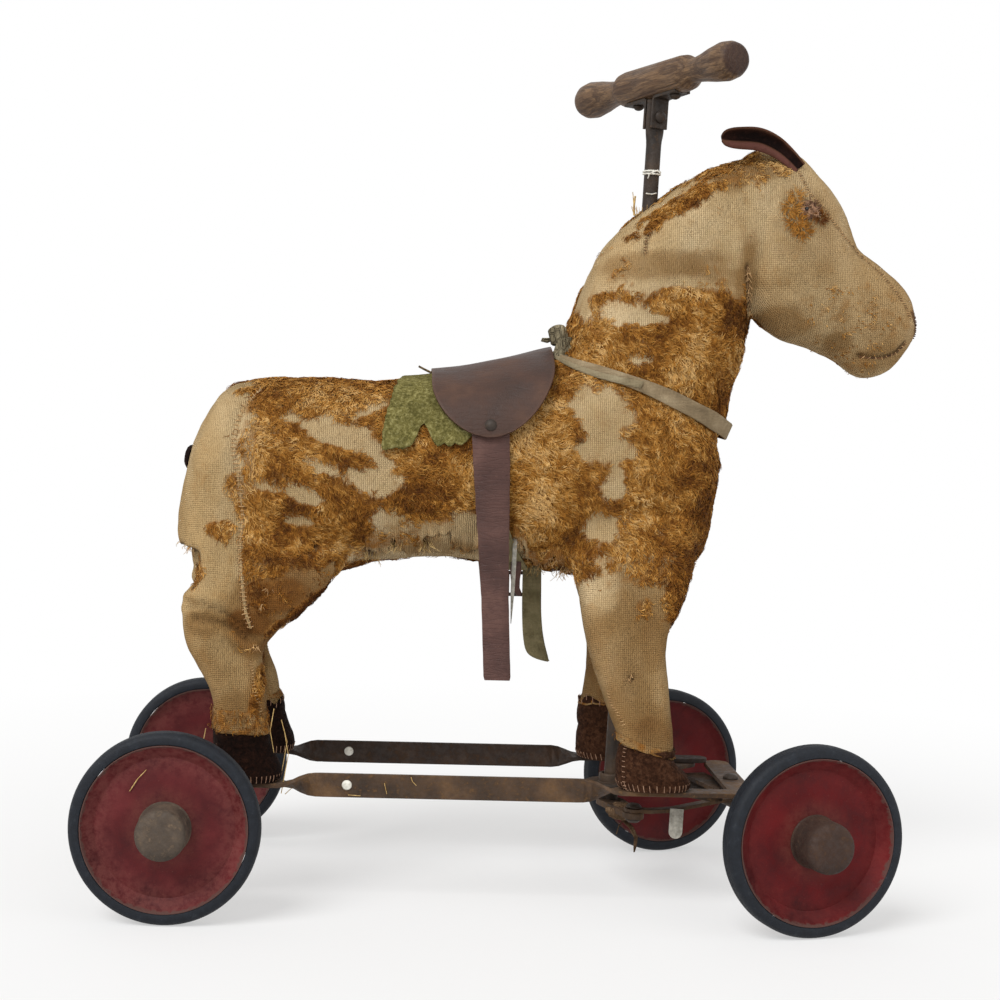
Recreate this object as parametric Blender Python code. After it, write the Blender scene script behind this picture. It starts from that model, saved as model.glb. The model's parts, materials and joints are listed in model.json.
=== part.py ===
"""Straw-filled toy horse on a steel frame with four wheels and a steered front axle.

The horse faces +X and its right side faces -Y. The origin is on the floor, under the middle
of the object's box. Lengths are in metres.
"""

import math

import bmesh
import bpy
from mathutils import Matrix, Vector
from mathutils.bvhtree import BVHTree

GAP = 0.0003
RIGHT = -1
LEFT = 1
SIDE_NAMES = {RIGHT: "right", LEFT: "left"}

# Wheels and axles
WHEELBASE = 0.434
TRACK = 0.272
WHEEL_RADIUS = 0.070
TYRE_HEIGHT = 0.0085
TYRE_WIDTH = 0.0176
AXLE_RADIUS = 0.004
RUNNING_CLEARANCE = 0.0004
HUB_TUBE_RADIUS = 0.0085
HUB_TUBE_REACH = 0.013
HUB_CAP_RADIUS = 0.0188
HUB_CAP_REACH = 0.030
HUB_CAP_WALL = 0.0016
WEB_HALF = 0.0026
WHEEL_STEPS = 28
HUB_STEPS = 16

# Frame strips
BAR_SPACING = 0.140
BAR_WIDTH = 0.018
STRIP_THICKNESS = 0.0035
BAR_RISE = 0.0205
CROSS_WIDTH = 0.020
BRACKET_HALF_SPAN = 0.076
LUG_DROP = 0.008
NEAR_BAR_FRONT = 0.012
FAR_BAR_FRONT = -0.008
BAR_REAR = 0.014
BRACE_WIDTH = 0.014
BRACE_START = 0.0125
BRACE_SETBACK = 0.025

# Steered truck
STEER_ANGLE = math.radians(16.0)
BOLSTER_DROP = 0.0055
BOLSTER_THICKNESS = 0.0032
KING_PIN_RADIUS = 0.004
KING_PIN_HEAD = 0.0063
LINK_LEVER = 0.048
STUD_RADIUS = 0.0026
STUD_HEIGHT = 0.0047

# Steering column and handle
COLUMN_BACK = 0.096
COLUMN_RADIUS = 0.006
COLUMN_WALL = 0.0015
COLUMN_LEAN = math.radians(2.5)
COLUMN_FOOT_Z = 0.072
COLUMN_REACH = 0.090
COLUMN_FLAT_LENGTH = 0.024
COLUMN_FLAT_WIDTH = 0.017
COLUMN_FLAT_THICKNESS = 0.007
COLUMN_CLEARANCE = 0.001
COLUMN_IN_HORSE = 466.0
COLUMN_NECKING = 0.012
COLUMN_TAIL = 0.0075
BEARING_RADIUS = 0.020
BEARING_BOSS = 0.0095
CRANK_THICKNESS = 0.0045
CRANK_DROP = 0.0015
CRANK_BOSS = 0.011
CRANK_END = 0.008
CRANK_PIN_RADIUS = 0.003
LINK_WIDTH = 0.010
LINK_THICKNESS = 0.0028
LINK_EYE = 0.0075
HANDLE_ANGLE = math.radians(29.0)
HANDLE_TILT = math.radians(4.0)
HANDLE_LENGTH = 0.200
HANDLE_RADIUS = 0.0143
HANDLE_NECK = 0.0097
HANDLE_KNOB = 0.015
BRACKET_THICKNESS = 0.0022
BRACKET_WIDTH = 0.015
BRACKET_LEG = 0.025
BRACKET_FLANGE = 0.033
HANDLE_SCREW_PLACE = 0.024
HANDLE_SCREW_RADIUS = 0.0018
HANDLE_SCREW_HEAD = 0.0045
HANDLE_SCREW_DEPTH = 0.009
BRACKET_RIVET_RADIUS = 0.0025
BRACKET_RIVET_HEAD = 0.0052
BRACKET_RIVET_DROP = 0.0135
TAB_PLACE = 0.34
TAB_HALF_WIDTH = 0.0052
TAB_LENGTH = 0.018
TAB_THICKNESS = 0.0012

# Horse
NOSE_OVERHANG = 0.138
HORSE_SQUARENESS = 2.3
TORSO_RINGS = 25
TORSO_STEPS = 24
NECK_RINGS = 14
NECK_STEPS = 22
HEAD_RINGS = 16
FRONT_LEG_RINGS = 10
HIND_LEG_RINGS = 13
LEG_STEPS = 16
LEG_OUT_FRONT = 0.063
LEG_OUT_HIND = 0.063
HOOF_HEIGHT = 0.029
COLUMN_BORE_IN_HORSE = 0.0072
BUSH_RADIUS = 0.012
BUSH_LENGTH = 0.022
BUSH_DEPTH = 0.030
BUSH_CLEARANCE = 0.0005
EAR_THICKNESS = 0.0020

# Saddle, blanket and straps
FELT_THICKNESS = 0.0022
FELT_LIFT = 0.0015
LEATHER_THICKNESS = 0.0028
STRAP_THICKNESS = 0.0020
STIRRUP_TOP_WIDTH = 0.0285
STIRRUP_END_WIDTH = 0.0205
STIRRUP_LEAN = {RIGHT: 0.047, LEFT: 0.088}
STIRRUP_BOTTOM = 0.0825
STIRRUP_SLACK = 0.0012
SADDLE_LIFT = 0.0048
SADDLE_FLAP_LIFT = 0.0084
SADDLE_RIVET_RADIUS = 0.0018
SADDLE_RIVET_HEAD = 0.0045
GIRTH_WIDTH = 0.020
GIRTH_SLACK = 0.0006
GIRTH_TAPE_WIDTH = 0.0145
GIRTH_TAPE_THICKNESS = 0.0014
GIRTH_TAPE_LENGTH = 0.074
BUCKLE_HALF_HEIGHT = 0.010
BUCKLE_HALF_LENGTH = 0.0085
BUCKLE_WIRE = 0.0027
BREAST_WIDTH = 0.012
BREAST_LIFT = 0.0012
BREAST_STEPS = 40
BREAST_START = 0.13

# Places worked out from the sizes above. A unit of the horse's tables is a millimetre here.
HORSE_UNIT = WHEELBASE / 434.0
LENGTH = WHEEL_RADIUS + WHEELBASE + NOSE_OVERHANG
REAR_AXLE_X = WHEEL_RADIUS - LENGTH / 2
FRONT_AXLE_X = REAR_AXLE_X + WHEELBASE
AXLE_Z = WHEEL_RADIUS
BAR_Z = AXLE_Z + BAR_RISE
BAR_TOP = BAR_Z + STRIP_THICKNESS / 2
CROSS_TOP = BAR_Z - STRIP_THICKNESS / 2 - GAP
CROSS_BOTTOM = CROSS_TOP - STRIP_THICKNESS
BOLSTER_TOP = CROSS_BOTTOM - BOLSTER_DROP
COLUMN_X = FRONT_AXLE_X - COLUMN_BACK
COLUMN_EXIT = COLUMN_IN_HORSE * HORSE_UNIT
COLUMN_LENGTH = COLUMN_EXIT + COLUMN_REACH
BEARING_TOP = CROSS_BOTTOM - GAP


def clear_scene():
    for item in list(bpy.data.objects):
        bpy.data.objects.remove(item, do_unlink=True)


def material(name, colour, roughness, metallic=0.0):
    made = bpy.data.materials.new(name)
    made.use_nodes = True
    shader = made.node_tree.nodes["Principled BSDF"]
    shader.inputs["Base Color"].default_value = (*colour, 1.0)
    shader.inputs["Roughness"].default_value = roughness
    shader.inputs["Metallic"].default_value = metallic
    made.diffuse_color = (*colour, 1.0)
    return made


def make_materials():
    return {
        "red_paint": material("red_paint", (0.19, 0.014, 0.022), 0.45, 0.1),
        "tyre_rubber": material("tyre_rubber", (0.013, 0.019, 0.026), 0.6),
        "rusty_cap": material("rusty_cap", (0.114, 0.082, 0.052), 0.7, 0.4),
        "frame_steel": material("frame_steel", (0.114, 0.082, 0.052), 0.55, 0.6),
        "dark_steel": material("dark_steel", (0.070, 0.052, 0.042), 0.5, 0.7),
        "handle_wood": material("handle_wood", (0.170, 0.090, 0.052), 0.55),
        "horse_cloth": material("horse_cloth", (0.510, 0.330, 0.155), 0.9),
        "hoof_felt": material("hoof_felt", (0.102, 0.053, 0.026), 0.95),
        "ear_leather": material("ear_leather", (0.061, 0.021, 0.017), 0.6),
        "saddle_leather": material("saddle_leather", (0.114, 0.048, 0.044), 0.55),
        "green_felt": material("green_felt", (0.223, 0.279, 0.091), 0.95),
        "tape": material("tape", (0.352, 0.270, 0.188), 0.85),
        "girth_tape": material("girth_tape", (0.127, 0.114, 0.070), 0.85),
        "rivet_steel": material("rivet_steel", (0.090, 0.060, 0.045), 0.5, 0.6),
    }


def pivot(name, location, rotation=(0.0, 0.0, 0.0), parent=None):
    """An empty that carries pieces which turn or stand together."""
    empty = bpy.data.objects.new(name, None)
    bpy.context.scene.collection.objects.link(empty)
    empty.empty_display_size = 0.02
    empty.location = location
    empty.rotation_euler = rotation
    empty.parent = parent
    return empty


def piece(name, bm, look, parent=None, sharp=35.0):
    """Turns a bmesh into a named object with one material, smooth but for its sharp edges."""
    bmesh.ops.recalc_face_normals(bm, faces=bm.faces)
    mesh = bpy.data.meshes.new(name)
    bm.to_mesh(mesh)
    bm.free()
    mesh.shade_smooth()
    mesh.set_sharp_from_angle(angle=math.radians(sharp))
    made = bpy.data.objects.new(name, mesh)
    bpy.context.scene.collection.objects.link(made)
    made.parent = parent
    if look is not None:
        mesh.materials.append(look)
    return made


def skin_rings(rings, closed_loop=False):
    """A closed mesh through rings of points. A ring of one point is a pole."""
    bm = bmesh.new()
    made = [[bm.verts.new(point) for point in ring] for ring in rings]
    pairs = list(zip(made[:-1], made[1:]))
    if closed_loop:
        pairs.append((made[-1], made[0]))
    for first, second in pairs:
        count = max(len(first), len(second))
        for index in range(count):
            after = (index + 1) % count
            corners = [first[index % len(first)], first[after % len(first)],
                       second[after % len(second)], second[index % len(second)]]
            corners = list(dict.fromkeys(corners))
            bm.faces.new(corners)
    if not closed_loop:
        for ring in (made[0], made[-1]):
            if len(ring) > 2:
                bm.faces.new(ring)
    return bm


def lathe(name, profile, steps, look, parent=None, matrix=Matrix.Identity(4), loop=False):
    """Turns a profile of (radius, height) about Z. A loop profile makes a ring with a bore."""
    rings = []
    for radius, height in profile:
        count = steps if radius > 0.0 else 1
        ring = []
        for index in range(count):
            angle = math.tau * index / steps
            point = Vector((radius * math.cos(angle), radius * math.sin(angle), height))
            ring.append(matrix @ point)
        rings.append(ring)
    return piece(name, skin_rings(rings, closed_loop=loop), look, parent)


def cylinder_cutter(name, radius, start, end, parent=None, steps=20):
    """A hidden cylinder from start to end, used only to cut holes."""
    start = Vector(start)
    end = Vector(end)
    along = (end - start).normalized()
    frame = along.to_track_quat("Z", "Y").to_matrix().to_4x4()
    frame.translation = start
    length = (end - start).length
    profile = [(0.0, 0.0), (radius, 0.0), (radius, length), (0.0, length)]
    cutter = lathe(name, profile, steps, None, parent, frame)
    hide(cutter)
    return cutter


def hide(helper):
    helper.hide_render = True
    helper.display_type = "WIRE"


def cut(target, cutter):
    boolean = target.modifiers.new("cut_" + cutter.name, "BOOLEAN")
    boolean.operation = "DIFFERENCE"
    boolean.solver = "EXACT"
    boolean.object = cutter
    return target


def plate(name, outline, bottom, top, look, parent=None):
    """A flat plate with an outline of (x, y) points between two heights."""
    rings = [[Vector((x, y, z)) for x, y in outline] for z in (bottom, top)]
    return piece(name, skin_rings(rings), look, parent)


def two_circle_outline(start, end, start_radius, end_radius, steps=10):
    """The outline of a bar with a round end about each of two points."""
    start = Vector(start)
    end = Vector(end)
    along = math.atan2(end.y - start.y, end.x - start.x)
    lean = math.asin((start_radius - end_radius) / (end - start).length)
    outline = []
    for centre, radius, first, last in (
        (end, end_radius, along - math.pi / 2 + lean, along + math.pi / 2 - lean),
        (start, start_radius, along + math.pi / 2 - lean, along + 1.5 * math.pi + lean),
    ):
        for index in range(steps + 1):
            angle = first + (last - first) * index / steps
            outline.append((centre.x + radius * math.cos(angle), centre.y + radius * math.sin(angle)))
    return outline


def ribbon(name, stations, look, parent=None):
    """A strip through stations of (centre, across, out, width, thickness)."""
    rings = []
    for centre, across, out, width, thickness in stations:
        side = Vector(across).normalized() * width / 2
        up = Vector(out).normalized() * thickness / 2
        centre = Vector(centre)
        rings.append([centre - side - up, centre + side - up, centre + side + up, centre - side + up])
    return piece(name, skin_rings(rings), look, parent)


def smooth_step(value):
    value = min(max(value, 0.0), 1.0)
    return value * value * (3.0 - 2.0 * value)


def bent_path(points, radius, steps=5):
    """Points along straight runs with round corners, in a plane."""
    path = [Vector(points[0])]
    for before, corner, after in zip(points[:-2], points[1:-1], points[2:]):
        before = Vector(before)
        corner = Vector(corner)
        after = Vector(after)
        entry = corner + (before - corner).normalized() * radius
        leave = corner + (after - corner).normalized() * radius
        for index in range(steps + 1):
            share = index / steps
            path.append(entry.lerp(corner, share).lerp(corner.lerp(leave, share), share))
    path.append(Vector(points[-1]))
    return path


def bent_strip(name, points, radius, across, width, thickness, look, parent=None):
    """A flat strip bent along a path, with its width along one fixed direction."""
    path = bent_path(points, radius)
    across = Vector(across).normalized()
    stations = []
    for index, point in enumerate(path):
        ahead = path[min(index + 1, len(path) - 1)]
        behind = path[max(index - 1, 0)]
        out = across.cross((ahead - behind).normalized())
        stations.append((point, across, out, width, thickness))
    return ribbon(name, stations, look, parent)


# Frame


def side_bar(side, look):
    """A strip on edge that twists a quarter turn at each end to lie flat under the hooves."""
    front = FRONT_AXLE_X + (NEAR_BAR_FRONT if side == RIGHT else FAR_BAR_FRONT)
    rear = REAR_AXLE_X - BAR_REAR
    hind_twist = REAR_AXLE_X + HOOF_HIND_END
    fore_twist = REAR_AXLE_X + HOOF_FRONT_START + (FAR_FRONT_HOOF_SHIFT if side == LEFT else 0.0)
    twist_length = 0.034
    round_end = BAR_WIDTH / 2
    places = [rear + round_end * (1 - math.cos(math.radians(a))) for a in (12, 35, 60, 90)]
    places += [hind_twist + twist_length * share / 6 for share in range(7)]
    places += [fore_twist - twist_length * (1 - share / 6) for share in range(7)]
    places += [front - round_end * (1 - math.cos(math.radians(a))) for a in (90, 60, 35, 12)]
    stations = []
    for x in places:
        edge = smooth_step((x - hind_twist) / twist_length)
        edge *= 1.0 - smooth_step((x - fore_twist + twist_length) / twist_length)
        angle = edge * math.pi / 2
        across = (0.0, math.cos(angle), side * math.sin(angle))
        out = (0.0, -side * math.sin(angle), math.cos(angle))
        reach = min(x - rear, front - x, round_end)
        width = 2 * math.sqrt(max(round_end**2 - (round_end - reach) ** 2, 0.0))
        stations.append(((x, side * BAR_SPACING / 2, BAR_Z), across, out, width, STRIP_THICKNESS))
    return ribbon("side_bar_" + SIDE_NAMES[side], stations, look)


def axle_bracket(name, top, thickness, parent, look, centre_x):
    """A cross strip with a lug bent down at each end, drilled for the axle."""
    middle = top - thickness / 2
    low = AXLE_Z - LUG_DROP
    half = BRACKET_HALF_SPAN
    points = [(centre_x, -half, low), (centre_x, -half, middle), (centre_x, half, middle), (centre_x, half, low)]
    bracket = bent_strip(name, points, 0.006, (1, 0, 0), CROSS_WIDTH, thickness, look, parent)
    hole = AXLE_RADIUS + GAP
    reach = half + 0.01
    drill = cylinder_cutter(name + "_drill", hole, (centre_x, -reach, AXLE_Z), (centre_x, reach, AXLE_Z),
                            parent, 14)
    return cut(bracket, drill)


def axle(name, parent, centre_x, look):
    """A round axle with a collar inside each wheel and a retaining collar outside it."""
    half = TRACK / 2
    inner = half - HUB_TUBE_REACH
    outer = half + WEB_HALF + 0.0024
    collar = AXLE_RADIUS + 0.0028
    profile = [(0.0, -half - 0.016)]
    for side, places in ((RIGHT, (half + 0.016, outer + 0.003, outer, inner, inner - 0.0025)),
                         (LEFT, (inner - 0.0025, inner, outer, outer + 0.003, half + 0.016))):
        end, a, b, c, d = places
        if side == RIGHT:
            profile += [(AXLE_RADIUS, -end), (AXLE_RADIUS, -a), (collar, -a), (collar, -b - GAP),
                        (AXLE_RADIUS, -b - GAP), (AXLE_RADIUS, -c + GAP), (collar, -c + GAP),
                        (collar, -d), (AXLE_RADIUS, -d)]
        else:
            profile += [(AXLE_RADIUS, end), (collar, end), (collar, a - GAP), (AXLE_RADIUS, a - GAP),
                        (AXLE_RADIUS, b + GAP), (collar, b + GAP), (collar, c), (AXLE_RADIUS, c), (AXLE_RADIUS, d)]
    profile.append((0.0, half + 0.016))
    frame = Matrix.Translation((centre_x, 0.0, AXLE_Z)) @ Matrix.Rotation(-math.pi / 2, 4, "X")
    return lathe(name, profile, 10, look, parent, frame)


def frame_pieces(looks):
    steel = looks["frame_steel"]
    for side in (RIGHT, LEFT):
        side_bar(side, steel)
    half = BAR_SPACING / 2 + BAR_WIDTH / 2
    outline = two_circle_outline((FRONT_AXLE_X, -half + CROSS_WIDTH / 2), (FRONT_AXLE_X, half - CROSS_WIDTH / 2),
                                 CROSS_WIDTH / 2, CROSS_WIDTH / 2)
    cross = plate("front_cross_strip", outline, CROSS_BOTTOM, CROSS_TOP, steel)
    cut(cross, cylinder_cutter("king_pin_drill", KING_PIN_RADIUS + GAP, (FRONT_AXLE_X, 0, CROSS_BOTTOM - 0.01),
                               (FRONT_AXLE_X, 0, CROSS_TOP + 0.01)))
    axle_bracket("rear_axle_bracket", CROSS_TOP, STRIP_THICKNESS, None, steel, REAR_AXLE_X)
    axle("rear_axle", None, REAR_AXLE_X, looks["dark_steel"])
    for side in (RIGHT, LEFT):
        brace(side, steel)
    column_bearing(looks["dark_steel"])
    king_pin(looks["dark_steel"])


def brace(side, look):
    """A strip from under a side bar back to the column bearing."""
    far = Vector((FRONT_AXLE_X - BRACE_SETBACK, side * (BAR_SPACING / 2 - 0.002)))
    foot = Vector((COLUMN_X, 0.0))
    along = (far - foot).normalized()
    across = Vector((-along.y, along.x)) * BRACE_WIDTH / 2
    start = foot + along * BRACE_START
    rounded = two_circle_outline(start, far, BRACE_WIDTH / 2, BRACE_WIDTH / 2)
    tip = rounded[: len(rounded) // 2]
    outline = tip + [tuple(start + across), tuple(start - across)]
    return plate("brace_" + SIDE_NAMES[side], outline, CROSS_BOTTOM, CROSS_TOP, look)


def column_bearing(look):
    """The plate and boss that hold the foot of the column, under the two braces."""
    bore = COLUMN_RADIUS + COLUMN_CLEARANCE
    boss_top = CROSS_TOP + 0.003
    plate_bottom = BEARING_TOP - 0.0036
    profile = [(bore, plate_bottom), (BEARING_RADIUS, plate_bottom), (BEARING_RADIUS, BEARING_TOP),
               (BEARING_BOSS, BEARING_TOP), (BEARING_BOSS, boss_top - 0.001), (BEARING_BOSS - 0.001, boss_top),
               (bore, boss_top)]
    return lathe("column_bearing", profile, 24, look, None, Matrix.Translation((COLUMN_X, 0, 0)), loop=True)


def king_pin(look):
    """A domed pin with a collar that keeps the cross strip and the bolster apart."""
    head_low = CROSS_TOP + GAP
    collar = KING_PIN_RADIUS + 0.0035
    bolster_low = BOLSTER_TOP - BOLSTER_THICKNESS
    tail = 0.0016
    profile = [(0.0, bolster_low - GAP - tail), (KING_PIN_HEAD, bolster_low - GAP - tail),
               (KING_PIN_HEAD, bolster_low - GAP), (KING_PIN_RADIUS, bolster_low - GAP),
               (KING_PIN_RADIUS, BOLSTER_TOP + GAP), (collar, BOLSTER_TOP + GAP), (collar, CROSS_BOTTOM - GAP),
               (KING_PIN_RADIUS, CROSS_BOTTOM - GAP), (KING_PIN_RADIUS, head_low), (KING_PIN_HEAD, head_low)]
    dome = 0.0042
    profile += domed(KING_PIN_HEAD, dome, head_low, 1)[1:]
    return lathe("king_pin", profile, 16, look, None, Matrix.Translation((FRONT_AXLE_X, 0, 0)))


# Steered truck and wheels


def truck_pieces(looks):
    """The bolster, its stud and the front axle, which turn about the king pin."""
    truck = pivot("truck_axis", (FRONT_AXLE_X, 0, 0), (0, 0, STEER_ANGLE))
    steel = looks["frame_steel"]
    bolster = axle_bracket("truck_bolster", BOLSTER_TOP, BOLSTER_THICKNESS, truck, steel, 0.0)
    low = BOLSTER_TOP - BOLSTER_THICKNESS
    cut(bolster, cylinder_cutter("bolster_drill", KING_PIN_RADIUS + GAP, (0, 0, low - 0.01),
                                 (0, 0, BOLSTER_TOP + 0.01), truck))
    stud_profile = [(0.0, low + 0.001), (STUD_RADIUS, low + 0.001), (STUD_RADIUS, BOLSTER_TOP + STUD_HEIGHT - 0.0006),
                    (STUD_RADIUS - 0.0006, BOLSTER_TOP + STUD_HEIGHT), (0.0, BOLSTER_TOP + STUD_HEIGHT)]
    stud = lathe("link_stud", stud_profile, 16, steel, truck, Matrix.Translation((0, -LINK_LEVER, 0)))
    hide(stud)
    union = bolster.modifiers.new("stud", "BOOLEAN")
    union.operation = "UNION"
    union.solver = "EXACT"
    union.object = stud
    axle("front_axle", truck, 0.0, looks["dark_steel"])
    return truck


def wheel(name, parent, location, side, looks):
    """A wheel about its own outward axis: pressed disc with hub tube, rubber tyre and hub cap."""
    hub = pivot(name + "_axis", location, (-side * math.pi / 2, 0, 0), parent)
    rim = WHEEL_RADIUS - TYRE_HEIGHT - GAP
    bore = AXLE_RADIUS + RUNNING_CLEARANCE
    half = TYRE_WIDTH / 2
    edge = [(rim - 0.0012, half - 0.0006), (rim, half - 0.0006)]
    front = [(HUB_TUBE_RADIUS, WEB_HALF + 0.0024), (HUB_TUBE_RADIUS, WEB_HALF), (rim * 0.42, WEB_HALF),
             (rim * 0.80, 0.0014), (rim * 0.86, 0.0018)]
    back = [(rim * 0.86, -WEB_HALF), (HUB_TUBE_RADIUS, -WEB_HALF), (HUB_TUBE_RADIUS, -HUB_TUBE_REACH)]
    profile = [(bore, WEB_HALF + 0.0024)] + front + edge
    profile += [(radius, -height) for radius, height in reversed(edge)] + back + [(bore, -HUB_TUBE_REACH)]
    lathe(name + "_disc", profile, WHEEL_STEPS, looks["red_paint"], hub, loop=True)
    inner = rim + GAP
    tread = 0.0036
    tyre = [(inner, half), (WHEEL_RADIUS - 0.0020, half - 0.0012), (WHEEL_RADIUS, tread)]
    tyre += [(radius, -height) for radius, height in reversed(tyre)]
    lathe(name + "_tyre", tyre, WHEEL_STEPS, looks["tyre_rubber"], hub, loop=True)
    base = WEB_HALF + GAP
    cap_inner = HUB_CAP_RADIUS - HUB_CAP_WALL
    cap = [(0.0, HUB_CAP_REACH), (HUB_CAP_RADIUS * 0.84, HUB_CAP_REACH), (HUB_CAP_RADIUS, HUB_CAP_REACH - 0.0028),
           (HUB_CAP_RADIUS, base + 0.001), (HUB_CAP_RADIUS + 0.001, base), (cap_inner, base),
           (cap_inner, HUB_CAP_REACH - 0.0034), (cap_inner * 0.84, HUB_CAP_REACH - HUB_CAP_WALL),
           (0.0, HUB_CAP_REACH - HUB_CAP_WALL)]
    lathe(name + "_hub_cap", cap, HUB_STEPS, looks["rusty_cap"], hub)


def wheels(truck, looks):
    for side in (RIGHT, LEFT):
        label = SIDE_NAMES[side]
        wheel("rear_wheel_" + label, None, (REAR_AXLE_X, side * TRACK / 2, AXLE_Z), side, looks)
        wheel("front_wheel_" + label, truck, (0, side * TRACK / 2, AXLE_Z), side, looks)


# Steering column, crank, link and handle


def column_frame():
    """The column's own frame: origin at the crank's height, Z along the leaning column."""
    return Matrix.Translation((COLUMN_X, 0, COLUMN_FOOT_Z)) @ Matrix.Rotation(COLUMN_LEAN, 4, "Y")


def oval(width, depth, height, turn, steps):
    """A ring that is round when width equals depth and pressed flat otherwise."""
    ring = []
    for index in range(steps):
        angle = math.tau * index / steps
        point = Vector((width / 2 * math.cos(angle), depth / 2 * math.sin(angle), height))
        ring.append(Matrix.Rotation(turn, 4, "Z") @ point)
    return ring


def steering_pieces(looks):
    column = pivot("column_axis", (COLUMN_X, 0, COLUMN_FOOT_Z), (0, COLUMN_LEAN, 0))
    steering_column(column, looks["dark_steel"])
    crank(column, looks)
    handle_pieces(column, looks)
    drag_link(looks)


def steering_column(column, look):
    """A tube that is open at its foot and pressed flat at the top between the brackets."""
    steps = 20
    outer = 2 * COLUMN_RADIUS
    inner = outer - 2 * COLUMN_WALL
    foot = -COLUMN_TAIL
    start = COLUMN_LENGTH - COLUMN_FLAT_LENGTH - COLUMN_NECKING
    bore_end = start - 0.004
    rings = [oval(inner, inner, bore_end, HANDLE_ANGLE, steps), oval(inner, inner, foot, HANDLE_ANGLE, steps),
             oval(outer, outer, foot, HANDLE_ANGLE, steps)]
    for share in (0.0, 0.35, 0.7, 1.0):
        blend = smooth_step(share)
        width = outer + (COLUMN_FLAT_WIDTH - outer) * blend
        depth = outer + (COLUMN_FLAT_THICKNESS - outer) * blend
        rings.append(oval(width, depth, start + COLUMN_NECKING * share, HANDLE_ANGLE, steps))
    rings.append(oval(COLUMN_FLAT_WIDTH, COLUMN_FLAT_THICKNESS, COLUMN_LENGTH, HANDLE_ANGLE, steps))
    tube = piece("steering_column", skin_rings(rings), look, column)
    turn = Matrix.Rotation(HANDLE_ANGLE, 4, "Z")
    rivet_z = COLUMN_LENGTH - BRACKET_RIVET_DROP
    drill = cylinder_cutter("rivet_drill", BRACKET_RIVET_RADIUS + GAP, turn @ Vector((0, -0.02, rivet_z)),
                            turn @ Vector((0, 0.02, rivet_z)), column, 12)
    return cut(tube, drill)


def crank(column, looks):
    """The arm at the foot of the column and the pin at its end."""
    top = -CRANK_DROP
    low = top - CRANK_THICKNESS
    turn = Matrix.Rotation(STEER_ANGLE, 4, "Z")
    end = turn @ Vector((0, -LINK_LEVER, 0))
    outline = two_circle_outline((0, 0), end.xy, CRANK_BOSS, CRANK_END)
    arm = plate("crank_arm", outline, low, top, looks["frame_steel"], column)
    cut(arm, cylinder_cutter("crank_column_drill", COLUMN_RADIUS + GAP, (0, 0, low - 0.01), (0, 0, top + 0.01),
                             column))
    cut(arm, cylinder_cutter("crank_pin_drill", CRANK_PIN_RADIUS + GAP, end + Vector((0, 0, low - 0.01)),
                             end + Vector((0, 0, top + 0.01)), column, 16))
    head = 0.0062
    link_top = top + 2 * GAP + LINK_THICKNESS
    profile = [(0.0, low - GAP - 0.003), (head * 0.6, low - GAP - 0.003), (head, low - GAP - 0.001),
               (head, low - GAP), (CRANK_PIN_RADIUS, low - GAP), (CRANK_PIN_RADIUS, link_top + GAP),
               (head, link_top + GAP), (head, link_top + GAP + 0.001), (head * 0.6, link_top + GAP + 0.003),
               (0.0, link_top + GAP + 0.003)]
    return lathe("crank_pin", profile, 16, looks["dark_steel"], column, Matrix.Translation(end))


def drag_link(looks):
    """The link from the crank pin to the stud on the truck, with a step up along its length."""
    turn = Matrix.Rotation(STEER_ANGLE, 4, "Z")
    lever = turn @ Vector((0, -LINK_LEVER, 0))
    start = column_frame() @ (lever + Vector((0, 0, -CRANK_DROP + GAP + LINK_THICKNESS / 2)))
    stud = Vector((FRONT_AXLE_X, 0, 0)) + lever
    end = Vector((stud.x, stud.y, BOLSTER_TOP + 0.0008 + LINK_THICKNESS / 2))
    axis = pivot("link_axis", start, (0, COLUMN_LEAN, 0))
    reach = Matrix.Rotation(-COLUMN_LEAN, 3, "Y") @ (end - start)
    eye = LINK_EYE
    length = reach.x
    places = [-eye + eye * (1 - math.cos(math.radians(a))) for a in (15, 40, 65, 90)]
    places += [eye * 0.7, eye * 1.6, length * 0.3, length * 0.5, length * 0.7, length - eye * 1.6, length - eye * 0.7]
    places += [length + eye - eye * (1 - math.cos(math.radians(a))) for a in (90, 65, 40, 15)]
    stations = []
    for x in places:
        rise = smooth_step((x - 1.6 * eye) / (length - 3.2 * eye))
        centre = (x, reach.y * x / length, reach.z * rise)
        near_eye = min(abs(x), abs(x - length))
        width = LINK_WIDTH
        if near_eye < eye:
            width = max(2 * math.sqrt(eye**2 - near_eye**2), 0.0)
            if 0.0 < x < length:
                width = max(width, LINK_WIDTH)
        stations.append((centre, (0, 1, 0), (0, 0, 1), width, LINK_THICKNESS))
    link = ribbon("drag_link", stations, looks["frame_steel"], axis)
    cut(link, cylinder_cutter("link_rear_drill", CRANK_PIN_RADIUS + RUNNING_CLEARANCE, (0, 0, -0.01), (0, 0, 0.01),
                              axis, 16))
    cut(link, cylinder_cutter("link_front_drill", STUD_RADIUS + 0.0009, reach - Vector((0, 0, 0.01)),
                              reach + Vector((0, 0, 0.01)), axis, 16))
    tab_x = length * TAB_PLACE
    tab_y = reach.y * TAB_PLACE - LINK_WIDTH / 2 - GAP - TAB_THICKNESS / 2
    tab_top = reach.z * smooth_step((tab_x - 1.6 * eye) / (length - 3.2 * eye)) + LINK_THICKNESS / 2
    tab = []
    for index in range(9):
        angle = math.pi + math.pi * index / 8
        tab.append((tab_x + TAB_HALF_WIDTH * math.cos(angle), tab_top - TAB_LENGTH + TAB_HALF_WIDTH * math.sin(angle)))
    tab += [(tab_x + TAB_HALF_WIDTH, tab_top), (tab_x - TAB_HALF_WIDTH, tab_top)]
    rings = [[Vector((x, tab_y + side * TAB_THICKNESS / 2, z)) for x, z in tab] for side in (-1, 1)]
    return piece("link_tab", skin_rings(rings), looks["tape"], axis)


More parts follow.
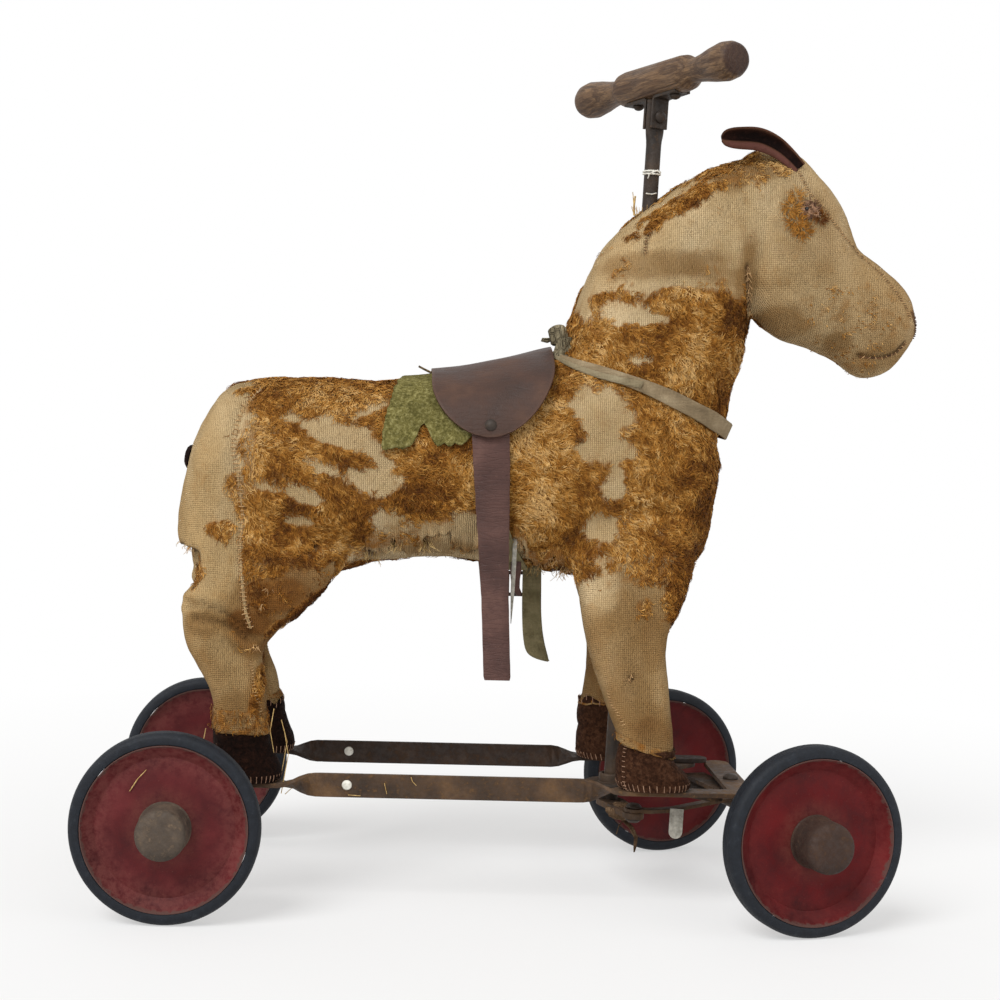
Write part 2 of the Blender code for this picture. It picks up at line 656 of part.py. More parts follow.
def domed(radius, height, base, direction, steps=4):
    """Profile points of a dome, from its rim to its top."""
    points = []
    for index in range(steps):
        angle = math.pi / 2 * index / steps
        points.append((radius * math.cos(angle), base + direction * height * math.sin(angle)))
    points.append((0.0, base + direction * height))
    return points


def handle_profile():
    """Half of the turned handle: barrel, shoulder, neck and knob, from the middle outwards."""
    half = HANDLE_LENGTH / 2
    return [(HANDLE_RADIUS, 0.0), (HANDLE_RADIUS, half * 0.35), (HANDLE_RADIUS * 0.95, half * 0.41),
            (HANDLE_RADIUS * 0.81, half * 0.45), (HANDLE_NECK, half * 0.485), (HANDLE_NECK, half * 0.53),
            (HANDLE_NECK * 1.13, half * 0.62), (HANDLE_KNOB * 0.88, half * 0.73), (HANDLE_KNOB, half * 0.86),
            (HANDLE_KNOB * 0.94, half * 0.94), (HANDLE_KNOB * 0.80, half * 0.985), (HANDLE_KNOB * 0.66, half)]


def handle_pieces(column, looks):
    """The turned handle, its two angle brackets, the rivet and the screws."""
    dark = looks["dark_steel"]
    turn = Matrix.Rotation(HANDLE_ANGLE, 4, "Z")
    flange_top = COLUMN_LENGTH + GAP + BRACKET_THICKNESS
    seat = turn @ Matrix.Translation((0, 0, flange_top)) @ Matrix.Rotation(-HANDLE_TILT, 4, "X")
    half = handle_profile()
    profile = [(0.0, -HANDLE_LENGTH / 2)] + [(r, -s) for r, s in reversed(half)] + half[1:]
    profile.append((0.0, HANDLE_LENGTH / 2))
    frame = seat @ Matrix.Translation((0, 0, GAP + HANDLE_RADIUS)) @ Matrix.Rotation(-math.pi / 2, 4, "X")
    handle = lathe("handle", profile, 15, looks["handle_wood"], column, frame)
    leg_out = COLUMN_FLAT_THICKNESS / 2 + GAP + BRACKET_THICKNESS / 2
    rivet_z = COLUMN_LENGTH - BRACKET_RIVET_DROP
    bore_top = GAP + HANDLE_SCREW_DEPTH
    for side in (RIGHT, LEFT):
        label = SIDE_NAMES[side]
        points = [turn @ Vector((0, side * leg_out, flange_top - BRACKET_LEG)),
                  seat @ Vector((0, side * leg_out, -BRACKET_THICKNESS / 2)),
                  seat @ Vector((0, side * BRACKET_FLANGE, -BRACKET_THICKNESS / 2))]
        across = turn @ Vector((1, 0, 0))
        bracket = bent_strip("handle_bracket_" + label, points, 0.003, across, BRACKET_WIDTH, BRACKET_THICKNESS,
                             dark, column)
        cut(bracket, cylinder_cutter("leg_drill_" + label, BRACKET_RIVET_RADIUS + GAP, turn @ Vector((0, 0, rivet_z)),
                                     turn @ Vector((0, side * 0.02, rivet_z)), column, 12))
        place = Vector((0, side * HANDLE_SCREW_PLACE, 0))
        drill = cylinder_cutter("screw_drill_" + label, HANDLE_SCREW_RADIUS + GAP,
                                seat @ (place - Vector((0, 0, 0.01))), seat @ (place + Vector((0, 0, bore_top))),
                                column, 12)
        cut(bracket, drill)
        cut(handle, drill)
        head_top = -BRACKET_THICKNESS - GAP
        screw = [(0.0, bore_top - GAP), (HANDLE_SCREW_RADIUS, bore_top - GAP), (HANDLE_SCREW_RADIUS, head_top)]
        screw += domed(HANDLE_SCREW_HEAD, 0.0034, head_top, -1)
        lathe("handle_screw_" + label, screw, 12, dark, column, seat @ Matrix.Translation(place))
    face = leg_out + BRACKET_THICKNESS / 2 + GAP
    rivet = list(reversed(domed(BRACKET_RIVET_HEAD, 0.0034, -face, -1)))
    rivet += [(BRACKET_RIVET_RADIUS, -face), (BRACKET_RIVET_RADIUS, face)]
    rivet += domed(BRACKET_RIVET_HEAD, 0.0034, face, 1)
    across_column = turn @ Matrix.Translation((0, 0, rivet_z)) @ Matrix.Rotation(-math.pi / 2, 4, "X")
    lathe("bracket_rivet", rivet, 12, dark, column, across_column)


# Horse. Section tables are in millimetres: x from the rear axle, z above the top of the side bars.

TORSO = (
    (-9.0, 206.0, 180.0, 14.0), (-7.5, 223.0, 162.0, 32.0), (-3.0, 247.0, 147.0, 48.0), (8.0, 277.5, 140.0, 61.0),
    (23.0, 299.5, 137.0, 69.0), (45.0, 306.5, 139.0, 74.0), (90.0, 309.5, 147.0, 76.0), (142.0, 307.5, 164.0, 75.0),
    (190.0, 311.5, 168.0, 74.0), (235.0, 319.0, 166.0, 75.0), (280.0, 330.0, 161.0, 76.0),
    (320.0, 337.0, 155.0, 76.0), (360.0, 334.0, 153.0, 73.0), (387.0, 318.0, 160.0, 64.0),
    (404.0, 294.0, 175.0, 50.0), (411.0, 268.0, 202.0, 31.0), (416.0, 254.0, 234.0, 14.0),
)

# Each neck and head ring runs from a first point to an opposite point, both (x, z), with a half width.
NECK = (
    ((306.0, 300.0), (398.0, 262.0), 40.0), ((294.0, 318.0), (420.0, 276.0), 58.0),
    ((289.0, 338.0), (425.0, 300.0), 61.0), ((298.0, 358.0), (433.0, 330.0), 60.0),
    ((306.0, 384.0), (438.5, 361.0), 56.0), ((325.0, 423.0), (446.0, 388.0), 53.0),
    ((357.0, 449.5), (458.0, 408.0), 50.0), ((385.0, 470.0), (466.0, 428.0), 47.0),
    ((411.0, 484.0), (474.0, 448.0), 42.0), ((431.0, 489.0), (478.0, 462.0), 30.0),
)

HEAD = (
    ((424.0, 474.0), (428.0, 420.0), 22.0), ((434.0, 491.0), (433.0, 384.0), 38.0),
    ((451.0, 499.0), (446.0, 359.0), 46.0), ((473.0, 495.0), (466.0, 346.0), 49.0),
    ((490.0, 479.5), (484.0, 342.0), 48.0), ((505.0, 460.0), (498.0, 336.0), 44.0),
    ((516.0, 436.0), (508.0, 331.0), 39.0), ((526.0, 419.0), (517.0, 324.0), 35.0),
    ((543.0, 407.0), (527.0, 318.0), 33.0), ((559.0, 392.0), (540.0, 319.0), 31.0),
    ((568.0, 377.0), (552.0, 325.0), 26.0), ((572.0, 362.0), (562.0, 336.0), 17.0),
    ((572.3, 355.0), (568.0, 346.0), 7.0),
)

# Leg rows: z above the bars, back x, front x, distance out from the middle, half width, and how far
# forward of this the far leg stands.
FRONT_LEG = (
    (206.0, 300.0, 396.0, 47.0, 25.0, 0.0), (170.0, 298.0, 392.0, 51.0, 27.0, 3.0),
    (148.0, 301.0, 386.0, 54.0, 27.0, 8.0), (113.0, 309.0, 373.0, 58.0, 26.0, 10.5),
    (74.0, 321.0, 375.0, 61.0, 25.0, 1.0), (38.0, 335.0, 378.0, 63.0, 22.0, -18.0),
    (29.0, 337.0, 378.0, 63.0, 20.5, -19.0),
)

HIND_LEG = (
    (206.0, 6.0, 108.0, 45.0, 27.0, 0.0), (170.0, 3.0, 124.0, 49.0, 29.0, -1.0),
    (148.0, 1.0, 110.0, 52.0, 28.0, -3.0), (130.0, -1.0, 94.0, 54.0, 27.0, -5.0),
    (115.0, 0.0, 76.0, 56.0, 26.0, -6.0), (100.0, 4.5, 64.0, 58.0, 24.0, -6.0),
    (84.0, 14.0, 64.0, 60.0, 23.0, -5.0), (66.0, 24.0, 67.0, 62.0, 22.0, -1.5),
    (38.0, 27.0, 69.0, 63.0, 20.5, 2.0), (29.0, 27.5, 70.0, 63.0, 20.0, 2.0),
)

# Hoof rows: share of the hoof's height, back x, front x, half width.
FRONT_HOOF = ((0.0, 338.0, 389.0, 23.0), (0.12, 335.0, 392.0, 24.5), (0.42, 334.5, 389.0, 24.5),
              (0.72, 334.5, 382.0, 23.0), (0.93, 336.0, 379.0, 21.5), (1.0, 338.5, 377.0, 20.0))
HIND_HOOF = ((0.0, 28.0, 77.0, 22.5), (0.12, 25.5, 79.5, 24.0), (0.42, 25.0, 78.0, 24.0),
             (0.72, 25.5, 74.0, 22.5), (0.93, 27.0, 72.0, 21.0), (1.0, 29.5, 69.0, 19.5))

TAIL_STUB = (
    ((12.0, 256.0), (6.0, 232.0), 6.0), ((-2.0, 254.0), (-3.0, 233.0), 6.0),
    ((-6.0, 251.0), (-6.5, 236.0), 5.0), ((-7.5, 246.0), (-8.0, 240.0), 2.0),
)

# Ear rows: (x, z, distance out from the middle, half width). The far ear droops outwards.
EARS = {
    RIGHT: ((470.0, 479.0, 34.0, 5.2), (461.5, 487.5, 34.5, 6.0), (450.0, 496.0, 35.0, 7.4),
            (437.0, 501.0, 35.5, 8.2), (423.0, 501.5, 36.0, 7.8), (410.0, 501.0, 36.0, 2.5)),
    LEFT: ((470.0, 479.0, 34.0, 5.2), (463.0, 483.0, 38.0, 6.0), (454.0, 482.0, 44.0, 7.4),
           (444.0, 476.0, 51.0, 8.2), (434.0, 467.0, 58.0, 7.8), (425.0, 457.0, 64.0, 2.5)),
}

# The leather shell is laid on the torso: x, and angles from the spine.
SADDLE_MIDDLE = 235.0
SADDLE_HALF_LENGTH = 47.0
SADDLE_STRAIGHT = math.radians(36.0)
SADDLE_END = math.radians(76.5)
FELT_BACK = 172.0
FELT_BACK_AT_SIDES = 151.0
FELT_FRONT = 266.0
FELT_END = math.radians(84.4)
RIVET_X = 232.5
RIVET_ANGLE = math.radians(70.5)
STRAP_TOP_ANGLE = math.radians(63.0)
STRAP_HANG_ANGLE = math.radians(86.0)
GIRTH_SIDE_X = 233.0
GIRTH_BELLY_X = 258.0
GIRTH_TOP_ANGLE = math.radians(96.0)
BREAST_REAR = (287.0, 336.0)
BREAST_FRONT = (425.0, 273.0)

HOOF_FRONT_START = FRONT_HOOF[0][1] * HORSE_UNIT
HOOF_HIND_END = HIND_HOOF[0][2] * HORSE_UNIT
FAR_FRONT_HOOF_SHIFT = FRONT_LEG[-1][5] * HORSE_UNIT
FAR_HIND_HOOF_SHIFT = HIND_LEG[-1][5] * HORSE_UNIT


def along(x_units):
    """World X of a place on the horse, which is as large as the wheelbase makes it."""
    return REAR_AXLE_X + x_units * HORSE_UNIT


def above(z_units):
    """World Z of a height above the side bars."""
    return BAR_TOP + z_units * HORSE_UNIT


def through(values, share):
    """A smooth value through a row of values, at a share from 0 to 1 (Catmull-Rom)."""
    spot = share * (len(values) - 1)
    index = min(int(spot), len(values) - 2)
    t = spot - index
    before = values[max(index - 1, 0)]
    first = values[index]
    second = values[index + 1]
    after = values[min(index + 2, len(values) - 1)]
    return 0.5 * (2 * first + (second - before) * t + (2 * before - 5 * first + 4 * second - after) * t * t
                  + (3 * first - before - 3 * second + after) * t**3)


def full_ring(first, second, half_width, centre_y, steps, grow=0.0):
    """A full oval ring between two opposite points in the plane of the horse's middle."""
    middle = (first + second) / 2
    reach = (first - second) / 2
    reach += reach.normalized() * grow
    power = 2.0 / HORSE_SQUARENESS
    ring = []
    for index in range(steps):
        angle = math.tau * index / steps
        along_reach = math.copysign(abs(math.cos(angle)) ** power, math.cos(angle))
        outward = math.copysign(abs(math.sin(angle)) ** power, math.sin(angle))
        point = middle + reach * along_reach
        ring.append(Vector((point.x, centre_y + outward * (half_width + grow), point.z)))
    return ring


def stuffed(name, rows, rings, steps, look, grow=0.0):
    """A stuffed form, grown all round by grow. Rows: (first point, opposite point, half width, centre y)."""
    made = []
    for index in range(rings):
        share = index / (rings - 1)
        first = Vector(through([Vector(row[0]) for row in rows], share))
        second = Vector(through([Vector(row[1]) for row in rows], share))
        half_width = through([row[2] for row in rows], share)
        centre_y = through([row[3] for row in rows], share)
        made.append(full_ring(first, second, half_width, centre_y, steps, grow))
    for end, neighbour in ((0, 1), (-1, -2)):
        outward = (ring_centre(made[end]) - ring_centre(made[neighbour])).normalized() * grow
        made[end] = [point + outward for point in made[end]]
    return piece(name, skin_rings(made), look, sharp=60.0)


def ring_centre(ring):
    return sum(ring, Vector()) / len(ring)


def torso_rows():
    return [((along(x), 0, above(top)), (along(x), 0, above(low)), half * HORSE_UNIT, 0.0)
            for x, top, low, half in TORSO]


def pair_rows(table):
    return [((along(a[0]), 0, above(a[1])), (along(b[0]), 0, above(b[1])), half * HORSE_UNIT, 0.0)
            for a, b, half in table]


def leg_rows(table, side, out_at_hoof):
    """Rows of a leg, from its top to the top of its hoof."""
    drawn_out = table[-1][3]
    rows = []
    for z, back, front, out, half, far_shift in table:
        moved = far_shift * HORSE_UNIT if side == LEFT else 0.0
        centre = side * ((out - drawn_out) * HORSE_UNIT + out_at_hoof)
        height = above(z) if z > table[-1][0] else BAR_TOP + HOOF_HEIGHT + GAP
        rows.append(((along(back) + moved, 0, height), (along(front) + moved, 0, height), half * HORSE_UNIT, centre))
    return rows


def grown_copy(name, rows, rings, steps):
    """A hidden copy of a stuffed form, one gap larger, that cuts its neighbours."""
    cutter = stuffed(name, rows, rings, steps, None, grow=2 * GAP)
    hide(cutter)
    return cutter


def column_bore(name, radius):
    """A hidden bore along the steering column."""
    frame = column_frame()
    start = frame @ Vector((0, 0, 0.10))
    end = frame @ Vector((0, 0, COLUMN_LENGTH))
    return cylinder_cutter(name, radius, start, end, None, 16)


def hoof(name, table, side, out, shift, look):
    rings = []
    for share, back, front, half in table:
        height = BAR_TOP + GAP + share * (HOOF_HEIGHT - GAP)
        first = Vector((along(back) + shift, 0, height))
        second = Vector((along(front) + shift, 0, height))
        rings.append(full_ring(first, second, half * HORSE_UNIT, side * out, 18))
    return piece(name, skin_rings(rings), look, sharp=50.0)


def horse_pieces(looks):
    cloth = looks["horse_cloth"]
    torso_shape = torso_rows()
    neck_shape = pair_rows(NECK)
    torso = stuffed("torso", torso_shape, TORSO_RINGS, TORSO_STEPS, cloth)
    torso_cutter = grown_copy("torso_cutter", torso_shape, TORSO_RINGS, TORSO_STEPS)
    neck_cutter = grown_copy("neck_cutter", neck_shape, NECK_RINGS, NECK_STEPS)
    head_cutter = grown_copy("head_cutter", pair_rows(HEAD), HEAD_RINGS, NECK_STEPS)
    bore = column_bore("horse_bore", COLUMN_BORE_IN_HORSE)
    neck = stuffed("neck", neck_shape, NECK_RINGS, NECK_STEPS, cloth)
    head = stuffed("head", pair_rows(HEAD), HEAD_RINGS, NECK_STEPS, cloth)
    cut(torso, bore)
    cut(neck, torso_cutter)
    cut(neck, bore)
    cut(head, neck_cutter)
    neck_bush(neck, looks)
    for side in (RIGHT, LEFT):
        label = SIDE_NAMES[side]
        front_shift = FAR_FRONT_HOOF_SHIFT if side == LEFT else 0.0
        hind_shift = FAR_HIND_HOOF_SHIFT if side == LEFT else 0.0
        front = stuffed("front_leg_" + label, leg_rows(FRONT_LEG, side, LEG_OUT_FRONT), FRONT_LEG_RINGS,
                        LEG_STEPS, cloth)
        hind = stuffed("hind_leg_" + label, leg_rows(HIND_LEG, side, LEG_OUT_HIND), HIND_LEG_RINGS,
                       LEG_STEPS, cloth)
        cut(front, torso_cutter)
        cut(hind, torso_cutter)
        hoof("front_hoof_" + label, FRONT_HOOF, side, LEG_OUT_FRONT, front_shift, looks["hoof_felt"])
        hoof("hind_hoof_" + label, HIND_HOOF, side, LEG_OUT_HIND, hind_shift, looks["hoof_felt"])
        cut(ear(side, looks["ear_leather"]), head_cutter)
    tail_stub(looks["ear_leather"], torso_cutter)
    return torso, neck


def neck_bush(neck, looks):
    """A wooden bush sunk in the neck, open to the bore, that guides the column."""
    frame = column_frame()
    top = COLUMN_EXIT - BUSH_DEPTH
    low = top - BUSH_LENGTH
    socket = cylinder_cutter("bush_socket", BUSH_RADIUS + GAP, frame @ Vector((0, 0, low - GAP)),
                             frame @ Vector((0, 0, top + GAP)), None, 16)
    cut(neck, socket)
    bore = COLUMN_RADIUS + BUSH_CLEARANCE
    profile = [(bore, low), (BUSH_RADIUS, low), (BUSH_RADIUS, top), (bore, top)]
    return lathe("column_bush", profile, 16, looks["handle_wood"], None, frame, loop=True)


def ear(side, look):
    """A cupped leather leaf that lies back from the poll and opens outwards."""
    stations = 11
    arc_points = 6
    rows = [(Vector((along(x), side * out * HORSE_UNIT, above(z))), half * HORSE_UNIT)
            for x, z, out, half in EARS[side]]
    line = [row[0] for row in rows]
    rings = []
    for index in range(stations):
        share = index / (stations - 1)
        centre = through(line, share)
        ahead = through(line, min(share + 0.02, 1.0))
        behind = through(line, max(share - 0.02, 0.0))
        forward = (ahead - behind).normalized()
        up = forward.cross(Vector((0, 1, 0))).normalized()
        if up.z < 0:
            up = -up
        out = up.cross(forward) * side
        if out.y * side < 0:
            out = -out
        half = through([row[1] for row in rows], share)
        outer = []
        inner = []
        for step in range(arc_points):
            angle = math.radians(-75 + 150 * step / (arc_points - 1))
            direction = out * -math.cos(angle) + up * math.sin(angle)
            outer.append(centre + out * half * 0.6 + direction * half)
            inner.append(centre + out * half * 0.6 + direction * max(half - EAR_THICKNESS, 0.0006))
        rings.append(outer + list(reversed(inner)))
    return piece("ear_" + SIDE_NAMES[side], skin_rings(rings), look, sharp=50.0)


def tail_stub(look, torso_cutter):
    """The short leather end left of the tail, standing out of the rump."""
    stub = stuffed("tail_stub", pair_rows(TAIL_STUB), 6, 12, look)
    return cut(stub, torso_cutter)


# Tack


def torso_surface(x_mm, angle, lift):
    """A point above the torso: angle 0 is the spine and pi is the belly, positive to +Y."""
    places = [row[0] for row in TORSO]
    index = max(i for i in range(len(places) - 1) if places[i] <= x_mm)
    share = (index + (x_mm - places[index]) / (places[index + 1] - places[index])) / (len(places) - 1)
    top = above(through([row[1] for row in TORSO], share))
    low = above(through([row[2] for row in TORSO], share))
    half = through([row[3] for row in TORSO], share) * HORSE_UNIT
    tall = (top - low) / 2
    power = 2.0 / HORSE_SQUARENESS
    up = math.copysign(abs(math.cos(angle)) ** power, math.cos(angle))
    out = math.copysign(abs(math.sin(angle)) ** power, math.sin(angle))
    slope = HORSE_SQUARENESS - 1.0
    normal = Vector((0, math.copysign(abs(out) ** slope, out) / half, math.copysign(abs(up) ** slope, up) / tall))
    return Vector((along(x_mm), half * out, (top + low) / 2 + tall * up)) + normal.normalized() * lift


def shell_on_torso(name, rows, columns, place, inner_lift, thickness, look):
    """A sheet on the torso. place(u, v) gives (x in mm, angle), inner_lift(u, v) its height."""
    bm = bmesh.new()
    sheets = []
    for extra in (0.0, thickness):
        sheet = []
        for row in range(rows + 1):
            line = []
            for column in range(columns + 1):
                u = column / columns
                v = 2.0 * row / rows - 1.0
                x_mm, angle = place(u, v)
                line.append(bm.verts.new(torso_surface(x_mm, angle, inner_lift(u, v) + extra)))
            sheet.append(line)
        sheets.append(sheet)
    inner, outer = sheets
    for row in range(rows):
        for column in range(columns):
            for sheet in sheets:
                bm.faces.new([sheet[row][column], sheet[row][column + 1], sheet[row + 1][column + 1],
                              sheet[row + 1][column]])
    for row in range(rows):
        for column in (0, columns):
            bm.faces.new([inner[row][column], inner[row + 1][column], outer[row + 1][column], outer[row][column]])
    for column in range(columns):
        for row in (0, rows):
            bm.faces.new([inner[row][column], inner[row][column + 1], outer[row][column + 1], outer[row][column]])
    return piece(name, bm, look, sharp=40.0)


def saddle_place(u, v):
    """The saddle is straight over the back and ends in a round flap at each side."""
    angle = v * SADDLE_END
    beyond = max(abs(angle) - SADDLE_STRAIGHT, 0.0) / (SADDLE_END - SADDLE_STRAIGHT)
    half = SADDLE_HALF_LENGTH * math.sqrt(max(1.0 - beyond**2, 0.02))
    return SADDLE_MIDDLE + (2 * u - 1) * half, angle


def saddle_lift(u, v):
    rise = smooth_step((abs(v) * SADDLE_END - math.radians(25)) / math.radians(25))
    return SADDLE_LIFT + (SADDLE_FLAP_LIFT - SADDLE_LIFT) * rise


def felt_place(u, v):
    """The blanket hangs lower and further back behind the saddle, with a torn lower edge."""
    hanging = 1.0 - smooth_step((u - 0.53) / 0.17)
    tear = 0.13 * math.exp(-(((u - 0.27) / 0.07) ** 2))
    end = FELT_END * (0.74 + 0.26 * hanging - tear)
    angle = v * end
    back = FELT_BACK + (FELT_BACK_AT_SIDES - FELT_BACK) * smooth_step(abs(v) / 0.8)
    return back + u * (FELT_FRONT - back), angle


def felt_lift(u, v):
    return FELT_LIFT


def tack_pieces(looks, torso, neck):
    leather = looks["saddle_leather"]
    shell_on_torso("saddle_felt", 18, 11, felt_place, felt_lift, FELT_THICKNESS, looks["green_felt"])
    saddle = shell_on_torso("saddle", 18, 8, saddle_place, saddle_lift, LEATHER_THICKNESS, leather)
    for side in (RIGHT, LEFT):
        stirrup_strap(side, leather, saddle, looks)
    girth(looks)
    breast_strap(looks, torso, neck)


def stirrup_strap(side, leather, saddle, looks):
    """A strap that hangs under the flap from one rivet, down past the belly."""
    lift = FELT_LIFT + FELT_THICKNESS + STIRRUP_SLACK + STRAP_THICKNESS / 2
    hinge = torso_surface(RIVET_X, side * RIVET_ANGLE, lift)
    path = []
    for index in range(6):
        angle = STRAP_TOP_ANGLE + (STRAP_HANG_ANGLE - STRAP_TOP_ANGLE) * index / 5
        path.append(torso_surface(RIVET_X, side * angle, lift))
    plane = path[-1].y
    bottom = BAR_TOP + STIRRUP_BOTTOM
    drop = path[-1].z - bottom
    for share in (0.12, 0.3, 0.55, 0.8, 1.0):
        path.append(Vector((path[5].x, plane, path[5].z - drop * share)))
    stations = []
    for index, point in enumerate(path):
        ahead = path[min(index + 1, len(path) - 1)]
        behind = path[max(index - 1, 0)]
        out = Vector((1, 0, 0)).cross((ahead - behind).normalized())
        hung = hinge.z - point.z
        share = smooth_step(hung / (hinge.z - bottom) * 1.3)
        width = STIRRUP_TOP_WIDTH + (STIRRUP_END_WIDTH - STIRRUP_TOP_WIDTH) * share
        if index == 0:
            width *= 0.7
        centre = point + Vector((STIRRUP_LEAN[side] * max(hung, 0.0), 0, 0))
        stations.append((centre, (1, 0, 0), out, width, STRAP_THICKNESS))
    strap = ribbon("stirrup_strap_" + SIDE_NAMES[side], stations, leather)
    shift = Matrix.Translation(-hinge)
    strap.data.transform(shift)
    strap.location = hinge
    normal = (torso_surface(RIVET_X, side * RIVET_ANGLE, 2 * lift) - hinge).normalized()
    radius = SADDLE_RIVET_RADIUS
    inner_head = 0.004
    inner_face = -STRAP_THICKNESS / 2 - GAP
    outer_face = SADDLE_FLAP_LIFT + LEATHER_THICKNESS - lift + GAP
    drill = cylinder_cutter("rivet_hole_" + SIDE_NAMES[side], radius + RUNNING_CLEARANCE,
                            hinge - normal * 0.004, hinge + normal * 0.012, None, 12)
    cut(saddle, drill)
    cut(strap, drill)
    profile = [(0.0, inner_face - 0.0005), (inner_head, inner_face - 0.0005), (inner_head, inner_face),
               (radius, inner_face), (radius, outer_face)]
    profile += domed(SADDLE_RIVET_HEAD, 0.0018, outer_face, 1, 3)
    frame = normal.to_track_quat("Z", "Y").to_matrix().to_4x4()
    frame.translation = hinge
    lathe("saddle_rivet_" + SIDE_NAMES[side], profile, 12, looks["rivet_steel"], None, frame)


def girth(looks):
    """A strap under the belly with a buckle and a free tape end."""
    stations = []
    lift = FELT_LIFT + GIRTH_SLACK + STRAP_THICKNESS / 2
    count = 24
    for index in range(count + 1):
        angle = GIRTH_TOP_ANGLE + (math.tau - 2 * GIRTH_TOP_ANGLE) * index / count
        belly = math.sin(math.pi * index / count) ** 2
        x_mm = GIRTH_SIDE_X + (GIRTH_BELLY_X - GIRTH_SIDE_X) * belly
        turned = angle if angle <= math.pi else angle - math.tau
        centre = torso_surface(x_mm, turned, lift)
        higher = torso_surface(x_mm, turned, lift + 0.001)
        stations.append((centre, (1, 0, 0), higher - centre, GIRTH_WIDTH, STRAP_THICKNESS))
    ribbon("girth_strap", stations, looks["girth_tape"])
    belly = torso_surface(GIRTH_BELLY_X, math.pi, lift)
    top = belly.z - STRAP_THICKNESS / 2 - GAP
    buckle_y = -0.008
    centre = Vector((belly.x + 0.001, buckle_y, top - BUCKLE_HALF_HEIGHT))
    buckle(centre, looks["dark_steel"])
    tape_top = Vector((belly.x + GIRTH_WIDTH / 2 + 0.002, buckle_y - 0.003, top - 0.0002))
    stations = []
    for index in range(9):
        share = index / 8
        point = tape_top + Vector((0.007 * share**1.5, -0.003 * math.sin(math.pi * share),
                                   -GIRTH_TAPE_LENGTH * share))
        stations.append((point, (1, 0, 0.1 * share), (0, 1, 0), GIRTH_TAPE_WIDTH, GIRTH_TAPE_THICKNESS))
    return ribbon("girth_tape_end", stations, looks["girth_tape"])


def buckle(centre, look):
    """A square wire buckle that hangs at the belly."""
    outer = (BUCKLE_HALF_LENGTH, BUCKLE_HALF_HEIGHT)
    inner = (BUCKLE_HALF_LENGTH - BUCKLE_WIRE, BUCKLE_HALF_HEIGHT - BUCKLE_WIRE)
    rings = []
    for half_x, half_z, y in ((*inner, -0.0012), (*outer, -0.0012), (*outer, 0.0012), (*inner, 0.0012)):
        corners = ((-half_x, -half_z), (half_x, -half_z), (half_x, half_z), (-half_x, half_z))
        rings.append([centre + Vector((x, y, z)) for x, z in corners])
    return piece("girth_buckle", skin_rings(rings, closed_loop=True), look)


def breast_strap(looks, torso, neck):
    """A tape round the base of the neck, laid on the cloth, open where its ends are knotted."""
    graph = bpy.context.evaluated_depsgraph_get()
    trees = [BVHTree.FromObject(neck, graph), BVHTree.FromObject(torso, graph)]
    rear = Vector((along(BREAST_REAR[0]), 0, above(BREAST_REAR[1])))
    front = Vector((along(BREAST_FRONT[0]), 0, above(BREAST_FRONT[1])))
    middle = (rear + front) / 2
    forward = (front - rear).normalized()
    sideways = Vector((0, 1, 0))
    up = forward.cross(sideways)
    if up.z < 0:
        up = -up
    edges = []
    for index in range(BREAST_STEPS + 1):
        angle = BREAST_START + (math.tau - 2 * BREAST_START) * index / BREAST_STEPS
        direction = -forward * math.cos(angle) + sideways * math.sin(angle)
        spots = []
        for height in (-BREAST_WIDTH / 2, 0.0, BREAST_WIDTH / 2):
            foot = middle + up * height
            reach = 0.0
            for tree in trees:
                hit = tree.ray_cast(foot + direction * 0.3, -direction)
                if hit[0] is not None:
                    reach = max(reach, (hit[0] - foot).length)
            spots.append(reach)
        edges.append((direction, spots))
    stations = []
    lift = BREAST_LIFT + STRAP_THICKNESS / 2
    for index, (direction, spots) in enumerate(edges):
        near = edges[max(index - 1, 0): index + 2]
        low, centre, high = (max(spot[1][level] for spot in near) for level in range(3))
        across = up * BREAST_WIDTH + direction * (high - low)
        out = (direction * BREAST_WIDTH - up * (high - low)).normalized()
        seat = middle + direction * max((low + high) / 2, centre)
        stations.append((seat + out * lift, across, out, BREAST_WIDTH, STRAP_THICKNESS))
    ribbon("breast_strap", stations, looks["tape"])


def main():
    clear_scene()
    looks = make_materials()
    frame_pieces(looks)
    truck = truck_pieces(looks)
    wheels(truck, looks)
    steering_pieces(looks)
    torso, neck = horse_pieces(looks)
    bpy.context.view_layer.update()
    tack_pieces(looks, torso, neck)
    bpy.context.view_layer.update()


main()
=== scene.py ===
"""Looks for the straw-filled toy horse on wheels. Lengths are in metres, in the part's frame."""

import json
import math

import bmesh
import bpy
import numpy as np
from mathutils import Matrix, Vector, noise
from mathutils.bvhtree import BVHTree

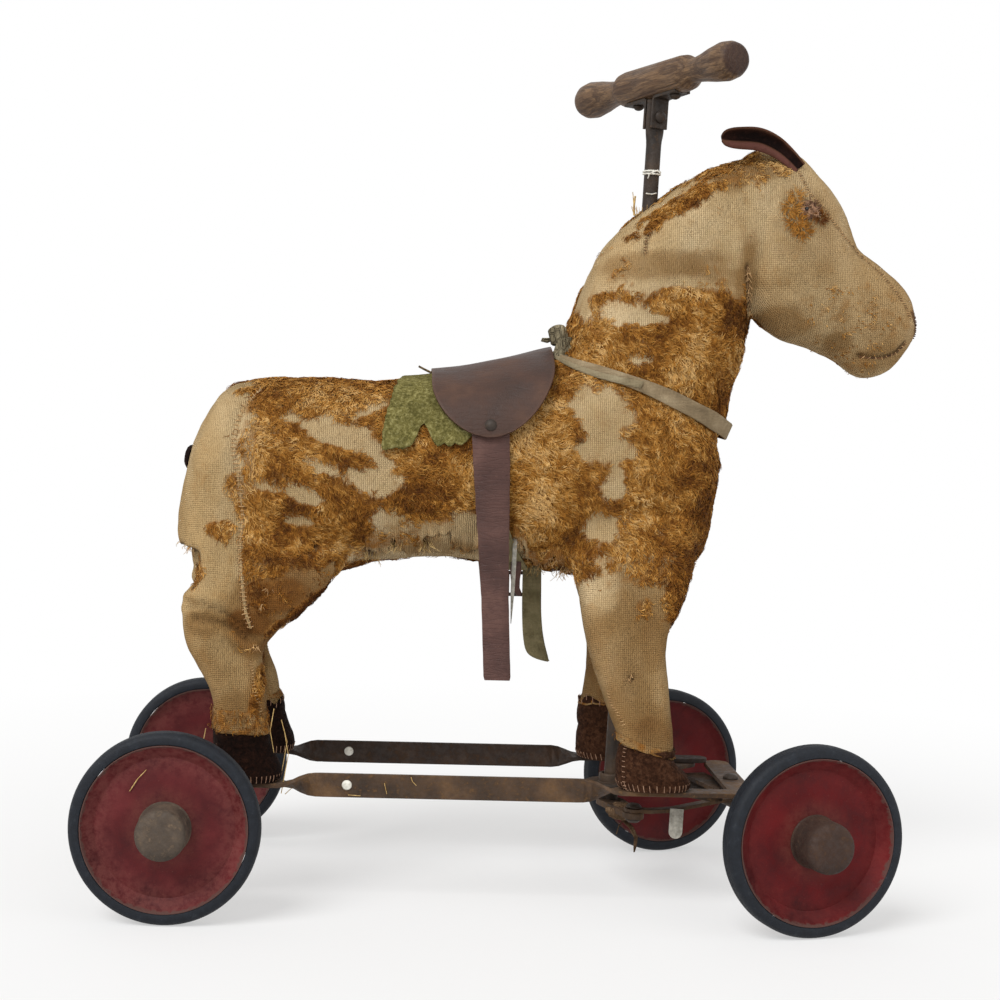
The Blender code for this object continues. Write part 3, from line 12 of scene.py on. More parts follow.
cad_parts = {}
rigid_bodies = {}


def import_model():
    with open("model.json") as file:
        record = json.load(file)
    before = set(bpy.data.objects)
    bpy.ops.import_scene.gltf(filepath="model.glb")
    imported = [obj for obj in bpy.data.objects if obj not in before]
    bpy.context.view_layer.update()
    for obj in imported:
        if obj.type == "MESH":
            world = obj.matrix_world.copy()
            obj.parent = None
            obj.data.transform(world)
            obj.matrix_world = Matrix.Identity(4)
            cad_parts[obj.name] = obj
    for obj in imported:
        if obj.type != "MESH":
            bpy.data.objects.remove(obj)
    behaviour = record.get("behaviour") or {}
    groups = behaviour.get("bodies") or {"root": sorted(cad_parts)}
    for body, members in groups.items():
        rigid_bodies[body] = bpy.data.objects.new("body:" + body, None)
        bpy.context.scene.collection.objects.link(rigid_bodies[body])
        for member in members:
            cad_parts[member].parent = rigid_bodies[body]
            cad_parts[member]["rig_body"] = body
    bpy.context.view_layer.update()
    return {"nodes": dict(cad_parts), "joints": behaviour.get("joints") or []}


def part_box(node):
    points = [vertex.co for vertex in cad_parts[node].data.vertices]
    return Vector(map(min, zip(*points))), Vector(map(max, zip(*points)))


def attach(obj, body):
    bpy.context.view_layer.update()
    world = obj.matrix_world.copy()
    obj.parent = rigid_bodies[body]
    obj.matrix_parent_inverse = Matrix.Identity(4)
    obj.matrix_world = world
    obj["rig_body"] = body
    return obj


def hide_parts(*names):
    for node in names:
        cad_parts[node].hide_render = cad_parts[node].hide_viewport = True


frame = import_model()
NODES = frame["nodes"]
JOINTS = {joint["name"]: joint for joint in frame["joints"]}

MM = 0.001
RIGHT = -1
LEFT = 1
SIDES = (RIGHT, LEFT)
SIDE_NAMES = {RIGHT: "right", LEFT: "left"}
AHEAD = Vector((1.0, 0.0, 0.0))
ACROSS = Vector((0.0, 1.0, 0.0))
UP = Vector((0.0, 0.0, 1.0))
SEED = 11

REAR_AXLE_X = JOINTS["rear_wheel_right_spin"]["pos_m"][0]
WHEEL_RADIUS = JOINTS["rear_wheel_right_spin"]["pos_m"][2]
BAR_TOP = 0.09225
COLUMN_FOOT = Vector(JOINTS["column_turn"]["pos_m"])
COLUMN_WAY = Vector(JOINTS["column_turn"]["axis"])

CAMERA_PLACE = (-0.07965, -1.45417, 0.37248)
CAMERA_YAW = -0.0051
CAMERA_PITCH = 0.0131
CAMERA_ROLL = 0.0216
CAMERA_LENS = 65.59
CAMERA_SHIFT = (0.10, -0.06)

WHITE = (1.0, 1.0, 1.0, 1.0)
WORLD_TINT = (1.0, 0.985, 0.96, 1.0)
WORLD_LIGHT = 0.50
# Each sun: the way it shines, its strength and its spread in degrees.
KEY_SUN = ((0.42, 0.62, -0.74), 2.2, 32.0)
FILL_SUN = ((-0.65, 0.55, -0.45), 0.45, 60.0)
FLOOR_GREY = (0.86, 0.86, 0.86, 1.0)
FLOOR_REACH = 20.0
FLOOR_DROP = 0.0002
SHADOW_REACH = 0.30
SHADOW_END = 1.10
SENSOR_WIDTH = 36.0
CLIP_START = 0.05
CLIP_END = 60.0


def along(x_mm):
    """World X of a place measured forward of the rear axle in millimetres."""
    return REAR_AXLE_X + x_mm * MM


def above(z_mm):
    """World Z of a height above the side bars in millimetres."""
    return BAR_TOP + z_mm * MM


def place_of(x_mm, y_mm, z_mm):
    """A place from millimetres forward of the rear axle, to the left and above the floor."""
    return Vector((along(x_mm), y_mm * MM, z_mm * MM))


def smooth_step(value):
    value = np.clip(value, 0.0, 1.0)
    return value * value * (3.0 - 2.0 * value)


def bell(distance, width):
    """1 at zero distance, falling off like a bell."""
    return np.exp(-((distance / width) ** 2))


def around(first, second, angle):
    """A direction in the plane of two ways: the first at angle 0, the second at a quarter turn."""
    return first * math.cos(angle) + second * math.sin(angle)


# Camera, lamps and floor


class Tree:
    """A node tree with short calls that add nodes to it."""

    def __init__(self, tree):
        self.tree = tree

    def add(self, kind, inputs=None, **settings):
        """A node with its settings, and with a value or a link for each named input."""
        made = self.tree.nodes.new("ShaderNode" + kind)
        for key, value in settings.items():
            setattr(made, key, value)
        for key, value in (inputs or {}).items():
            self.feed(made.inputs[key], value)
        return made

    def feed(self, socket, value):
        """Links or sets a socket; a colour may be given as three screen values."""
        if isinstance(value, bpy.types.NodeSocket):
            self.tree.links.new(value, socket)
        elif socket.type == "RGBA" and len(value) == 3:
            socket.default_value = paint(*value)
        else:
            socket.default_value = value

    def maths(self, operation, first, second=0.0):
        return self.add("Math", {0: first, 1: second}, operation=operation).outputs[0]

    def sees_backdrop(self):
        """1 for rays that should see the white backdrop: camera, mirror and see-through rays."""
        path = self.add("LightPath").outputs
        either = self.maths("MAXIMUM", path["Is Camera Ray"], path["Is Glossy Ray"])
        return self.maths("MAXIMUM", either, path["Is Transmission Ray"])

    def mix_shaders(self, factor, first, second, output):
        mixed = self.add("MixShader", {0: factor, 1: first.outputs[0], 2: second.outputs[0]})
        self.add(output, {0: mixed.outputs[0]})


def empty_tree(owner):
    """The emptied node tree of a world or a material."""
    owner.use_nodes = True
    owner.node_tree.nodes.clear()
    return Tree(owner.node_tree)


def make_camera():
    """A camera at the photograph's viewpoint."""
    right = around(AHEAD, -ACROSS, CAMERA_YAW)
    forward = around(around(ACROSS, AHEAD, CAMERA_YAW), -UP, CAMERA_PITCH)
    up = right.cross(forward)
    data = bpy.data.cameras.new("camera")
    data.lens = CAMERA_LENS
    data.sensor_width = SENSOR_WIDTH
    data.shift_x, data.shift_y = CAMERA_SHIFT
    data.clip_start = CLIP_START
    data.clip_end = CLIP_END
    camera = bpy.data.objects.new("camera", data)
    bpy.context.scene.collection.objects.link(camera)
    ways = (around(right, up, CAMERA_ROLL), around(up, -right, CAMERA_ROLL), -forward)
    turned = Matrix(ways).transposed().to_4x4()
    turned.translation = Vector(CAMERA_PLACE)
    camera.matrix_world = turned
    bpy.context.scene.camera = camera


def make_sun(name, toward, strength, spread):
    data = bpy.data.lights.new(name, "SUN")
    data.energy = strength
    data.angle = math.radians(spread)
    lamp = bpy.data.objects.new(name, data)
    bpy.context.scene.collection.objects.link(lamp)
    lamp.rotation_mode = "QUATERNION"
    lamp.rotation_quaternion = Vector(toward).to_track_quat("-Z", "Y")


def make_world():
    """Soft even light, and white behind the toy for the rays that see the backdrop."""
    world = bpy.data.worlds.new("studio")
    bpy.context.scene.world = world
    tree = empty_tree(world)
    light = tree.add("Background", {"Color": WORLD_TINT, "Strength": WORLD_LIGHT})
    white = tree.add("Background", {"Color": WHITE, "Strength": 1.0})
    tree.mix_shaders(tree.sees_backdrop(), light, white, "OutputWorld")


def make_floor():
    """A pale floor that keeps the shadow near the toy and fades to white further out."""
    mesh = bpy.data.meshes.new("floor")
    corners = [(x * FLOOR_REACH, y * FLOOR_REACH, -FLOOR_DROP)
               for x, y in ((-1, -1), (1, -1), (1, 1), (-1, 1))]
    mesh.from_pydata(corners, [], [(0, 1, 2, 3)])
    floor = bpy.data.objects.new("floor", mesh)
    bpy.context.scene.collection.objects.link(floor)
    look = bpy.data.materials.new("floor")
    tree = empty_tree(look)
    matt = tree.add("BsdfDiffuse", {"Color": FLOOR_GREY})
    white = tree.add("Emission", {"Color": WHITE, "Strength": 1.0})
    reach = tree.add("VectorMath", {0: tree.add("TexCoord").outputs["Object"]}, operation="LENGTH")
    fade = tree.add("MapRange", {"Value": reach.outputs["Value"], "From Min": SHADOW_REACH,
                                 "From Max": SHADOW_END, "To Min": 0.50, "To Max": 1.0})
    whiteness = tree.maths("MULTIPLY", tree.sees_backdrop(), fade.outputs["Result"])
    tree.mix_shaders(whiteness, matt, white, "OutputMaterial")
    mesh.materials.append(look)


# Materials. Colours are screen colours of 0 to 255.


def paint(red, green, blue):
    """A screen colour as the shader's own colour."""
    made = []
    for value in (red, green, blue):
        value /= 255.0
        made.append(value / 12.92 if value <= 0.04045 else ((value + 0.055) / 1.055) ** 2.4)
    return (*made, 1.0)


class Look(Tree):
    """A material whose colour is laid on in coats and whose relief has layers, coarse to fine."""

    def __init__(self, name, roughness, specular=0.5, metallic=0.0):
        self.name = name
        self.material = bpy.data.materials.new(name)
        self.material.use_nodes = True
        super().__init__(self.material.node_tree)
        self.inputs = self.tree.nodes["Principled BSDF"].inputs
        self.feed(self.inputs["Roughness"], roughness)
        self.feed(self.inputs["Specular IOR Level"], specular)
        self.feed(self.inputs["Metallic"], metallic)
        self.object = self.add("TexCoord").outputs["Object"]
        self.shade = None

    def stretched(self, scale):
        return self.add("Mapping", {"Vector": self.object, "Scale": scale}).outputs[0]

    def noise(self, scale, detail=3.0, rough=0.55, vector=None, distortion=0.0):
        inputs = {"Vector": vector or self.object, "Scale": scale, "Detail": detail, "Roughness": rough,
                  "Distortion": distortion}
        return self.add("TexNoise", inputs).outputs["Fac"]

    def cells(self, scale, vector=None, feature="F1"):
        inputs = {"Vector": vector or self.object, "Scale": scale}
        return self.add("TexVoronoi", inputs, feature=feature).outputs["Distance"]

    def value(self, name):
        """A number that the mesh carries at each point."""
        return self.add("Attribute", attribute_name=name).outputs["Fac"]

    def level(self, factor, low, high, start=0.0, end=1.0):
        """A value moved from low-high to start-end."""
        inputs = {"Value": factor, "From Min": low, "From Max": high, "To Min": start, "To Max": end}
        return self.add("MapRange", inputs, interpolation_type="SMOOTHSTEP").outputs["Result"]

    def ramp(self, factor, *stops):
        """A colour that runs through (place, colour) stops."""
        made = self.add("ValToRGB", {"Fac": factor})
        elements = made.color_ramp.elements
        while len(elements) < len(stops):
            elements.new(1.0)
        for element, (place, colour) in zip(elements, stops):
            element.position = place
            element.color = paint(*colour)
        return made.outputs["Color"]

    def base(self, factor, *stops):
        """The ground colour, as a ramp."""
        self.shade = self.ramp(factor, *stops)

    def lay(self, factor, colour):
        """A coat of colour, as strong as the factor."""
        self.shade = self.add("Mix", {0: factor, 6: self.shade, 7: colour}, data_type="RGBA").outputs[2]

    def tint(self, factor, low, high, start, end, colour):
        """A coat of colour whose strength goes from start to end as the factor goes from low to high."""
        self.lay(self.level(factor, low, high, start, end), colour)

    def rough(self, factor, start, end):
        """Roughness that follows a noise from start to end."""
        self.feed(self.inputs["Roughness"], self.level(factor, 0.3, 0.7, start, end))

    def finish(self, *layers):
        """Feeds the colour and the relief, whose layers are (height, depth in metres)."""
        self.feed(self.inputs["Base Color"], self.shade)
        normal = None
        for height, depth in layers:
            made = self.add("Bump", {"Height": height, "Distance": depth, "Strength": 1.0})
            if normal is not None:
                self.feed(made.inputs["Normal"], normal)
            normal = made.outputs["Normal"]
        self.feed(self.inputs["Normal"], normal)
        return self

    def weave(self, period, weights=(1.0, 1.0, 1.0)):
        """Crossed threads that follow whichever way the surface faces."""
        push = self.maths("MULTIPLY", self.noise(60.0, 2.0), 0.0018)
        wobble = self.add("VectorMath", {0: self.object, 1: push}, operation="ADD").outputs[0]
        normal = self.add("SeparateXYZ", {0: self.add("NewGeometry").outputs["Normal"]})
        total = 0.0
        for axis, way in enumerate("XYZ"):
            inputs = {"Vector": wobble, "Scale": math.tau / (20.0 * period)}
            wave = self.add("TexWave", inputs, bands_direction=way).outputs["Fac"]
            flat = self.maths("SUBTRACT", 1.0, self.maths("ABSOLUTE", normal.outputs[axis]))
            part = self.maths("MULTIPLY", wave, self.maths("MULTIPLY", flat, weights[axis]))
            total = self.maths("ADD", total, part)
        return total


def cloth_look():
    """Backing cloth of the worn mohair: cream and tan, stained, knitted in upright ribs, with shade painted
    into its grooves and holes and below its torn edges.
    """
    look = Look("worn_cloth", 0.95, 0.1)
    stain = look.value("stain")
    fine = look.noise(85.0, 4.0, 0.65)
    grain = look.noise(650.0, 3.0, 0.6)
    weave = look.weave(0.0015, (1.0, 1.0, 0.35))
    broad = look.noise(13.0, 4.0, 0.6)
    look.base(broad, (0.30, (192, 162, 116)), (0.50, (212, 184, 138)), (0.72, (230, 206, 164)))
    look.tint(look.value("tint"), 0.0, 1.0, 0.0, 0.75, (192, 162, 114))
    look.tint(fine, 0.45, 0.75, 0.0, 0.34, (168, 126, 72))
    look.tint(stain, 0.0, 1.0, 0.0, 0.85, (146, 112, 68))
    look.tint(stain, 1.0, 2.0, 0.0, 0.9, (112, 68, 26))
    look.tint(look.maths("MULTIPLY", stain, -1.0), 0.0, 1.0, 0.0, 0.8, (232, 208, 164))
    stubble = look.ramp(fine, (0.3, (118, 70, 24)), (0.55, (156, 102, 44)), (0.8, (186, 138, 78)))
    left = look.maths("ADD", look.value("pile"), look.level(fine, 0.3, 0.7, -0.22, 0.22))
    look.tint(left, 0.10, 0.80, 0.0, 1.0, stubble)
    look.tint(grain, 0.35, 0.75, 0.0, 0.22, (116, 80, 40))
    look.tint(weave, 0.1, 0.9, 0.40, 0.0, (116, 82, 42))
    # Painted shade of the skin's grooves, holes and torn edges.
    look.lay(look.value("dark"), (44, 24, 10))
    return look.finish((fine, 0.0018), (weave, 0.0010), (grain, 0.0003))


def mohair_look():
    """Crimped locks: each has its own tone, with a painted highlight where the crimp comes up to the light
    and painted shade in its troughs and at the roots.
    """
    look = Look("mohair", 0.75, 0.15)
    look.base(look.value("tone"), (0.0, (74, 38, 6)), (0.3, (120, 72, 18)), (0.55, (162, 108, 40)),
              (0.8, (192, 142, 72)), (1.0, (214, 172, 110)))
    # Painted highlight on the crests of the crimp.
    look.tint(look.value("tip"), 0.55, 1.0, 0.0, 0.30, (222, 176, 106))
    # Painted shade in the troughs of the crimp and near the roots.
    look.tint(look.value("tip"), 0.45, 0.0, 0.0, 0.5, (66, 34, 6))
    return look.finish((look.noise(1400.0, 2.0, 0.5), 0.0002))


def felt_look(name, dark, middle, pale, scale):
    """Pressed wool: mottled, fuzzy, without a shine."""
    look = Look(name, 0.97, 0.1)
    fleck = look.noise(scale, 5.0, 0.75)
    tuft = look.noise(150.0, 4.0, 0.7)
    look.base(fleck, (0.32, dark), (0.5, middle), (0.68, pale))
    look.tint(look.noise(38.0, 3.0), 0.35, 0.7, 0.0, 0.45, dark)
    look.tint(tuft, 0.52, 0.36, 0.0, 0.6, dark)
    return look.finish((tuft, 0.0022), (fleck, 0.0014))


def leather_look(name, dark, middle, pale, roughness, crackle):
    """Dry leather with fine creases, scuffs and worn edges."""
    look = Look(name, roughness, 0.25)
    broad = look.noise(26.0, 4.0, 0.6)
    crease = look.cells(130.0, look.stretched((0.35, 0.35, 2.2)), "DISTANCE_TO_EDGE")
    scuff = look.noise(240.0, 5.0, 0.7)
    look.base(broad, (0.3, dark), (0.55, middle), (0.8, pale))
    look.tint(scuff, 0.56, 0.74, 0.0, 0.3, pale)
    look.tint(crease, 0.0, 0.08, crackle, 0.0, dark)
    look.lay(look.maths("MULTIPLY", look.value("edge"), 0.45), pale)
    look.rough(broad, roughness - 0.06, roughness + 0.14)
    return look.finish((broad, 0.0010), (look.level(crease, 0.0, 0.12), 0.0008 * crackle),
                       (look.cells(900.0), 0.00015), (scuff, 0.0002))


def ear_look():
    """Thin leather: brown at the rim, maroon where the lower lip is rolled, and inside the cup dark leather
    painted nearly black with shade.
    """
    look = Look("ear_leather", 0.8, 0.1)
    fine = look.noise(320.0, 5.0, 0.7)
    broad = look.noise(60.0, 3.0)
    tone = look.maths("ADD", look.value("tone"), look.level(broad, 0.3, 0.7, -0.08, 0.10))
    # Tone 0, inside the cup, is dark leather painted nearly black with shade.
    look.base(tone, (0.0, (18, 7, 5)), (0.3, (44, 22, 14)), (0.6, (84, 56, 40)), (1.0, (98, 62, 54)))
    look.tint(fine, 0.5, 0.75, 0.0, 0.45, (60, 34, 26))
    return look.finish((broad, 0.0006), (fine, 0.0003))


def tape_look(name, dark, middle, pale, creased=False):
    """Woven cotton tape, and crumpled where it is creased."""
    look = Look(name, 0.95, 0.1)
    broad = look.noise(45.0, 4.0)
    weave = look.weave(0.0011)
    look.base(broad, (0.3, dark), (0.5, middle), (0.72, pale))
    look.tint(weave, 0.2, 1.2, 0.35, 0.0, dark)
    if not creased:
        return look.finish((broad, 0.0008), (weave, 0.0004))
    crease = look.cells(210.0, look.stretched((1.0, 1.0, 0.6)), "DISTANCE_TO_EDGE")
    look.tint(crease, 0.0, 0.10, 0.6, 0.0, (60, 50, 36))
    return look.finish((look.level(crease, 0.0, 0.25), 0.0018), (weave, 0.0004))


def metal_look(name, dark, middle, rust, roughness, metallic):
    """Old painted steel: brown film, rust blooms, rubbed spots."""
    look = Look(name, roughness, 0.5, metallic)
    broad = look.noise(30.0, 5.0, 0.65)
    fine = look.noise(210.0, 5.0, 0.7)
    look.base(broad, (0.32, dark), (0.52, middle), (0.75, rust))
    look.tint(fine, 0.52, 0.72, 0.0, 0.75, rust)
    look.tint(fine, 0.42, 0.26, 0.0, 0.6, dark)
    look.rough(fine, roughness - 0.15, roughness + 0.2)
    return look.finish((broad, 0.0006), (fine, 0.0004), (look.cells(520.0), 0.00012))


def wheel_look(name, deep, middle, bright, dust):
    """Dull dark red enamel on a pressed disc, dusty towards the rim and worn to rust at its edge."""
    look = Look(name, 0.6, 0.2)
    place = look.add("SeparateXYZ", {0: look.object}).outputs
    squares = [look.maths("MULTIPLY", place[axis], place[axis]) for axis in (0, 1)]
    radius = look.maths("SQRT", look.maths("ADD", *squares))
    broad = look.noise(24.0, 5.0, 0.6)
    fine = look.noise(190.0, 6.0, 0.72)
    fleck = look.noise(900.0, 3.0, 0.7)
    look.base(broad, (0.3, deep), (0.52, middle), (0.78, bright))
    hub = look.level(radius, 0.020, 0.036, 0.45, 0.0)
    look.lay(look.maths("MULTIPLY", hub, look.level(fine, 0.25, 0.7)), (104, 62, 52))
    outer = look.level(radius, 0.030, 0.058, 0.0, dust)
    look.lay(look.maths("MULTIPLY", outer, look.level(fine, 0.30, 0.66)), (122, 72, 66))
    look.tint(fine, 0.58, 0.72, 0.0, 0.5, (86, 36, 34))
    look.tint(fleck, 0.66, 0.76, 0.0, 0.45, (140, 104, 88))
    rim = look.maths("ADD", radius, look.level(fine, 0.3, 0.7, -0.0012, 0.0012))
    look.tint(rim, 0.0588, 0.0603, 0.0, 0.85, (84, 62, 56))
    look.rough(fine, 0.5, 0.75)
    return look.finish((broad, 0.0009), (fine, 0.00022), (fleck, 0.00008))


def rubber_look():
    """Hard blue-black rubber, dusty, with fine cracks."""
    look = Look("old_rubber", 0.62, 0.3)
    fine = look.noise(160.0, 5.0, 0.7)
    crack = look.cells(420.0, None, "DISTANCE_TO_EDGE")
    look.base(fine, (0.35, (13, 17, 24)), (0.6, (22, 27, 35)), (0.82, (54, 58, 62)))
    look.tint(crack, 0.0, 0.05, 0.3, 0.0, (10, 12, 16))
    return look.finish((fine, 0.0003), (look.level(crack, 0.0, 0.05), 0.00006))


def wood_look():
    """Dark varnished wood with open wavy grain, and dark end grain."""
    look = Look("turned_wood", 0.55, 0.3)
    long_grain = look.stretched((1.0, 1.0, 0.09))
    grain = look.noise(420.0, 6.0, 0.7, long_grain, 1.2)
    pores = look.noise(1500.0, 3.0, 0.6, long_grain)
    broad = look.noise(26.0, 4.0)
    inputs = {"Vector": look.stretched((1.0, 1.0, 0.16)), "Scale": 62.0, "Distortion": 9.0, "Detail": 3.0,
              "Detail Scale": 2.2}
    rings = look.add("TexWave", inputs, bands_direction="X").outputs["Fac"]
    look.base(grain, (0.3, (60, 43, 31)), (0.5, (104, 80, 58)), (0.7, (142, 112, 80)))
    look.tint(rings, 0.2, 0.55, 0.55, 0.0, (56, 38, 27))
    look.tint(pores, 0.55, 0.68, 0.0, 0.6, (44, 31, 22))
    look.tint(broad, 0.4, 0.7, 0.0, 0.35, (80, 54, 38))
    place = look.add("SeparateXYZ", {0: look.object}).outputs
    look.tint(look.maths("ABSOLUTE", place[2]), 0.0955, 0.0992, 0.0, 0.85, (50, 27, 17))
    look.rough(broad, 0.46, 0.66)
    return look.finish((broad, 0.0009), (grain, 0.0005), (rings, 0.0003), (pores, 0.0002))


def thread_look(name, dark, pale, roughness=0.85):
    """Spun thread, straw or a small smooth thing of one colour."""
    look = Look(name, roughness)
    look.base(look.noise(300.0, 3.0), (0.35, dark), (0.65, pale))
    return look.finish((look.noise(1800.0, 2.0), 0.0002))


# For each kind, rows of material name, colours from dark to pale, and what else the kind needs.
LOOK_TABLES = (
    (felt_look, (
        ("green_felt", (74, 70, 34), (124, 116, 66), (172, 164, 110), 380.0),
        ("hoof_felt", (42, 23, 13), (68, 42, 27), (94, 64, 46), 300.0),
        ("hoof_dark_felt", (16, 7, 4), (30, 15, 9), (48, 27, 18), 300.0),
        ("oily_rag", (58, 46, 32), (100, 84, 60), (146, 126, 92), 260.0),
        ("crank_rag", (62, 46, 32), (104, 82, 62), (150, 124, 96), 260.0),
    )),
    (leather_look, (
        ("saddle_leather", (50, 34, 27), (70, 49, 40), (94, 68, 54), 0.52, 0.12),
        ("strap_leather", (60, 40, 36), (86, 60, 54), (116, 86, 76), 0.55, 0.2),
    )),
    (tape_look, (
        ("breast_tape", (112, 96, 74), (152, 133, 104), (182, 163, 132)),
        ("knot_tape", (116, 106, 84), (164, 152, 124), (204, 192, 162), True),
        ("folded_tape", (108, 96, 74), (148, 134, 106), (180, 166, 136)),
        ("girth_tape", (104, 95, 68), (142, 131, 98), (168, 157, 120)),
    )),
    (metal_look, (
        ("frame_steel", (42, 29, 18), (74, 53, 34), (112, 82, 50), 0.7, 0.15),
        # A copy of the frame steel painted darker, as shade on the far side bar.
        ("far_frame_steel", (24, 14, 7), (42, 26, 14), (66, 44, 24), 0.7, 0.15),
        ("dark_steel", (32, 25, 20), (56, 45, 36), (86, 66, 48), 0.6, 0.3),
        ("rusty_cap_rear", (50, 41, 33), (76, 64, 53), (116, 98, 80), 0.75, 0.1),
        ("rusty_cap_front", (36, 21, 13), (54, 34, 23), (80, 56, 38), 0.75, 0.1),
    )),
    (wheel_look, (
        ("red_enamel_rear", (58, 14, 17), (84, 24, 27), (110, 42, 44), 0.5),
        ("red_enamel_front", (52, 2, 5), (84, 8, 12), (106, 18, 20), 0.15),
    )),
    (thread_look, (
        ("tangled_thread", (96, 62, 42), (178, 138, 106)),
        ("straw", (160, 124, 66), (214, 182, 118), 0.6),
        ("stitch_thread", (150, 112, 70), (206, 168, 118)),
        ("hoof_thread", (120, 86, 66), (172, 136, 110)),
        ("brown_thread", (58, 34, 18), (112, 74, 40)),
        ("white_thread", (206, 202, 190), (240, 238, 228)),
        ("pale_tab", (150, 146, 134), (196, 192, 180), 0.7),
        ("dark_bead", (16, 10, 8), (34, 22, 16), 0.25),
    )),
)
LOOKS = {}


def make_looks():
    """Every material, kept under its name."""
    made = [cloth_look(), mohair_look(), ear_look(), rubber_look(), wood_look()]
    for maker, rows in LOOK_TABLES:
        made += [maker(*row) for row in rows]
    for look in made:
        LOOKS[look.name] = look.material


# Shapes

EASE_SEGMENTS = 2
EASE_SHARP = 35.0
WELD_GAP = 2e-6
FLAT_ANGLE = math.radians(0.5)


def read_points(mesh):
    points = np.empty(len(mesh.vertices) * 3)
    mesh.vertices.foreach_get("co", points)
    return points.reshape(-1, 3)


def give(mesh, name, values):
    """Stores a number for each point of a mesh."""
    attribute = mesh.attributes.new(name, "FLOAT", "POINT")
    attribute.data.foreach_set("value", np.asarray(values, np.float32))


def new_object(name, mesh, look, body, smooth=None, matrix=None):
    """An object that rides on a body. Edges sharper than smooth, in degrees, stay sharp."""
    mesh.materials.clear()
    mesh.materials.append(LOOKS[look])
    mesh.shade_smooth()
    if smooth is not None:
        mesh.set_sharp_from_angle(angle=math.radians(smooth))
    made = bpy.data.objects.new(name, mesh)
    bpy.context.scene.collection.objects.link(made)
    if matrix is not None:
        made.matrix_world = matrix
    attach(made, body)
    return made


def dress(made, slot=None, stands_for=None, thickness=None):
    """Gives a piece its thickness and hides the CAD node that it stands for. The slot is not used."""
    if thickness is not None:
        thick = made.modifiers.new("thickness", "SOLIDIFY")
        thick.thickness = thickness
        thick.offset = 0.0
    if stands_for is not None:
        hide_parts(stands_for)
    return made


def outward(mesh, merge=0.0):
    """Turns the faces of closed forms outwards, after joining points nearer than merge."""
    work = bmesh.new()
    work.from_mesh(mesh)
    if merge:
        bmesh.ops.remove_doubles(work, verts=work.verts, dist=merge)
    bmesh.ops.recalc_face_normals(work, faces=work.faces)
    work.to_mesh(mesh)
    work.free()


class Bundle:
    """Points and faces gathered for one mesh, with a tone for each point."""

    def __init__(self):
        self.points = []
        self.faces = []
        self.tones = []

    def rings(self, rings, closed=False, caps=True, tone=0.5):
        """Faces between rings of points; open rows when closed is False."""
        start = len(self.points)
        count = len(rings[0])
        for ring in rings:
            self.points.extend(ring)
            self.tones.extend([tone] * len(ring))
        for row in range(len(rings) - 1):
            a = start + row * count
            for index in range(count if closed else count - 1):
                after = (index + 1) % count
                self.faces.append((a + index, a + after, a + count + after, a + count + index))
        if closed and caps:
            end = start + (len(rings) - 1) * count
            self.faces.append(tuple(start + index for index in reversed(range(count))))
            self.faces.append(tuple(end + index for index in range(count)))

    def tube(self, path, radius, sides=6, tip=1.0, tone=0.5):
        """A round thread along a path; tip is the end's share of the radius."""
        side = None
        rings = []
        last = len(path) - 1
        for index, point in enumerate(path):
            way = (path[min(index + 1, last)] - path[max(index - 1, 0)]).normalized()
            if side is None:
                side = way.orthogonal().normalized()
            side = (side - way * side.dot(way)).normalized()
            other = way.cross(side)
            size = radius * (1.0 + (tip - 1.0) * index / last)
            spokes = [around(side, other, math.tau * step / sides) for step in range(sides)]
            rings.append([point + spoke * size for spoke in spokes])
        self.rings(rings, closed=True, tone=tone)

    def strap(self, stations, thickness):
        """A flat strap with rounded edges, twelve points round. Stations are (centre, across, out, width)."""
        rings = []
        lip = thickness * 0.35
        for centre, across, out, width in stations:
            across = Vector(across).normalized()
            out = Vector(out).normalized()
            half = width / 2
            flat = (lip - half, -half / 3, half / 3, half - lip)
            under = [(-half, -lip / 2), *((a, -thickness / 2) for a in flat), (half, -lip / 2)]
            over = [(a, -b) for a, b in reversed(under)]
            rings.append([centre + across * a + out * b for a, b in under + over])
        self.rings(rings, closed=True)

    def build(self, name, look, body="frame", smooth=50.0, **dressing):
        """The gathered mesh as one object, dressed as dress() says."""
        mesh = bpy.data.meshes.new(name)
        mesh.from_pydata([tuple(point) for point in self.points], [], self.faces)
        give(mesh, "tone", self.tones)
        return dress(new_object(name, mesh, look, body, smooth), **dressing)


def sheet_of(rings):
    """A bundle of open rows."""
    bundle = Bundle()
    bundle.rings(rings)
    return bundle


def strap_of(stations, thickness):
    """A bundle of one strap."""
    bundle = Bundle()
    bundle.strap(stations, thickness)
    return bundle


def mirrored(section):
    """A (radius, height) section upside down and in reversed order."""
    return [(radius, -height) for radius, height in reversed(section)]


def lathe(name, profile, steps, look, body, matrix, loop=False, smooth=32.0, stands_for=None):
    """A turned piece about its own Z axis, from (radius, height) points."""
    points = []
    faces = []
    for radius, height in profile:
        for index in range(steps):
            angle = math.tau * index / steps
            points.append((radius * math.cos(angle), radius * math.sin(angle), height))
    rows = len(profile)
    for row in range(rows if loop else rows - 1):
        below = row * steps
        over = ((row + 1) % rows) * steps
        for index in range(steps):
            after = (index + 1) % steps
            faces.append((below + index, below + after, over + after, over + index))
    mesh = bpy.data.meshes.new(name)
    mesh.from_pydata(points, [], faces)
    outward(mesh, 1e-7)
    return dress(new_object(name, mesh, look, body, smooth, matrix), stands_for=stands_for)


def bevel(made, width, sharp):
    """Eases the edges that turn by more than sharp degrees."""
    ease = made.modifiers.new("ease", "BEVEL")
    ease.width = width
    ease.segments = EASE_SEGMENTS
    ease.limit_method = "ANGLE"
    ease.angle_limit = math.radians(sharp)


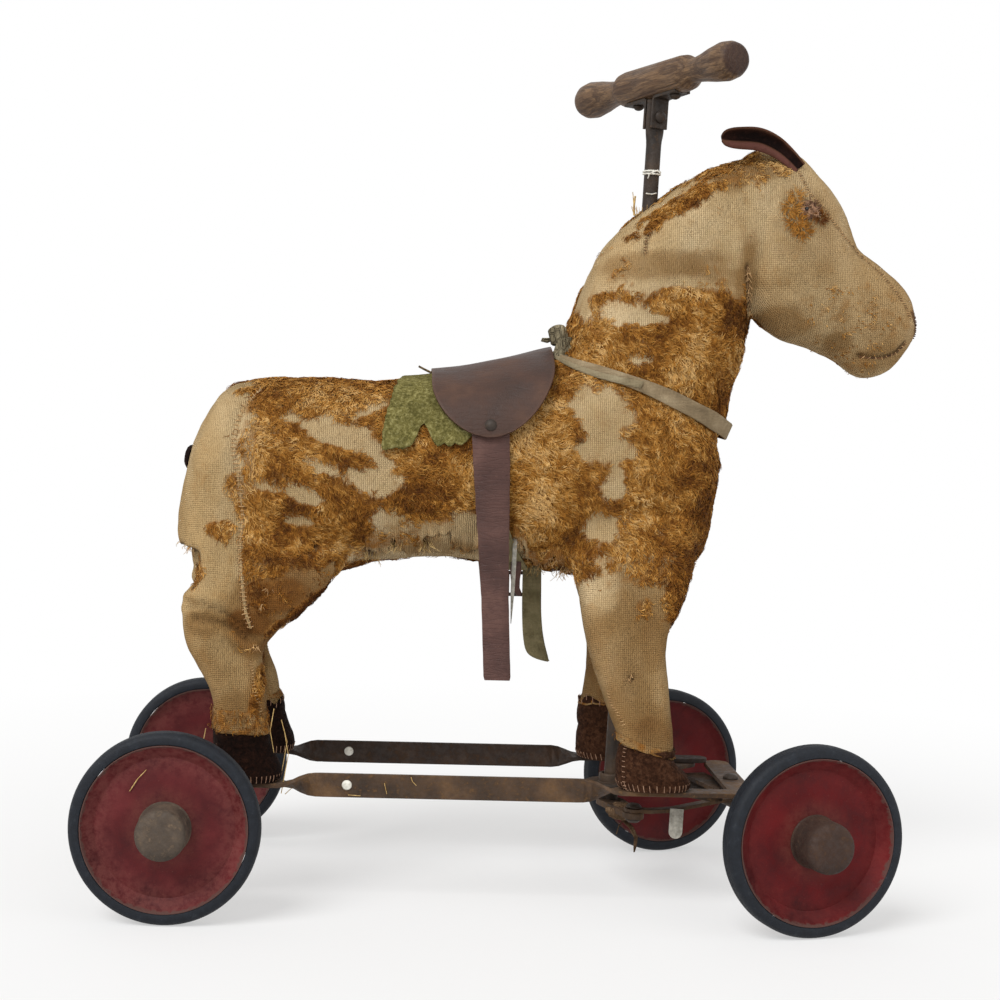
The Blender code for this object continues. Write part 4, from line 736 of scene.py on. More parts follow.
def finish_copy(node, look, ease=0.0004, slot=None):
    """A copy of a CAD node with its edges eased, which stands for the node."""
    work = bmesh.new()
    work.from_mesh(NODES[node].data)
    bmesh.ops.remove_doubles(work, verts=work.verts, dist=WELD_GAP)
    bmesh.ops.dissolve_limit(work, angle_limit=FLAT_ANGLE, verts=work.verts, edges=work.edges)
    mesh = bpy.data.meshes.new(node + "_eased")
    work.to_mesh(mesh)
    work.free()
    made = new_object(node + "_eased", mesh, look, NODES[node]["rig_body"], 40.0)
    if ease:
        bevel(made, ease, EASE_SHARP)
    dress(made, slot, node)


def frame_along(origin, way):
    """A matrix whose Z axis points along way."""
    made = Vector(way).to_track_quat("Z", "Y").to_matrix().to_4x4()
    made.translation = Vector(origin)
    return made


# Wheels. Sections are (radius, height along the axle), with the outer face up.

DISC_SECTION = (
    (0.0045, 0.0050), (0.0085, 0.0050), (0.0085, 0.0026), (0.0215, 0.0026), (0.0240, 0.0022),
    (0.0440, 0.0006), (0.0500, 0.0002), (0.0512, -0.0002), (0.0522, 0.0003), (0.0532, 0.0014),
    (0.0545, 0.0022), (0.0590, 0.0062), (0.0600, 0.0078), (0.0605, 0.0083), (0.0612, 0.0083),
    (0.0612, -0.0083), (0.0605, -0.0083), (0.0590, -0.0066), (0.0545, -0.0036), (0.0520, -0.0026),
    (0.0240, -0.0026), (0.0085, -0.0026), (0.0085, -0.0130), (0.0045, -0.0130),
)
HALF_TYRE_SECTION = (
    (0.0615, 0.0080), (0.0620, 0.0086), (0.0632, 0.0088), (0.0664, 0.0086), (0.0682, 0.0076),
    (0.0693, 0.0060), (0.0698, 0.0044), (0.0700, 0.0038), (0.0700, 0.0026), (0.0695, 0.0024),
    (0.0695, 0.0020), (0.0700, 0.0018), (0.0700, 0.0005), (0.0695, 0.0003),
)
CAP_SECTION = (
    (0.0, 0.0299), (0.0100, 0.0300), (0.0142, 0.0297), (0.0165, 0.0289), (0.0180, 0.0274), (0.0186, 0.0255),
    (0.0188, 0.0220), (0.0188, 0.0050), (0.0192, 0.0038), (0.0198, 0.0032), (0.0198, 0.0030),
    (0.0172, 0.0030), (0.0172, 0.0260), (0.0, 0.0284),
)
DISC_STEPS = 96
TYRE_STEPS = 112
CAP_STEPS = 56
AXLE_STEPS = 28
AXLE_RADIUS = 0.004
AXLE_END = 0.152
AXLE_END_RADIUS = 0.0034
AXLE_CHAMFER = 0.0008
COLLAR_RADIUS = 0.0068
COLLAR_WIDTH = 0.0026
COLLAR_EDGE = 0.0004
COLLAR_STARTS = (-0.1440, -0.1255, 0.1230, 0.1413)


def make_wheel(end, side):
    """A pressed disc, its rubber tyre and its hub cap."""
    wheel = f"{end}_wheel_{SIDE_NAMES[side]}"
    joint = JOINTS[wheel + "_spin"]
    matrix = frame_along(joint["pos_m"], Vector(joint["axis"]) * side)
    tyre = (*HALF_TYRE_SECTION, *mirrored(HALF_TYRE_SECTION))
    for part, section, steps, look, loop, smooth in (
        ("_disc", DISC_SECTION, DISC_STEPS, "red_enamel_" + end, True, 25.0),
        ("_tyre", tyre, TYRE_STEPS, "old_rubber", True, 32.0),
        ("_hub_cap", CAP_SECTION, CAP_STEPS, "rusty_cap_" + end, False, 32.0),
    ):
        lathe(wheel + part + "_finish", section, steps, look, wheel, matrix, loop, smooth, wheel + part)


def make_axle(node, body, centre, way):
    """A round bar with two collars at each end, which stand for washers and split pins."""
    profile = [(0.0, -AXLE_END), (AXLE_END_RADIUS, -AXLE_END), (AXLE_RADIUS, AXLE_CHAMFER - AXLE_END)]
    tail = mirrored(profile)
    face = COLLAR_RADIUS - COLLAR_EDGE
    for start in COLLAR_STARTS:
        end = start + COLLAR_WIDTH
        profile += [(AXLE_RADIUS, start), (face, start), (COLLAR_RADIUS, start + COLLAR_EDGE),
                    (COLLAR_RADIUS, end - COLLAR_EDGE), (face, end), (AXLE_RADIUS, end)]
    lathe(node + "_finish", profile + tail, AXLE_STEPS, "dark_steel", body, frame_along(centre, way),
          stands_for=node)


def make_wheels():
    """Four wheels on two axles; the front axle stands as the truck is turned."""
    for end in ("rear", "front"):
        for side in SIDES:
            make_wheel(end, side)
    king = JOINTS["truck_turn"]["pos_m"]
    make_axle("rear_axle", "frame", (REAR_AXLE_X, 0.0, WHEEL_RADIUS), ACROSS)
    front_centre = (king[0], king[1], WHEEL_RADIUS)
    make_axle("front_axle", "truck", front_centre, JOINTS["front_wheel_right_spin"]["axis"])


# Frame and steering

FRAME_NODES = ("side_bar_right", "side_bar_left", "front_cross_strip", "rear_axle_bracket", "brace_right",
               "brace_left", "truck_bolster", "crank_arm", "drag_link")
DARK_NODES = ("column_bearing", "king_pin", "crank_pin", "steering_column", "handle_bracket_right",
              "handle_bracket_left", "bracket_rivet", "handle_screw_right", "handle_screw_left",
              "girth_buckle")
COLUMN_LEAN = math.radians(2.5)
HANDLE_TURN = math.radians(29.0)
HANDLE_TILT = math.radians(2.8)
BAR_RIVETS = ((129.5, RIGHT), (126.4, LEFT))
BAR_RIVET_HEIGHT = 0.0910
BAR_OUT = 0.070
BAR_HALF_THICKNESS = 0.00175
BAR_RIVET_DOME = ((0.0, 0.0018), (0.0018, 0.0016), (0.0032, 0.0010), (0.0038, 0.0))
BAR_RIVET_STEPS = 20
HANDLE_STEPS = 56
THIN_EASE = 0.0003
TAB_EASE = 0.0002
HALF_HANDLE_SECTION = (
    (0.0143, 0.0), (0.0143, 0.0350), (0.0136, 0.0410), (0.0116, 0.0450), (0.0097, 0.0485), (0.0097, 0.0530),
    (0.0110, 0.0620), (0.0132, 0.0730), (0.0150, 0.0860), (0.0141, 0.0940), (0.0120, 0.0985),
    (0.0099, 0.1000), (0.0, 0.1000),
)


def make_frame():
    """The pieces that keep their CAD form with eased edges, and the rivets of the side bars."""
    for node in FRAME_NODES:
        # The far side bar gets the steel painted with shade.
        finish_copy(node, "far_frame_steel" if node == "side_bar_left" else "frame_steel")
    for node in DARK_NODES:
        finish_copy(node, "dark_steel", THIN_EASE)
    finish_copy("column_bush", "turned_wood", THIN_EASE)
    finish_copy("link_tab", "pale_tab", TAB_EASE)
    for place, side in BAR_RIVETS:
        for out, end, look in ((RIGHT, "_near", "white_thread"), (LEFT, "_far", "frame_steel")):
            foot = (along(place), side * BAR_OUT + out * BAR_HALF_THICKNESS, BAR_RIVET_HEIGHT)
            lathe("bar_rivet_" + SIDE_NAMES[side] + end, BAR_RIVET_DOME, BAR_RIVET_STEPS, look, "frame",
                  frame_along(foot, ACROSS * out))


def make_handle():
    """The turned wooden handle."""
    centre = NODES["handle"].matrix_world @ Vector(read_points(NODES["handle"].data).mean(axis=0))
    turn = Matrix.Rotation(COLUMN_LEAN, 3, "Y") @ Matrix.Rotation(HANDLE_TURN, 3, "Z")
    way = turn @ Matrix.Rotation(-HANDLE_TILT, 3, "X") @ ACROSS
    profile = mirrored(HALF_HANDLE_SECTION) + list(HALF_HANDLE_SECTION[1:])
    lathe("handle_finish", profile, HANDLE_STEPS, "turned_wood", "column", frame_along(centre, way),
          smooth=50.0, stands_for="handle")


# Horse. Form tables are in millimetres: x forward of the rear axle, z above the side bars.

# Rows of x, top, bottom and half width, from the rump to the chest.
TORSO = (
    (-9.0, 206.0, 180.0, 14.0), (-7.5, 223.0, 162.0, 32.0), (-3.0, 247.0, 147.0, 48.0),
    (8.0, 277.5, 140.0, 61.0), (23.0, 299.5, 137.0, 69.0), (45.0, 306.5, 139.0, 74.0),
    (90.0, 309.5, 147.0, 76.0), (142.0, 307.5, 164.0, 75.0), (190.0, 311.5, 168.0, 74.0),
    (235.0, 319.0, 166.0, 75.0), (280.0, 330.0, 161.0, 76.0), (320.0, 337.0, 155.0, 76.0),
    (360.0, 334.0, 153.0, 73.0), (387.0, 318.0, 160.0, 64.0), (404.0, 294.0, 175.0, 50.0),
    (411.0, 268.0, 202.0, 31.0), (416.0, 254.0, 234.0, 14.0),
)
# Rows of back (x, z), front (x, z) and half width, upwards for the neck and forwards for the head.
NECK = (
    ((306.0, 300.0), (398.0, 262.0), 40.0), ((294.0, 318.0), (420.0, 276.0), 58.0),
    ((289.0, 338.0), (425.0, 300.0), 61.0), ((298.0, 358.0), (433.0, 330.0), 60.0),
    ((306.0, 384.0), (438.5, 361.0), 56.0), ((325.0, 423.0), (446.0, 388.0), 53.0),
    ((357.0, 449.5), (458.0, 408.0), 50.0), ((385.0, 470.0), (466.0, 428.0), 47.0),
    ((411.0, 484.0), (474.0, 448.0), 42.0), ((431.0, 489.0), (478.0, 462.0), 30.0),
)
HEAD = (
    ((424.0, 474.0), (428.0, 420.0), 22.0), ((434.0, 491.0), (433.0, 384.0), 38.0),
    ((451.0, 499.0), (446.0, 359.0), 46.0), ((473.0, 495.0), (466.0, 346.0), 49.0),
    ((490.0, 479.5), (484.0, 342.0), 48.0), ((505.0, 460.0), (498.0, 336.0), 44.0),
    ((516.0, 436.0), (508.0, 331.0), 39.0), ((526.0, 419.0), (517.0, 324.0), 35.0),
    ((543.0, 407.0), (527.0, 318.0), 33.0), ((559.0, 392.0), (540.0, 319.0), 31.0),
    ((568.0, 377.0), (552.0, 325.0), 26.0), ((572.0, 362.0), (562.0, 336.0), 17.0),
    ((572.3, 355.0), (568.0, 346.0), 7.0),
)
# Rows of z, back x, front x, distance out, half width and the far leg's shift in x, downwards.
FRONT_LEG = (
    (206.0, 300.0, 396.0, 47.0, 25.0, 0.0), (170.0, 298.0, 392.0, 51.0, 27.0, 3.0),
    (148.0, 301.0, 386.0, 54.0, 27.0, 8.0), (113.0, 309.0, 373.0, 58.0, 26.0, 10.5),
    (74.0, 321.0, 375.0, 61.0, 25.0, 1.0), (38.0, 335.0, 378.0, 63.0, 22.0, -18.0),
    (24.0, 338.0, 377.0, 63.0, 19.5, -19.0),
)
HIND_LEG = (
    (206.0, 6.0, 108.0, 45.0, 27.0, 0.0), (170.0, 3.0, 124.0, 49.0, 29.0, -1.0),
    (148.0, 1.0, 110.0, 52.0, 28.0, -3.0), (130.0, -1.0, 94.0, 54.0, 27.0, -5.0),
    (115.0, 0.0, 76.0, 56.0, 26.0, -6.0), (100.0, 4.5, 64.0, 58.0, 24.0, -6.0),
    (84.0, 14.0, 64.0, 60.0, 23.0, -5.0), (66.0, 24.0, 67.0, 62.0, 22.0, -1.5),
    (38.0, 27.0, 69.0, 63.0, 20.5, 2.0), (24.0, 28.5, 69.0, 63.0, 19.0, 2.0),
)
# Rows of share of the hoof's height, back x, front x and half width, upwards.
FRONT_HOOF = ((0.0, 338.0, 389.0, 23.0), (0.12, 335.0, 392.0, 24.5), (0.42, 334.5, 389.0, 24.5),
              (0.72, 334.5, 382.0, 23.0), (0.93, 336.0, 379.0, 21.5), (1.0, 338.5, 377.0, 20.0))
HIND_HOOF = ((0.0, 28.0, 77.0, 22.5), (0.12, 25.5, 79.5, 24.0), (0.42, 25.0, 78.0, 24.0),
             (0.72, 25.5, 74.0, 22.5), (0.93, 27.0, 72.0, 21.0), (1.0, 29.5, 69.0, 19.5))
HOOF_HEIGHT = 0.029
HOOF_OUT = 0.063
HOOF_TOP = BAR_TOP + HOOF_HEIGHT
# For each boot: its look, its table, how far forward it stands, how far the felt rises above the hoof, how
# much its edge tilts, the cuff's height and the number of hairs on the cuff.
BOOTS = (
    ("front", RIGHT, "hoof_felt", FRONT_HOOF, 0.0, 0.0010, -0.0070, 0.0060, 90),
    ("front", LEFT, "hoof_felt", FRONT_HOOF, -0.019, 0.0180, 0.0020, 0.0050, 60),
    ("hind", RIGHT, "hoof_dark_felt", HIND_HOOF, 0.0, 0.0085, -0.0010, 0.0165, 900),
    ("hind", LEFT, "hoof_dark_felt", HIND_HOOF, 0.002, 0.0140, 0.0030, 0.0040, 90),
)
SQUARENESS = 2.3
SKIN_VOXEL = 0.0026
SKIN_INSET = 0.0006
FORM_RELAX = 3
JOINT_RELAX = 46
RELAX_STEP = 0.6

# Spots on the skin: x, height above the floor, two radii and turn, then an amount. Later rows lie over
# earlier ones. First the patches of pile (1) and bare cloth (0).
PATCHES = (
    (44, 390, 9, 2, 8, 0.8), (122, 356, 35, 11, -20, 0), (142, 378, 18, 3, 25, 0), (147, 328, 29, 16, 8, 0),
    (84, 329, 23, 8, -25, 0.05), (104, 332, 22, 6, -20, 0), (120, 342, 26, 5, -17, 1),
    (73, 339, 33, 9, -30, 1), (94, 299, 47, 26, 0, 1), (65, 318, 12, 5, -10, 0.2), (92, 312, 15, 7, -20, 0),
    (90, 292, 13, 5, -4, 0), (82, 371, 9, 4, 0, 0), (49, 345, 6, 34, 0, 0.4), (38, 319, 6, 9, 0, 0.6),
    (31, 282, 12, 8, 0, 0.75), (191, 335, 34, 22, -20, 1), (177, 304, 18, 14, 20, 0.85),
    (155, 292, 13, 10, 0, 0.05), (149, 280, 8, 4, 0, 0.6), (216, 287, 13, 16, 0, 0),
    (194, 278, 12, 8, 0, 0.1), (85, 238, 36, 17, 15, 0.26), (104, 233, 48, 4, 37, 1),
    (49, 197, 14, 8, -35, 0.2), (9, 250, 8, 13, 0, 0.5), (274, 341, 32, 66, 0, 1), (257, 273, 7, 10, 0, 0.1),
    (308, 382, 16, 15, 0, 0), (310, 350, 13, 11, 0, 0), (316, 293, 11, 9, 0, 0), (372, 517, 72, 46, 8, 0),
    (424, 520, 30, 46, 0, 0), (310, 480, 14, 24, -12, 0), (376, 541, 38, 7, 33, 0.9),
    (404, 560, 9, 6, 0, 0.7), (422, 566, 20, 6, 12, 0.3), (317, 466, 8, 6, 0, 0.85),
    (391, 440, 46, 30, -8, 1), (320, 426, 26, 17, 0, 1), (340, 456, 23, 10, -10, 0),
    (352, 419, 15, 5, -12, 0), (382, 394, 37, 37, 0, 0.95), (375, 332, 37, 46, 10, 0.95),
    (318, 379, 24, 16, -10, 0), (321, 352, 21, 11, 0, 0), (327, 326, 9, 14, 0, 0), (318, 291, 14, 10, 0, 0),
    (336, 206, 44, 59, 0, 0), (359, 260, 17, 11, 0, 0.5), (350, 230, 7, 9, 0, 0.55),
    (383, 250, 11, 32, -20, 1), (518, 459, 36, 30, 0, 0.2), (519, 420, 24, 10, 5, 0.2),
    (452, 571, 9, 5, -35, 0.8), (60, 160, 4, 25, -12, 0.8), (192, 263, 62, 9, 0, 0), (60, 243, 6, 22, 8, 0.6),
    (180, 287, 30, 7, 0, 0.3),
)
# Where the mohair is paler (above 0) or darker (below 0).
TONES = (
    (268, 349, 31, 45, 0, 0.28), (258, 316, 18, 18, 0, 0.15), (112, 297, 32, 22, 0, -0.18),
    (98, 384, 53, 10, 0, 0.12), (191, 335, 30, 20, 0, 0.05), (425, 454, 19, 17, 0, -0.38),
    (408, 396, 13, 56, 10, -0.15), (370, 460, 26, 11, 0, -0.12), (394, 331, 18, 42, 10, -0.12),
    (382, 248, 13, 32, -15, -0.25), (84, 263, 41, 8, 0, -0.2), (104, 233, 50, 6, 37, -0.3),
    (84, 236, 42, 22, 15, -0.35), (520, 450, 40, 40, 0, 0.12), (391, 436, 50, 34, -8, 0.12),
    (380, 380, 40, 40, 0, 0.08), (452, 571, 10, 6, -35, 0.3), (45, 290, 20, 60, 0, 0.1),
)
# Where the cloth is stained (above 0, dark brown above 1) or cleaner (below 0). The first row is painted
# shade: the band of shadow across the neck.
STAINS = (
    (357, 494, 43, 13, 3, 0.6), (411, 485, 30, 7, -5, 0.35), (458, 451, 22, 13, 5, 0.5),
    (428, 566, 23, 9, 8, 0.6), (536, 426, 23, 9, 10, 0.4), (431, 518, 7, 17, 0, 0.3),
    (71, 234, 26, 12, 10, 0.7), (194, 271, 29, 8, 0, 0.5), (16, 324, 12, 45, 0, 0.3),
    (360, 207, 11, 22, 0, 0.35), (343, 164, 17, 22, 0, 0.3), (360, 139, 17, 11, 0, 0.45),
    (317, 245, 15, 18, 0, -0.5), (16, 212, 15, 11, 20, 0.5), (41, 146, 15, 13, 0, 0.4),
    (500, 480, 80, 110, 0, 0.4), (548, 448, 42, 44, 0, 0.1), (350, 190, 55, 80, 0, 0.65),
    (354, 130, 40, 30, 0, 0.3), (40, 165, 45, 62, 0, 0.55), (82, 236, 44, 24, 15, 1.3),
    (56, 203, 22, 14, -30, 1.1), (518, 455, 20, 14, 10, 0.1), (535, 438, 16, 8, 0, 0.2),
    (416, 558, 13, 10, 0, 0.8), (505, 436, 10, 8, 0, 0.6), (430, 480, 8, 30, 0, 0.35),
    (60, 145, 10, 34, -10, 0.7), (22, 344, 30, 60, 0, -0.45), (125, 350, 60, 34, -20, -0.35),
    (372, 530, 70, 26, 6, -0.3), (318, 372, 26, 26, 0, -0.3),
)

# Drawn lines: x and height above the floor.
RUMP_SEAM = ((55, 391), (44, 377), (40, 366), (38, 352), (39, 340), (42, 324), (46, 295), (45, 275),
             (47, 246), (50, 224), (55, 208))
HIND_SEAM = ((55, 184), (58, 166), (62, 151), (66, 135))
FRONT_LEG_SEAM = ((326, 168), (328, 159), (334, 150), (339, 141))
HOCK_CREASES = (
    ((4, 226), (19, 226), (34, 222), (48, 213), (56, 203)),
    ((12, 216), (28, 215), (41, 211), (54, 203)),
    ((30, 214), (43, 207), (53, 200)),
)
HEAD_SEAM = ((469, 571), (472, 562), (477, 551), (487, 542), (494, 532), (506, 519), (524, 505), (539, 492),
             (550, 479), (558, 466), (562, 456))
MOUTH_LINE = ((559, 438), (551, 430), (540, 426), (530, 426), (521, 427))
NOSE_LINE = ((564, 463), (568, 452), (569, 440))
THROAT_TEAR = ((430, 495), (432, 482), (434, 471), (437, 460))
NECK_TEAR = ((355, 520), (351, 513), (350, 502))
BELLY_EDGE = ((139, 270), (147, 272), (154, 268), (161, 283), (165, 271), (172, 268), (180, 268), (183, 282),
              (204, 286), (209, 274), (221, 271), (229, 276))
GIRTH_EDGE = ((252, 285), (262, 277), (264, 267), (275, 259), (285, 269), (295, 259))
RUMP_NOTCH = ((-6, 272), (-3, 265), (2, 269), (7, 268), (5, 260))
RUMP_DENT = 8.5
# Holes: x, height above the floor and radius. On the near side their insides get painted shade.
SHADED_HOLES = (
    (102.3, 273.3, 5.0), (-4.0, 266.0, 5.0), (143.0, 265.0, 6.0), (162.0, 273.0, 5.0), (185.0, 274.0, 4.0),
    (272.0, 256.0, 6.0), (291.0, 254.0, 5.0), (342.4, 179.1, 3.0),
)


def through(values, share):
    """A smooth value through rows of numbers at a share from 0 to 1 (Catmull-Rom)."""
    values = np.asarray(values, float)
    spot = share * (len(values) - 1)
    index = min(int(spot), len(values) - 2)
    t = spot - index
    before = values[max(index - 1, 0)]
    first = values[index]
    second = values[index + 1]
    after = values[min(index + 2, len(values) - 1)]
    return 0.5 * (2 * first + (second - before) * t + (2 * before - 5 * first + 4 * second - after) * t * t
                  + (3 * first - before - 3 * second + after) * t**3)


def powered(value, power):
    """A value raised to a power, with its sign kept."""
    return np.sign(value) * np.abs(value) ** power


def oval_ring(back, front, half, centre_y, steps):
    """An oval ring between two opposite (x, z) points, squared like the CAD's."""
    angles = np.linspace(0.0, math.tau, steps, endpoint=False)
    reach = powered(np.cos(angles), 2.0 / SQUARENESS)
    out = powered(np.sin(angles), 2.0 / SQUARENESS)
    x, z = ((a + b) / 2 + (a - b) / 2 * reach for a, b in zip(back, front))
    return np.column_stack([x, centre_y + half * out, z])


def pair_rows(table):
    return [(along(a[0]), above(a[1]), along(b[0]), above(b[1]), half * MM, 0.0) for a, b, half in table]


def leg_rows(table, side):
    rows = []
    for z, back, front, out, half, far_shift in table:
        moved = far_shift * MM if side == LEFT else 0.0
        rows.append((along(back) + moved, above(z), along(front) + moved, above(z), half * MM,
                     side * out * MM))
    return rows


def line_distance(points, *lines):
    """Distance in mm from (x, z) points to the nearest of some drawn lines, all in mm."""
    best = np.full(len(points), 1e9)
    for line in lines:
        for first, second in zip(line[:-1], line[1:]):
            first = np.array(first)
            way = np.array(second) - first
            share = np.clip((points - first) @ way / (way @ way), 0.0, 1.0)
            best = np.minimum(best, np.linalg.norm(points - first - share[:, None] * way, axis=1))
    return best


def lumps(points, scale, offset=0.0):
    """Smooth noise from -1 to 1 at each point."""
    shift = Vector((offset, offset * 0.7, offset * 1.3))
    return np.array([noise.noise(Vector(point) * scale + shift) for point in points])


def wave_at(x, y, z):
    """Smooth noise from -1 to 1 at one place."""
    return noise.noise(Vector((x, y, z)))


def to_table(points):
    """Points in metres as (x, height) in millimetres from the rear axle and the floor."""
    return np.column_stack([(points[:, 0] - REAR_AXLE_X) / MM, points[:, 2] / MM])


def wandering(points):
    """The (x, height) table places, shifted on the far side so that its wear isn't a mirror image."""
    flat = to_table(points)
    far = points[:, 1] > 0.0
    wander = lumps(points, 28.0, 3.0)
    flat[far, 0] += 12.0 + 16.0 * wander[far]
    flat[far, 1] += -7.0 + 8.0 * wander[far]
    return flat


def spots(flat, table, ragged, soft):
    """For each oval of a table, how far inside it each (x, height) place is, from 0 to 1, and its amount."""
    for x, z, wide, tall, turn, amount in table:
        angle = math.radians(turn)
        dx = flat[:, 0] - x
        dz = flat[:, 1] - z
        near = (dx * math.cos(angle) + dz * math.sin(angle)) / wide
        up = (-dx * math.sin(angle) + dz * math.cos(angle)) / tall
        spread = np.sqrt(near**2 + up**2) + ragged
        yield 1.0 - smooth_step((spread - 1.0) / soft + 0.5), amount


def pile_amount(points):
    """How much mohair is left at each point, from 0 to 1."""
    flat = wandering(points)
    ragged = 0.40 * lumps(points, 75.0, 5.0) + 0.30 * lumps(points, 190.0, 9.0)
    ragged += 0.16 * lumps(points, 460.0, 2.0)
    on_body = smooth_step((flat[:, 0] - 42.0) / 10.0) * smooth_step((flat[:, 1] - 232.0) / 26.0)
    on_head = smooth_step((flat[:, 0] - 425.0 - 0.1 * (flat[:, 1] - 460.0)) / 14.0)
    on_head *= smooth_step((flat[:, 1] - 395.0) / 20.0)
    pile = 0.7 * on_body * (1.0 - on_head)
    for weight, amount in spots(flat, PATCHES, ragged, 0.55):
        pile = pile * (1.0 - weight) + amount * weight
    return np.clip(pile, 0.0, 1.0)


def added(points, table):
    """The sum of a table's soft spots at each point."""
    found = spots(wandering(points), table, 0.22 * lumps(points, 70.0, 15.0), 0.7)
    return sum((weight * amount for weight, amount in found), np.zeros(len(points)))


def union_skin():
    """All stuffed forms as one closed skin."""
    torso = [((x, top), (x, low), half) for x, top, low, half in TORSO]
    shapes = [(pair_rows(torso), 60, 56), (pair_rows(NECK), 40, 48), (pair_rows(HEAD), 44, 48)]
    for side in SIDES:
        shapes += [(leg_rows(FRONT_LEG, side), 36, 32), (leg_rows(HIND_LEG, side), 40, 32)]
    bundle = Bundle()
    for rows, rings, steps in shapes:
        ends = (through(rows, index / (rings - 1)) for index in range(rings))
        bundle.rings([oval_ring(end[0:2], end[2:4], end[4], end[5], steps) for end in ends], closed=True)
    mesh = bpy.data.meshes.new("skin_forms")
    mesh.from_pydata([tuple(point) for point in bundle.points], [], bundle.faces)
    outward(mesh)
    forms = bpy.data.objects.new("skin_forms", mesh)
    bpy.context.scene.collection.objects.link(forms)
    remesh = forms.modifiers.new("skin", "REMESH")
    remesh.mode = "VOXEL"
    remesh.voxel_size = SKIN_VOXEL
    graph = bpy.context.evaluated_depsgraph_get()
    skin = bpy.data.meshes.new_from_object(forms.evaluated_get(graph))
    bpy.data.objects.remove(forms, do_unlink=True)
    return skin


def relax(mesh, points, weights, turns):
    """Moves points towards the mean of their neighbours."""
    pairs = np.empty(len(mesh.edges) * 2, int)
    mesh.edges.foreach_get("vertices", pairs)
    first, second = pairs.reshape(-1, 2).T
    count = np.zeros(len(points))
    np.add.at(count, first, 1.0)
    np.add.at(count, second, 1.0)
    for _ in range(turns):
        total = np.zeros_like(points)
        np.add.at(total, first, points[second])
        np.add.at(total, second, points[first])
        points += (total / count[:, None] - points) * weights[:, None] * RELAX_STEP


def set_points(mesh, points):
    """Moves a mesh's points and gives their new normals."""
    mesh.vertices.foreach_set("co", points.ravel())
    mesh.update()
    normals = np.empty(len(points) * 3)
    mesh.vertices.foreach_get("normal", normals)
    return normals.reshape(-1, 3)


# Lines sunk into the skin: the groove's depth and width in mm, then the strength and the width of the shade
# painted into it.
SUNK_LINES = (
    ((RUMP_SEAM, HIND_SEAM), 1.2, 3.4, 0.2, 1.0), ((HEAD_SEAM,), 0.9, 2.2, 0.16, 1.2),
    ((MOUTH_LINE,), 1.6, 2.6, 0.75, 1.6), (HOCK_CREASES, 3.4, 2.8, 0.42, 1.5),
    ((THROAT_TEAR,), 1.8, 2.6, 0.6, 1.6), ((NECK_TEAR,), 1.4, 2.0, 0.55, 1.3),
)


def skin_relief(points, flat, pile):
    """How far each point of the skin is pushed out, in mm, and how much shade is painted on it: in grooves,
    in holes and under torn edges.
    """
    x, z = flat.T
    near = points[:, 1] < 0.0
    push = 2.0 * lumps(points, 24.0) + 0.8 * lumps(points, 62.0, 2.0) + 0.3 * lumps(points, 150.0, 4.0)
    push *= 1.0 - 0.35 * smooth_step((250.0 - z) / 40.0)
    push += 0.6 * pile * (1.0 + lumps(points, 210.0, 8.0))
    push += 1.6 * bell(line_distance(flat, *HOCK_CREASES) - 6.0, 3.2)
    dark = np.zeros(len(points))
    for lines, depth, width, shade_paint, shade_paint_width in SUNK_LINES:
        away = line_distance(flat, *lines)
        push -= depth * bell(away, width)
        # Shade painted into the groove.
        dark += shade_paint * bell(away, shade_paint_width)
    for hole_x, hole_z, size in SHADED_HOLES:
        away = np.hypot(x - hole_x, z - hole_z) / size
        push -= 2.0 * bell(away, 1.0)
        # Painted shade inside the hole, on the near side only.
        dark += 0.95 * bell(away, 0.8) * near
    push[near] -= 1.6 * bell(line_distance(flat[near], BELLY_EDGE), 5.0)
    below_tear = smooth_step((269.0 - z) / 4.0) * smooth_step((z - 232.0) / 18.0)
    push -= RUMP_DENT * below_tear * smooth_step((16.0 - x) / 12.0)
    # Painted shadow just below the torn belly and girth edges and the rump notch, on the near side only;
    # depth here is how strong it is.
    for line, depth in ((BELLY_EDGE, 0.75), (GIRTH_EDGE, 0.75), (RUMP_NOTCH, 0.7)):
        lower = tuple((spot[0] + 0.6, spot[1] - 2.4) for spot in line)
        dark[near] += depth * bell(line_distance(flat[near], lower), 1.7)
    return push, dark


